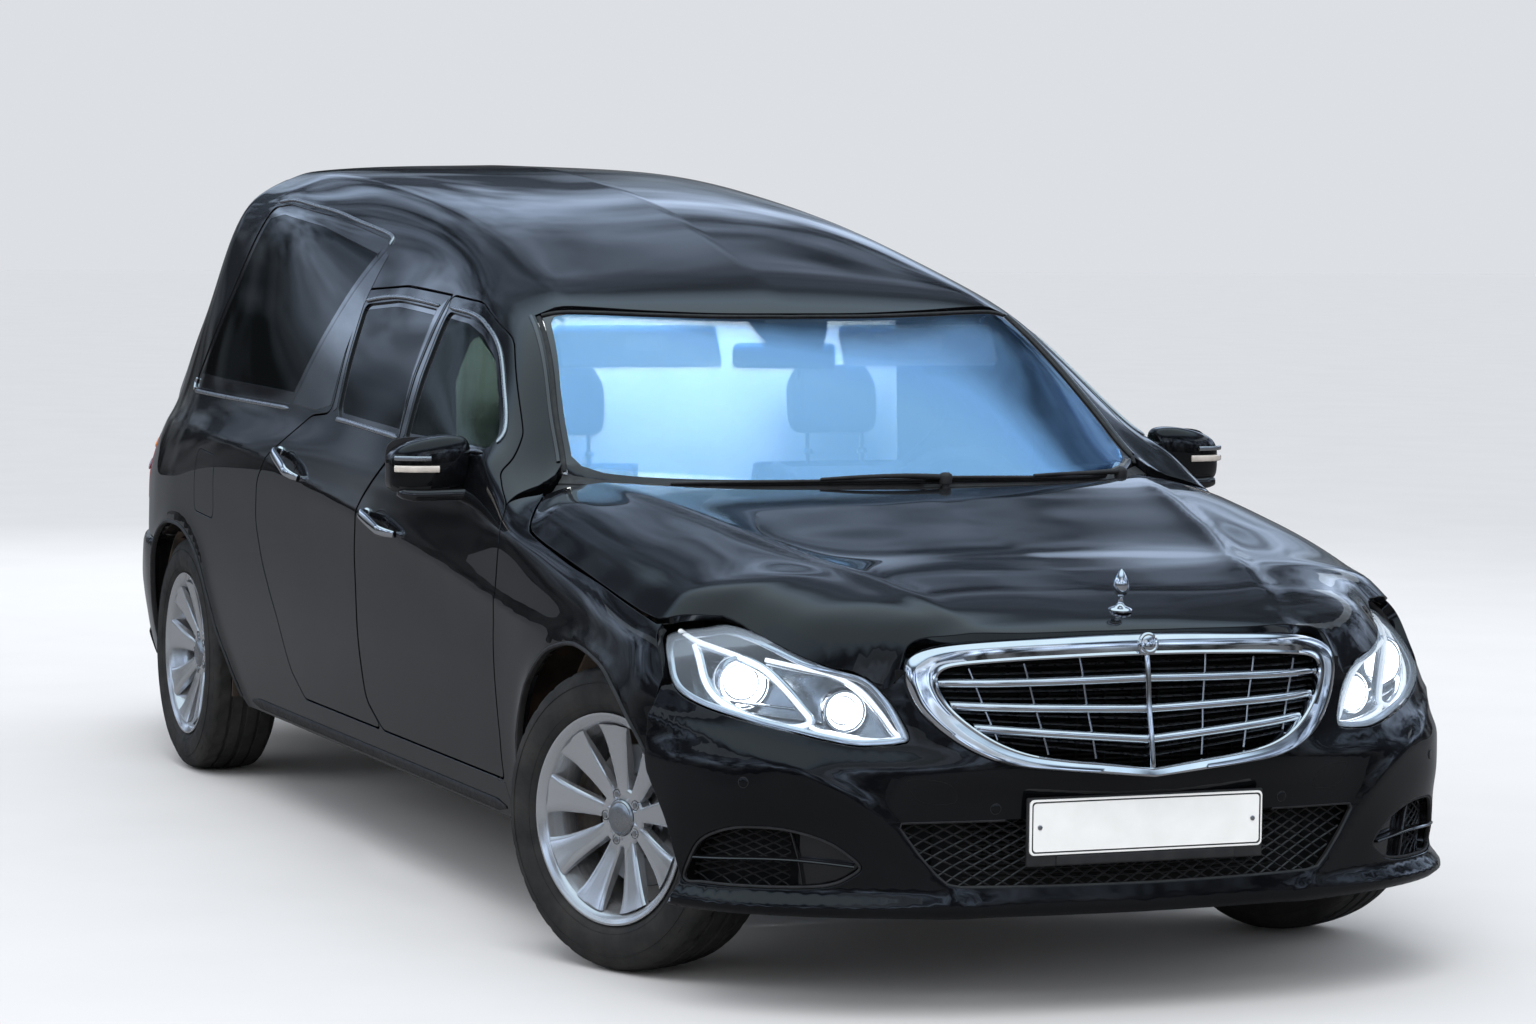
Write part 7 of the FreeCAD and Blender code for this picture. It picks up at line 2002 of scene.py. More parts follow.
zt = np.linspace(1.686, .622, 60); yt_ = np.interp(-zt, -GC[:, 1], GC[:, 0])
xe_ = np.interp(yt_, [3.6, 3.75, 4.05, 4.43], [.545, .548, .572, .574]) - .0055
go_ = np.concatenate([[[.004, 0], [.004, xe_[0] - .02]], np.stack([gu(zt[1:]), xe_[1:]], 1), [[gu(.622), 0]]])
wz = [(0, 1.565), (.30, 1.562), (.415, 1.553), (.445, 1.530), (.468, 1.350), (.484, 1.140), (.470, 1.112), (.40, 1.106), (0, 1.104)]
W_ = catmull(np.array([(x, z) for x, z in wz]), 5)
win_in = np.stack([gu(W_[:, 1]), np.clip(W_[:, 0], 0, None)], 1)
# the gate's skin is cut in two along the middle of the window: a ring shape on the half panel
outer_ring = np.concatenate([[[.004, 0], [.004, xe_[0] - .02]], np.stack([gu(zt[1:]), xe_[1:]], 1), [[gu(.622), 0], [gu(1.104), 0]], win_in[::-1][1:-1], [[gu(1.565), 0]]])
gp_, gF_ = triangulate(dense(outer_ring, .015), [], .018)
sym("tailgate_skin", gp_, gF_, gev, .030, [PAINT, PAINT_IN], "tailgate", "paint", fmid, replaces=("tailgate",), r=.0018)
gl_ = np.concatenate([win_in, ])
glp, glF = triangulate(dense(np.concatenate([win_in, [[win_in[-1][0], 0], [win_in[0][0], 0]]]), .015), [], .04)
sym("tailgate_window", glp, glF, gev, .004, [G_DARK], "tailgate", "glass_dark", fmid, replaces=("tailgate_glass",), r=.0004, out=-.003)
wo = offset(np.concatenate([win_in, win_in[::-1][1:-1] * [1, -1]]), .003)
wi = offset(np.concatenate([win_in, win_in[::-1][1:-1] * [1, -1]]), -.030)


def sgn_ev(uv):
    P, N = SG(np.stack([uv[:, 0], np.abs(uv[:, 1])], 1))
    s = np.sign(uv[:, 1]) + (uv[:, 1] == 0); P[:, 0] *= s; N[:, 0] *= s
    return P, N


bp_, bF_ = triangulate(dense(wo, .015), [dense(wi, .015)], .03)
shell("tailgate_window_border", bp_, bF_, sgn_ev, .005, [FRIT], "tailgate", "trim_black", out=-.0025, r=.0004)
P, N = sgn_ev(dense(wo, .015))
sweep("tailgate_window_seal", P, N, ring_profile(.010, .007, 8, 2.5), [RUBBER], "tailgate", "trim_black", closed=True)
# plain chrome strip over the plate, high stop lamp
xs = np.linspace(-.30, .30, 50)
P, N = sgn_ev(np.stack([np.full_like(xs, gu(.872)), xs], 1))
sweep("tailgate_strip", P + N * .003, N, ring_profile(.022, .014, 12, 2.6), [CHROME], "tailgate", "chrome", scale=np.clip(np.minimum(np.linspace(0, 1, 50), np.linspace(1, 0, 50)) / .03, .3, 1))
P, N = sgn_ev(np.stack([np.full(40, gu(1.640)), np.linspace(-.16, .16, 40)], 1))
sweep("stop_lamp_high", P + N * .001, N, ring_profile(.014, .008, 10, 2.8), [REDM], "tailgate", "lamp_red")
plate("rear_plate", 4.4385, .712, .824, .520, -1, ("rear_number_plate",), "tailgate")
B = Bag()
for sx in (-.15, .15):
    B.box((sx - .03, 4.415, .838), (sx + .03, 4.432, .850), 0, .003)
B.done("plate_lamps", [G_LENS], "tailgate", "lamp_clear")
P, N = sgn_ev(np.array([[gu(1.075), 0.0]]))
cap = Bag()
cap.lathe([(-.006, .012), (.010, .0125), (.018, .010), (.022, .006), (.0225, .0003)], P[0], N[0], 24, 0)
cap.tube([P[0] + N[0] * .014, P[0] + N[0] * .016 + np.array([.10, .0, .012]), P[0] + N[0] * .014 + np.array([.30, -.004, .014])], [.006, .005, .0035], 8, 0)
cap.tube([P[0] + N[0] * .009 + np.array([.04, 0, .008]), P[0] + N[0] * .008 + np.array([.36, -.004, .012])], .004, 8, 1)
cap.done("rear_wiper", [TRIM, RUBBER], "tailgate", "trim_black")

# ---- rear bumper
RB = [
    (.222, [(0, 4.440), (.30, 4.430), (.515, 4.400), (.645, 4.325), (.722, 4.200), (.770, 4.030), (.812, 3.850), (.818, 3.740)]),
    (.260, [(0, 4.500), (.30, 4.489), (.525, 4.458), (.668, 4.376), (.752, 4.244), (.802, 4.060), (.842, 3.850), (.850, 3.735)]),
    (.360, [(0, 4.536), (.30, 4.525), (.54, 4.487), (.69, 4.397), (.776, 4.252), (.827, 4.060), (.866, 3.860), (.874, 3.730)]),
    (.500, [(0, 4.551), (.30, 4.539), (.55, 4.501), (.705, 4.411), (.791, 4.263), (.843, 4.064), (.886, 3.860), (.896, 3.720)]),
    (.570, [(0, 4.549), (.30, 4.537), (.547, 4.498), (.703, 4.406), (.789, 4.260), (.843, 4.062), (.889, 3.860), (.900, 3.715)]),
    (.606, [(0, 4.538), (.30, 4.526), (.538, 4.486), (.692, 4.396), (.780, 4.252), (.838, 4.058), (.888, 3.855), (.900, 3.700)]),
    (.6225, [(0, 4.470), (.30, 4.462), (.500, 4.430), (.640, 4.350), (.735, 4.225), (.800, 4.050), (.862, 3.850), (.880, 3.690)]),
]


def build_rb():
    zk = np.array([b[0] for b in RB]); C = np.array([np.array(b[1]).ravel() for b in RB])
    zg = np.concatenate([np.arange(.222, .6226, .0067)])
    c = pchip(zk, C, zg).reshape(len(zg), 8, 2); sg = np.linspace(0, 7, 141)
    out = np.zeros((len(zg), 141, 3))
    for i in range(len(zg)):
        q = c[i]; ext = np.concatenate([[[-q[1][0], q[1][1]]], q]); L = catmull(ext, 20)[20:]
        idx = np.linspace(0, len(L) - 1, 141)
        out[i, :, 0] = np.interp(idx, np.arange(len(L)), L[:, 0]); out[i, :, 1] = np.interp(idx, np.arange(len(L)), L[:, 1])
    out[..., 2] = zg[:, None]; out[:, 0, 0] = 0
    out[..., 1] -= (.006 * np.exp(-((zg - .44) / .006)**2))[:, None]
    return zg, sg, out


ZR, SR, PR = build_rb()
RS = Surf(ZR, SR, PR)
if RS(np.array([[.4, .5]]))[1][0][1] < 0:
    RS.N = -RS.N


def rev(uv):
    P, N = RS(uv); m0 = uv[:, 1] < 1e-6; P[m0, 0] = 0; N[m0, 0] = 0
    return P, N / np.linalg.norm(N, axis=1, keepdims=True)


ar = ARCH_R[(ARCH_R[:, 1] > .228) & (ARCH_R[:, 1] < .612) & (ARCH_R[:, 0] > 3.5)]
ar = ar[np.argsort(ar[:, 1])]
rbo = np.concatenate([[[.2235, s] for s in np.arange(0, 6.2, .05)], np.stack([ar[:, 1], RS.v_at(ar[:, 1], ar[:, 0] + .004, 1, rising=False)], 1), [[.6215, s] for s in np.arange(6.5, -.01, -.05)]])
rp, rF = tri(rbo, [], .018)
sym("rear_bumper_skin", rp, rF, rev, .016, [PAINT, TRIM], "body", "paint", fmid, replaces=("rear_bumper",), r=.002)
for side, mir in (("left", False), ("right", True)):
    P, N = RS(np.stack([np.full(30, .335), np.linspace(2.35, 3.55, 30)], 1))
    sweep("rear_reflector_" + side, P + N * .0005, N, ring_profile(.030, .008, 12, 3.0), [REDM], "body", "lamp_red", mirror=mir)
    for k, sv in enumerate((.95, 2.2)):
        cap_on("rear_sensor_%d_%s" % (k, side), RS, (.475, sv), .0095, PAINT, .0012, mir, TRIM)
P, N = rev(np.stack([np.full(80, .278), np.linspace(0, 4.6, 80)], 1))
PL = np.concatenate([P[::-1], P[1:] * [-1, 1, 1]]); NL = np.concatenate([N[::-1], N[1:] * [-1, 1, 1]])
sweep("rear_apron", PL + NL * .001, NL, ring_profile(.075, .008, 10, 3.5), [TRIM], "body", "trim_black")
P, N = rev(np.stack([np.full(60, .612), np.linspace(0, 2.5, 60)], 1))
PL = np.concatenate([P[::-1], P[1:] * [-1, 1, 1]]) + np.array([0, -.014, .001]); NL = np.array([0, 0, 1.0])
sweep("bumper_load_strip", PL + NL * .001, NL, ring_profile(.040, .006, 10, 3.5), [SATIN], "body", "chrome")

# ---- tail lamp insides: bright divider and amber strip
for side, mir in (("left", False), ("right", True)):
    strip("tail_lamp_bar_" + side, [(3.95, .808), (4.10, .818), (4.25, .812), (4.36, .785)], .016, .006, REFLM, "body", mir, .0035, slot="lamp_clear")
    strip("tail_lamp_amber_" + side, [(4.04, .868), (4.12, .884), (4.24, .872), (4.33, .842)], .020, .006, AMBER, "body", mir, .003, slot="lamp_red")
    # dark lips round the wheel arches and their rubber edges
    for nm, arch in (("front", ARCH_F), ("rear", ARCH_R)):
        q = arch[(arch[:, 1] > .245)]
        if nm == "front":
            q = q[q[:, 0] > -.375]
        P, N = SB(YZ(q))
        sweep("arch_lip_%s_%s" % (nm, side), P - N * .004, N, ring_profile(.010, .016, 8, 2.6), [TRIM], "body", "trim_black", mirror=mir)

# ---- exhaust tip
B = Bag()
B.lathe([(-.10, .030), (.0, .0335), (.004, .0330), (.003, .0300), (-.06, .0285)], (-.42, 4.500, .250), (0, 1, 0), 40, 0)
# a near-black disc deep in the pipe paints the shade of its bore
B.lathe([(-.058, .0285), (-.060, .0003)], (-.42, 4.500, .250), (0, 1, 0), 40, 1)
B.done("exhaust_tip", [STEELM, SHADOW_BLACKM], "body", "steel")

for node, m_ in (("floor_pan", UNDER), ("bulkhead_cowl", UNDER), ("engine_block", IRON), ("propshaft", IRON), ("exhaust", EXHM), ("fuel_tank", UNDER), ("front_subframe", IRON), ("rear_axle", IRON),
                 ("wheel_arch_liners", LINERM), ("dashboard", DASHM), ("partition", PARTM), ("casket_deck", WOODM)):
    cad_mat(node, m_)

# =============================== cabin ===============================
def fine_box(h, r, n=6):
    """Rounded box with its flat faces left as single quads; the remesh below fills them."""
    return rounded_box(h, r, n)


def puff(V, F, warp, voxel=.0135, cap=.022, pressure=4.0):
    """Remesh, bend to shape, swell with pressurised cloth, cap the swelling and subdivide once."""
    sc = bpy.context.scene
    me = bpy.data.meshes.new("soft_tmp"); me.from_pydata([tuple(map(float, p)) for p in V], [], [tuple(f) for f in F]); me.update()
    o = bpy.data.objects.new("soft_tmp", me); sc.collection.objects.link(o)
    r = o.modifiers.new("r", "REMESH"); r.mode = "VOXEL"; r.voxel_size = voxel
    dg = bpy.context.evaluated_depsgraph_get(); dg.update()
    me2 = bpy.data.meshes.new_from_object(o.evaluated_get(dg)); o.modifiers.clear(); o.data = me2
    P0 = np.empty(len(me2.vertices) * 3); me2.vertices.foreach_get("co", P0); P0 = warp(P0.reshape(-1, 3))
    me2.vertices.foreach_set("co", P0.ravel()); me2.update()
    c = o.modifiers.new("c", "CLOTH"); st = c.settings
    st.quality = 4; st.use_pressure = True; st.uniform_pressure_force = pressure; st.effector_weights.gravity = 0.0
    for f in range(1, 21):
        sc.frame_set(f)
    dg = bpy.context.evaluated_depsgraph_get()
    ev = o.evaluated_get(dg); em = ev.to_mesh()
    P1 = np.empty(len(em.vertices) * 3); em.vertices.foreach_get("co", P1); P1 = P1.reshape(-1, 3).copy()
    ev.to_mesh_clear(); o.modifiers.clear(); sc.frame_set(1)
    d = P1 - P0; L = np.maximum(np.linalg.norm(d, axis=1, keepdims=True), 1e-9)
    P = P0 + d / L * cap * np.tanh(L / cap)
    me2.vertices.foreach_set("co", P.ravel()); me2.update()
    s = o.modifiers.new("s", "SUBSURF"); s.levels = 1; s.render_levels = 1
    dg = bpy.context.evaluated_depsgraph_get(); dg.update()
    me3 = bpy.data.meshes.new_from_object(o.evaluated_get(dg))
    Vo = np.empty(len(me3.vertices) * 3); me3.vertices.foreach_get("co", Vo); Vo = Vo.reshape(-1, 3)
    No = np.empty(len(me3.vertices) * 3); me3.vertices.foreach_get("normal", No); No = No.reshape(-1, 3)
    Fo = [tuple(p.vertices) for p in me3.polygons]
    bpy.data.objects.remove(o, do_unlink=True)
    for m_ in (me, me2, me3):
        bpy.data.meshes.remove(m_)
    return Vo, No, Fo


def sst(x, a, b):
    t = np.clip((x - a) / (b - a), 0, 1)
    return t * t * (3 - 2 * t)


def warp_base(P):
    x, y, z = P.T.copy()
    t = y / .265                                    # -1 front .. 1 rear
    top = sst(z, -.02, .045)
    z2 = z + top * (.022 * sst(np.abs(x), .13, .20) + .014 * sst(-t, .2, .9) - .010 * sst(t, 0, 1))
    x2 = x * (1 - .05 * sst(-t, .4, 1))
    return np.stack([x2, 1.336 + y, .482 + z2], 1)


def warp_back(P):
    x, t, s = P.T.copy()                            # t thickness (front is negative), s along the back
    k = s / .245
    fr = sst(-t, -.01, .03)
    t2 = t - fr * (.024 * sst(np.abs(x), .13, .20) * (1 - .6 * sst(k, .2, 1))) - fr * .012 * np.exp(-((s + .10) / .10)**2)
    x2 = x * (1 - .10 * sst(k, .1, 1) - .02 * sst(-k, .3, 1))
    base = np.array([1.540, .480]); e = np.array([.2233, .9748]); n = np.array([.9748, -.2233])
    ss_ = s + .262; tt = t2 + .050
    yz = base[None] + e[None] * ss_[:, None] + n[None] * tt[:, None]
    return np.stack([x2, yz[:, 0], yz[:, 1]], 1)


def warp_rest(P):
    x, t, s = P.T.copy()
    k = s / .088
    x2 = x * (1 - .16 * sst(k, .25, 1) - .05 * sst(-k, .2, 1))
    t2 = t * (1 - .25 * sst(k, .2, 1)) + .012 * (x / .125)**2
    return np.stack([x2, 1.716 + t2 + .10 * s, 1.114 + s], 1)


def seams(V, N, kind):
    """Sewn channels pressed into the swollen pad; the middle panel gets its own cloth."""
    V = V.copy(); x = np.abs(V[:, 0])
    if kind == "base":
        f = sst(N[:, 2], .2, .6); mid = (x < .145) & (N[:, 2] > .25)
        d = .0055 * np.exp(-((x - .150) / .0065)**2)
        for y0 in (1.20, 1.315, 1.43):
            d = np.maximum(d, .0035 * np.exp(-((V[:, 1] - y0) / .0065)**2) * (x < .150))
        V -= N * (f * d)[:, None]
    elif kind == "back":
        f = sst(-N[:, 1], .2, .6); mid = (x < .140) & (N[:, 1] < -.25)
        d = .0055 * np.exp(-((x - .145) / .0065)**2)
        for z0 in (.60, .70, .80, .89):
            d = np.maximum(d, .0035 * np.exp(-((V[:, 2] - z0) / .0065)**2) * (x < .145))
        V -= N * (f * d)[:, None]
    else:
        mid = np.zeros(len(V), bool)
        d = .0035 * np.exp(-((np.abs(V[:, 0]) - .098) / .006)**2) * sst(-N[:, 1], .1, .5)
        V -= N * d[:, None]
    return V, mid


PADS = []
for kind, h, r, wp, vx, cp in (("base", (.245, .262, .048), .034, warp_base, .0150, .022), ("back", (.228, .030, .246), .026, warp_back, .0150, .022), ("rest", (.122, .032, .090), .028, warp_rest, .0105, .016)):
    V_, F_ = fine_box(h, r)
    Vs, Ns, Fs = puff(V_, F_, wp, vx, cp)
    Vs, mid_ = seams(Vs, Ns, kind)
    fm_ = [1 if mid_[list(f)].all() else 0 for f in Fs]
    for side, sx in (("left", 1), ("right", -1)):
        V2_ = Vs + np.array([sx * .370, 0, 0])
        o_ = mk({"base": "seat_cushion_", "back": "seat_back_pad_", "rest": "head_restraint_"}[kind] + side, V2_, Fs, [LEATHER, LEATHER2], "body", "seat_leather", fmat=fm_,
                replaces=("front_seats",) if kind == "base" and sx > 0 else ())
for side, sx in (("left", 1), ("right", -1)):
    B = Bag(); c = sx * .370
    # runners, side covers, recliner cover, back shell and the two chrome posts
    for xx in (-.20, .20):
        B.box((c + xx - .018, 1.10, .338), (c + xx + .018, 1.56, .362), 2, .004)
        B.box((c + xx - .026, 1.14, .360), (c + xx + .026, 1.50, .400), 1, .010)
    B.box((c - .238, 1.10, .395), (c + .238, 1.57, .436), 1, .016)
    for xx in (-.252, .252):
        lo_, hi_ = min(c + xx, c + xx * .90), max(c + xx, c + xx * .90)
        B.box((lo_, 1.12, .385), (hi_, 1.60, .462), 1, .012)
        B.lathe([(-.012, .052), (.010, .050), (.014, .040), (.015, .002)], (c + xx * .955, 1.60, .47), (math.copysign(1, xx), 0, 0), 28, 1)
    ss_ = np.linspace(.02, .500, 16); pr_t = np.array([.090, .112, .118, .116])
    rows = []
    for s_ in ss_:
        w_ = .232 * (1 - .10 * float(sst(np.array([s_]), .30, .5)[0]))
        row = []
        for xx, tt in ((-w_, .070), (-w_, .100), (-w_ * .86, .116), (-w_ * .4, .119), (0, .120), (w_ * .4, .119), (w_ * .86, .116), (w_, .100), (w_, .070), (w_ * .5, .066), (-w_ * .5, .066)):
            yz = np.array([1.540, .480]) + np.array([.2233, .9748]) * s_ + np.array([.9748, -.2233]) * (tt - .012 * (s_ > .485))
            row.append((c + xx, yz[0], yz[1]))
        rows.append(row)
    K_ = len(rows[0]); V_ = np.array(rows).reshape(-1, 3)
    F_ = [(i * K_ + j, i * K_ + (j + 1) % K_, (i + 1) * K_ + (j + 1) % K_, (i + 1) * K_ + j) for i in range(len(rows) - 1) for j in range(K_)]
    F_ += [tuple(range(K_))[::-1], tuple((len(rows) - 1) * K_ + j for j in range(K_))]
    B.add(V_, F_, 1)
    for xx in (-.075, .075):
        B.tube([(c + xx, 1.700, .950), (c + xx, 1.705, 1.00), (c + xx, 1.708, 1.060)], .0062, 14, 0)
        B.lathe([(-.004, .016), (.006, .0155), (.010, .012), (.011, .006)], (c + xx, 1.701, .978), (0, .05, 1), 20, 0)
    B.done("seat_frame_" + side, [CHROME, DASHM, STEELM], "body", "dash_plastic", auto=40)

# ---- steering wheel
SWC = np.array([.370, .985, .862]); SWD = np.array([0, math.cos(math.radians(25)), math.sin(math.radians(25))]); SWU = np.array([0, -SWD[2], SWD[1]])


def sw_pt(x, u, d=0.0):
    return SWC + np.array([x, 0, 0]) + SWU * u + SWD * d


B = Bag()
aa = np.linspace(0, 2 * np.pi, 24, endpoint=False)
prof_ = [(.0165 * math.sin(t), .185 + .0145 * math.cos(t)) for t in aa]
B.lathe(prof_, SWC, SWD, 84, 0, closed=True)
for sgx in (-1, 1):
    B.tube([sw_pt(sgx * .060, .000, -.012), sw_pt(sgx * .110, .004, -.006), sw_pt(sgx * .178, .004, .0)], [.030, .020, .014], 16, 1)
    B.box(tuple(sw_pt(sgx * .118, .0, .004) - np.array([.026, .004, .016])), tuple(sw_pt(sgx * .118, .0, .004) + np.array([.026, .006, .016])), 2, .004)
    B.tube([sw_pt(sgx * .022, -.060, -.014), sw_pt(sgx * .026, -.110, -.008), sw_pt(sgx * .030, -.178, .0)], [.016, .012, .010], 14, 2)
V_, F_ = rounded_box((.078, .062, .030), .026, 6)
V_ = V_ * 1.0
k_ = 1 - .22 * sst(-V_[:, 1], .0, .06)
V_ = np.array([sw_pt(v[0] * kk, v[1], v[2] + .006) for v, kk in zip(V_, k_)])
B.add(V_, F_, 1)
B.lathe([(.034, .026), (.0375, .024), (.0385, .002)], SWC, SWD, 36, 2)
B.done("steering_wheel_rim", [LEATHER, DASHM, SATIN], "steering_wheel", "dash_plastic", auto=45, replaces=("steering_wheel",))
B = Bag()
B.tube([sw_pt(0, 0, -.035), sw_pt(0, 0, -.10), sw_pt(0, 0, -.17)], [.048, .052, .060], 28, 0)
for sgx in (-1, 1):
    B.tube([sw_pt(sgx * .045, .01, -.07), sw_pt(sgx * .12, .012, -.06), sw_pt(sgx * .175, .02, -.052)], [.009, .008, .007], 12, 0)
B.done("steering_column_cover", [DASHM], "body", "dash_plastic")

# ---- sun visors, inner mirror, sensor housing
for nm_, x0, x1 in (("right", -.572, -.158), ("left", .160, .566)):
    B = Bag()
    xc_, hw = (x0 + x1) / 2, (x1 - x0) / 2
    V_, F_ = rounded_box((hw, .011, .064), .0105, 5)
    # corners in the visor's own plane rounded by pulling them in
    q = np.maximum(np.abs(V_[:, 0]) - (hw - .030), 0); p_ = np.maximum(np.abs(V_[:, 2]) - (.064 - .030), 0)
    V_[:, 2] -= np.sign(V_[:, 2]) * np.where((q > 0) & (p_ > 0), np.minimum(p_, .5 * q), 0)
    V_[:, 1] += .012 * (V_[:, 0] / hw)**2
    ang = math.radians(28)
    Y_ = V_[:, 1] * math.cos(ang) + V_[:, 2] * math.sin(ang); Z_ = -V_[:, 1] * math.sin(ang) + V_[:, 2] * math.cos(ang)
    V_ = np.stack([V_[:, 0] + xc_, Y_ + 1.150, Z_ + 1.276], 1)
    B.add(V_, F_, 0)
    sg_ = math.copysign(1, xc_)
    B.tube([(xc_ + sg_ * hw * .86, 1.182, 1.330), (xc_ + sg_ * hw * .95, 1.190, 1.342), (xc_ + sg_ * hw * .99, 1.200, 1.352)], .005, 10, 1)
    B.box((xc_ - .045, 1.118, 1.262), (xc_ + .045, 1.1205, 1.300), 2, .001)
    B.done("sun_visor_" + nm_, [LININGM, SATIN, PLATEM], "body", "dash_plastic", auto=45)
B = Bag()
V_, F_ = rounded_box((.124, .017, .033), .016, 6)
V_[:, 2] *= 1 - .10 * (V_[:, 0] / .124)**2
ca, sa = math.cos(math.radians(-14)), math.sin(math.radians(-14))
V_ = np.stack([V_[:, 0] * ca - V_[:, 1] * sa - .02, V_[:, 0] * sa + V_[:, 1] * ca + 1.085, V_[:, 2] + 1.250], 1)
B.add(V_, F_, 0)
B.tube([(-.01, 1.10, 1.275), (-.004, 1.118, 1.305), (0, 1.118, 1.330)], [.012, .011, .014], 14, 0)
B.lathe([(-.001, .0065), (.012, .006), (.016, .004), (.017, .0005)], (.02, 1.082, 1.214), (0, -.1, -1), 12, 0)
B.done("inner_mirror", [TRIM], "body", "trim_black", auto=45)
V_, F_ = [], []
st_ = np.linspace(0, 1, 9)
for i, t in enumerate(st_):
    yy_c, zz_c = 1.040 + .125 * t, 1.286 + .062 * t
    w_ = .070 + .028 * t - .030 * max(0, .25 - t) * 2; dth = .026 + .016 * math.sin(math.pi * t)
    for a in np.linspace(0, 2 * np.pi, 20, endpoint=False):
        cx_, sx_ = math.cos(a), math.sin(a)
        V_.append((w_ * math.copysign(abs(cx_)**.5, cx_) + .008, yy_c + dth * .45 * max(-.55, math.copysign(abs(sx_)**.6, sx_)), zz_c - dth * .9 * max(-.55, math.copysign(abs(sx_)**.6, sx_)) * 1.0))
F_ = [(i * 20 + j, i * 20 + (j + 1) % 20, (i + 1) * 20 + (j + 1) % 20, (i + 1) * 20 + j) for i in range(8) for j in range(20)]
F_ += [tuple(range(20))[::-1], tuple(160 + j for j in range(20))]
mk("sensor_housing", V_, F_, [GLOSSB], "body", "trim_black", auto=40)

# ---- instrument hood, vents, screen, console lids
B = Bag()
V_, F_ = rounded_box((.165, .062, .030), .028, 6)
V_[:, 2] += .026 * np.cos(np.clip(V_[:, 0] / .165, -1, 1) * np.pi / 2)
B.add(V_ + np.array([.370, .812, .935]), F_, 0)
V_, F_ = rounded_box((.675, .125, .018), .017, 5)
V_[:, 2] += -.020 * (V_[:, 1] / .125)**2 - .010 * (V_[:, 0] / .675)**4
B.add(V_ + np.array([0, .735, .958]), F_, 0)
V_, F_ = rounded_box((.095, .010, .055), .009, 4)
B.add(V_ + np.array([0, .905, .900]), F_, 1)
for xx in (-.60, -.155, .155, .60):
    B.lathe([(-.01, .040), (.006, .040), (.009, .037), (.006, .033), (-.008, .031), (-.012, .002)], (xx, .900, .845), (0, 1, -.1), 32, 2)
    for zz in (-.012, .0, .012):
        B.box((xx - .028, .896, .845 + zz - .0015), (xx + .028, .903, .845 + zz + .0015), 0, .001)
V_, F_ = rounded_box((.095, .16, .022), .018, 5)
B.add(V_ + np.array([0, 1.36, .655]), F_, 3)
B.lathe([(-.01, .030), (.012, .030), (.016, .027), (.017, .002)], (0, 1.08, .640), (0, 0, 1), 32, 2)
B.done("dash_details", [DASHM, GLOSSB, SATIN, LEATHER], "body", "dash_plastic", auto=45)

# ---- door armrests and pulls, deck rails and rollers
for side, mir in (("left", False), ("right", True)):
    for nm_, y0, y1 in (("front", .74, 1.38), ("rear", 1.72, 2.24)):
        B = Bag()
        V_, F_ = rounded_box((.034, (y1 - y0) / 2, .034), .022, 5)
        V_[:, 2] += .018 * (V_[:, 1] / ((y1 - y0) / 2))
        B.add(V_ * [1, -1, 1] @ np.diag([1, 1, 1]) + np.array([.826, (y0 + y1) / 2, .700]), [f[::-1] for f in F_], 0)
        V_, F_ = rounded_box((.010, (y1 - y0) / 2 * .92, .085), .009, 4)
        B.add(V_ + np.array([.853, (y0 + y1) / 2, .560]), F_, 1)
        B.tube([(.832, y0 + .08, .775), (.815, y0 + .10, .790), (.812, y0 + .16, .795), (.815, y0 + .22, .790), (.832, y0 + .24, .775)], .008, 12, 2)
        B.done("door_armrest_%s_%s" % (nm_, side), [LEATHER, DASHM, CHROME], "%s_door_%s" % (nm_, side), "dash_plastic", auto=45, mirror=mir)
B = Bag()
for yy in (2.10, 2.50, 2.90, 3.30, 3.70, 4.04):
    B.tube([(-.402, yy, .618), (-.20, yy, .618), (.20, yy, .618), (.402, yy, .618)], .0172, 24, 0)
    for sgx in (-1, 1):
        B.box((sgx * .424 - .018, yy - .030, .606), (sgx * .424 + .018, yy + .030, .632), 1, .006)
for sgx in (-1, 1):
    B.tube([(sgx * .480, 1.93, .616), (sgx * .480, 2.4, .616), (sgx * .480, 3.2, .616), (sgx * .480, 4.06, .616)], .010, 14, 1)
    B.tube([(sgx * .300, 1.93, .609), (sgx * .300, 4.08, .609)], .007, 12, 1)
    for yy in (1.95, 2.65, 3.35, 4.05):
        B.lathe([(-.004, .020), (.002, .020), (.010, .013), (.012, .004)], (sgx * .480, yy, .606), (0, 0, 1), 20, 1)
B.done("deck_rollers", [STEELM, CHROME], "body", "steel", auto=45)

# ---- closing panels behind the front wheel arches
zz_ = np.linspace(.33, .865, 16)
for side, mir in (("left", False), ("right", True)):
    P_, N_ = SB(YZ([(.492, z) for z in zz_]))
    out_ = [(p[0] - .012, .492, z) for p, z in zip(P_, zz_)]
    ring_ = [(.600, .492, .33)] + out_ + [(.600, .492, .865)]
    K_ = len(ring_)
    V_ = np.array(ring_ + [(x, y + .006, z) for x, y, z in ring_])
    F_ = [tuple(range(K_)), tuple(range(K_, 2 * K_))[::-1]] + [(i, (i + 1) % K_ + 0, (i + 1) % K_ + K_, i + K_)[::-1] for i in range(K_)]
    mk("scuttle_side_panel_" + side, V_, F_, [LINERM], "body", "liner", auto=35, mirror=mir)

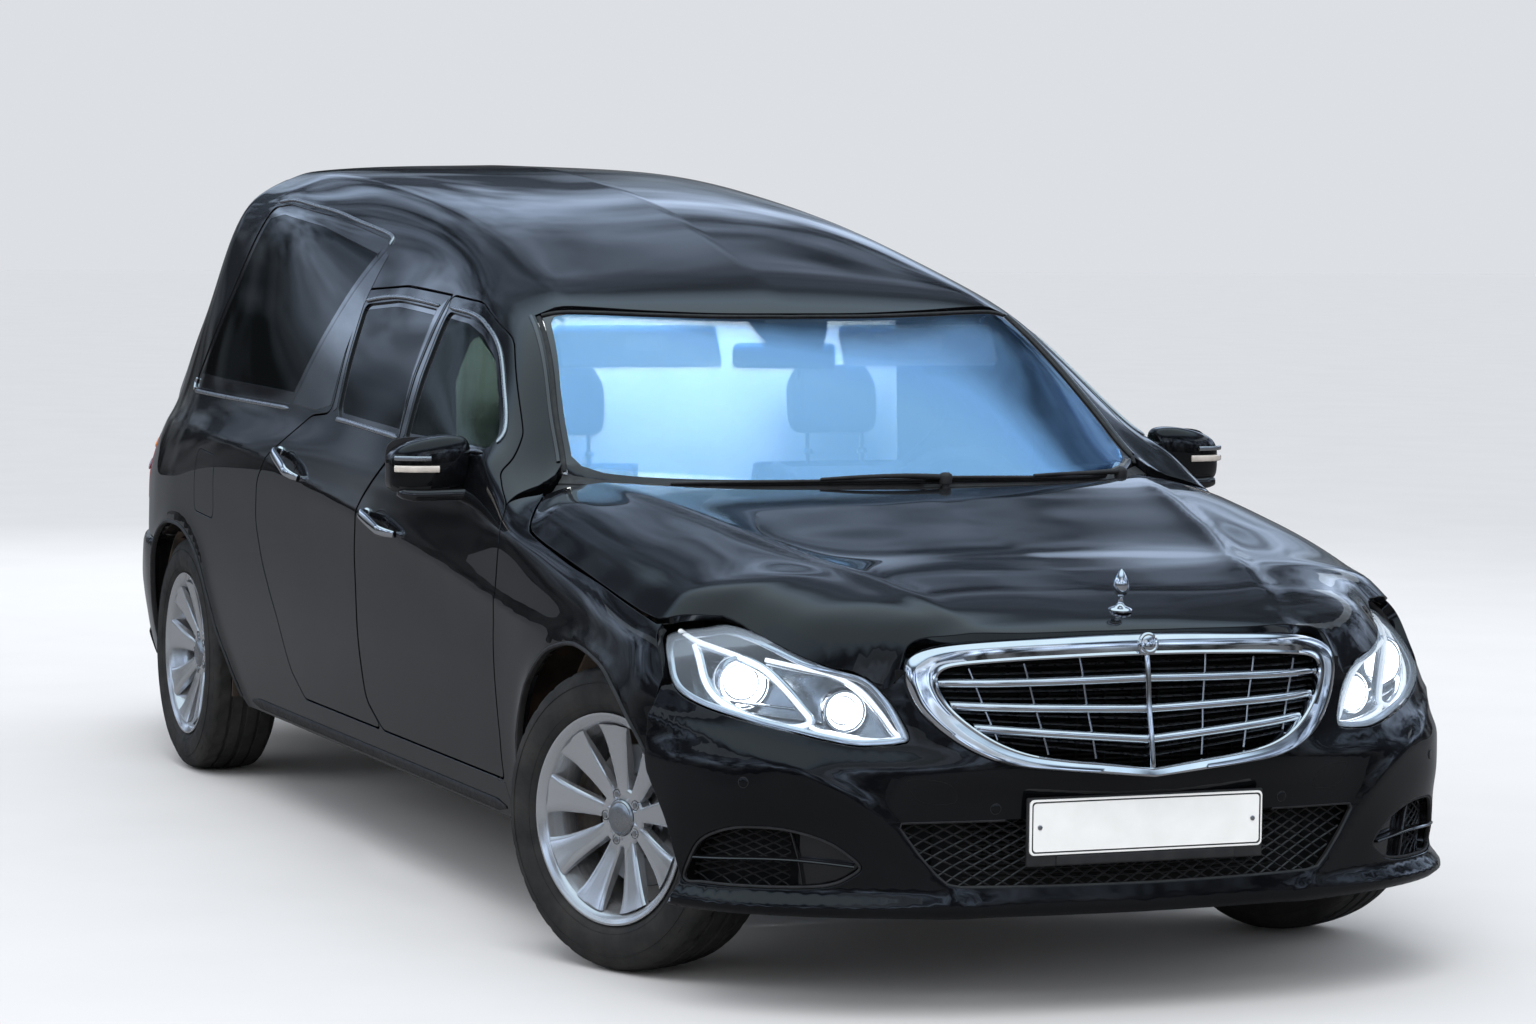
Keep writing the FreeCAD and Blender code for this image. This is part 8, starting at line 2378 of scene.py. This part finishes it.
# ---- rear wheel houses: a curved shell over the tyre with its inner wall
n_ = 45; aw_ = np.radians(np.linspace(-12, 192, n_))
for side, mir in (("left", False), ("right", True)):
    loops_ = []
    for xw, rw in ((.862, .392), (.606, .392), (.611, .387), (.862, .387)):
        loops_.append(np.stack([np.full(n_, xw), 3.374 + rw * np.cos(aw_), .326 + rw * np.sin(aw_)], 1))
    V_ = np.concatenate(loops_)
    A_, B_, C_, D_ = 0, n_, 2 * n_, 3 * n_
    F_ = []
    for p_, q_ in ((A_, B_), (C_, D_), (D_, A_)):
        F_ += [(p_ + i, p_ + i + 1, q_ + i + 1, q_ + i) for i in range(n_ - 1)]
    F_ += [tuple(range(B_, B_ + n_)), tuple(range(C_, C_ + n_))[::-1], (B_, B_ + n_ - 1, C_ + n_ - 1, C_), (A_, B_, C_, D_), (D_ + n_ - 1, C_ + n_ - 1, B_ + n_ - 1, A_ + n_ - 1)]
    vol_ = sum(float(np.dot(V_[f[0]], np.cross(V_[f[k]], V_[f[k + 1]]))) for f in F_ for k in range(1, len(f) - 1))
    if vol_ < 0:
        F_ = [f[::-1] for f in F_]
    mk("wheel_house_rear_" + side, V_, F_, [LINERM], "body", "liner", auto=35, mirror=mir)

floor = bpy.data.meshes.new("floor")
floor.from_pydata([(-60, -60, 0), (60, -60, 0), (60, 60, 0), (-60, 60, 0)], [], [(0, 1, 2, 3)])
floor_o = bpy.data.objects.new("floor", floor)
bpy.context.scene.collection.objects.link(floor_o)
FLOORM = mat("floor_pale", (0.66, 0.66, 0.665), (0.68, 0.68, 0.685), rough=0.75, rough2=0.85, scale=2, bump=0.02, bump_scale=60, spec=0.2)
# the ground seen in the paint is a darker one than the floor the car stands on
fn_, fl_ = FLOORM.node_tree.nodes, FLOORM.node_tree.links
fb_ = fn_["Principled BSDF"]; src_ = fb_.inputs["Base Color"].links[0].from_socket
lp_ = fn_.new("ShaderNodeLightPath"); mx_ = fn_.new("ShaderNodeMixRGB"); mx_.blend_type = "MULTIPLY"; mx_.inputs[2].default_value = (0.20, 0.20, 0.205, 1)
fl_.new(lp_.outputs["Is Glossy Ray"], mx_.inputs[0]); fl_.new(src_, mx_.inputs[1]); fl_.new(mx_.outputs[0], fb_.inputs["Base Color"])
floor.materials.append(FLOORM)
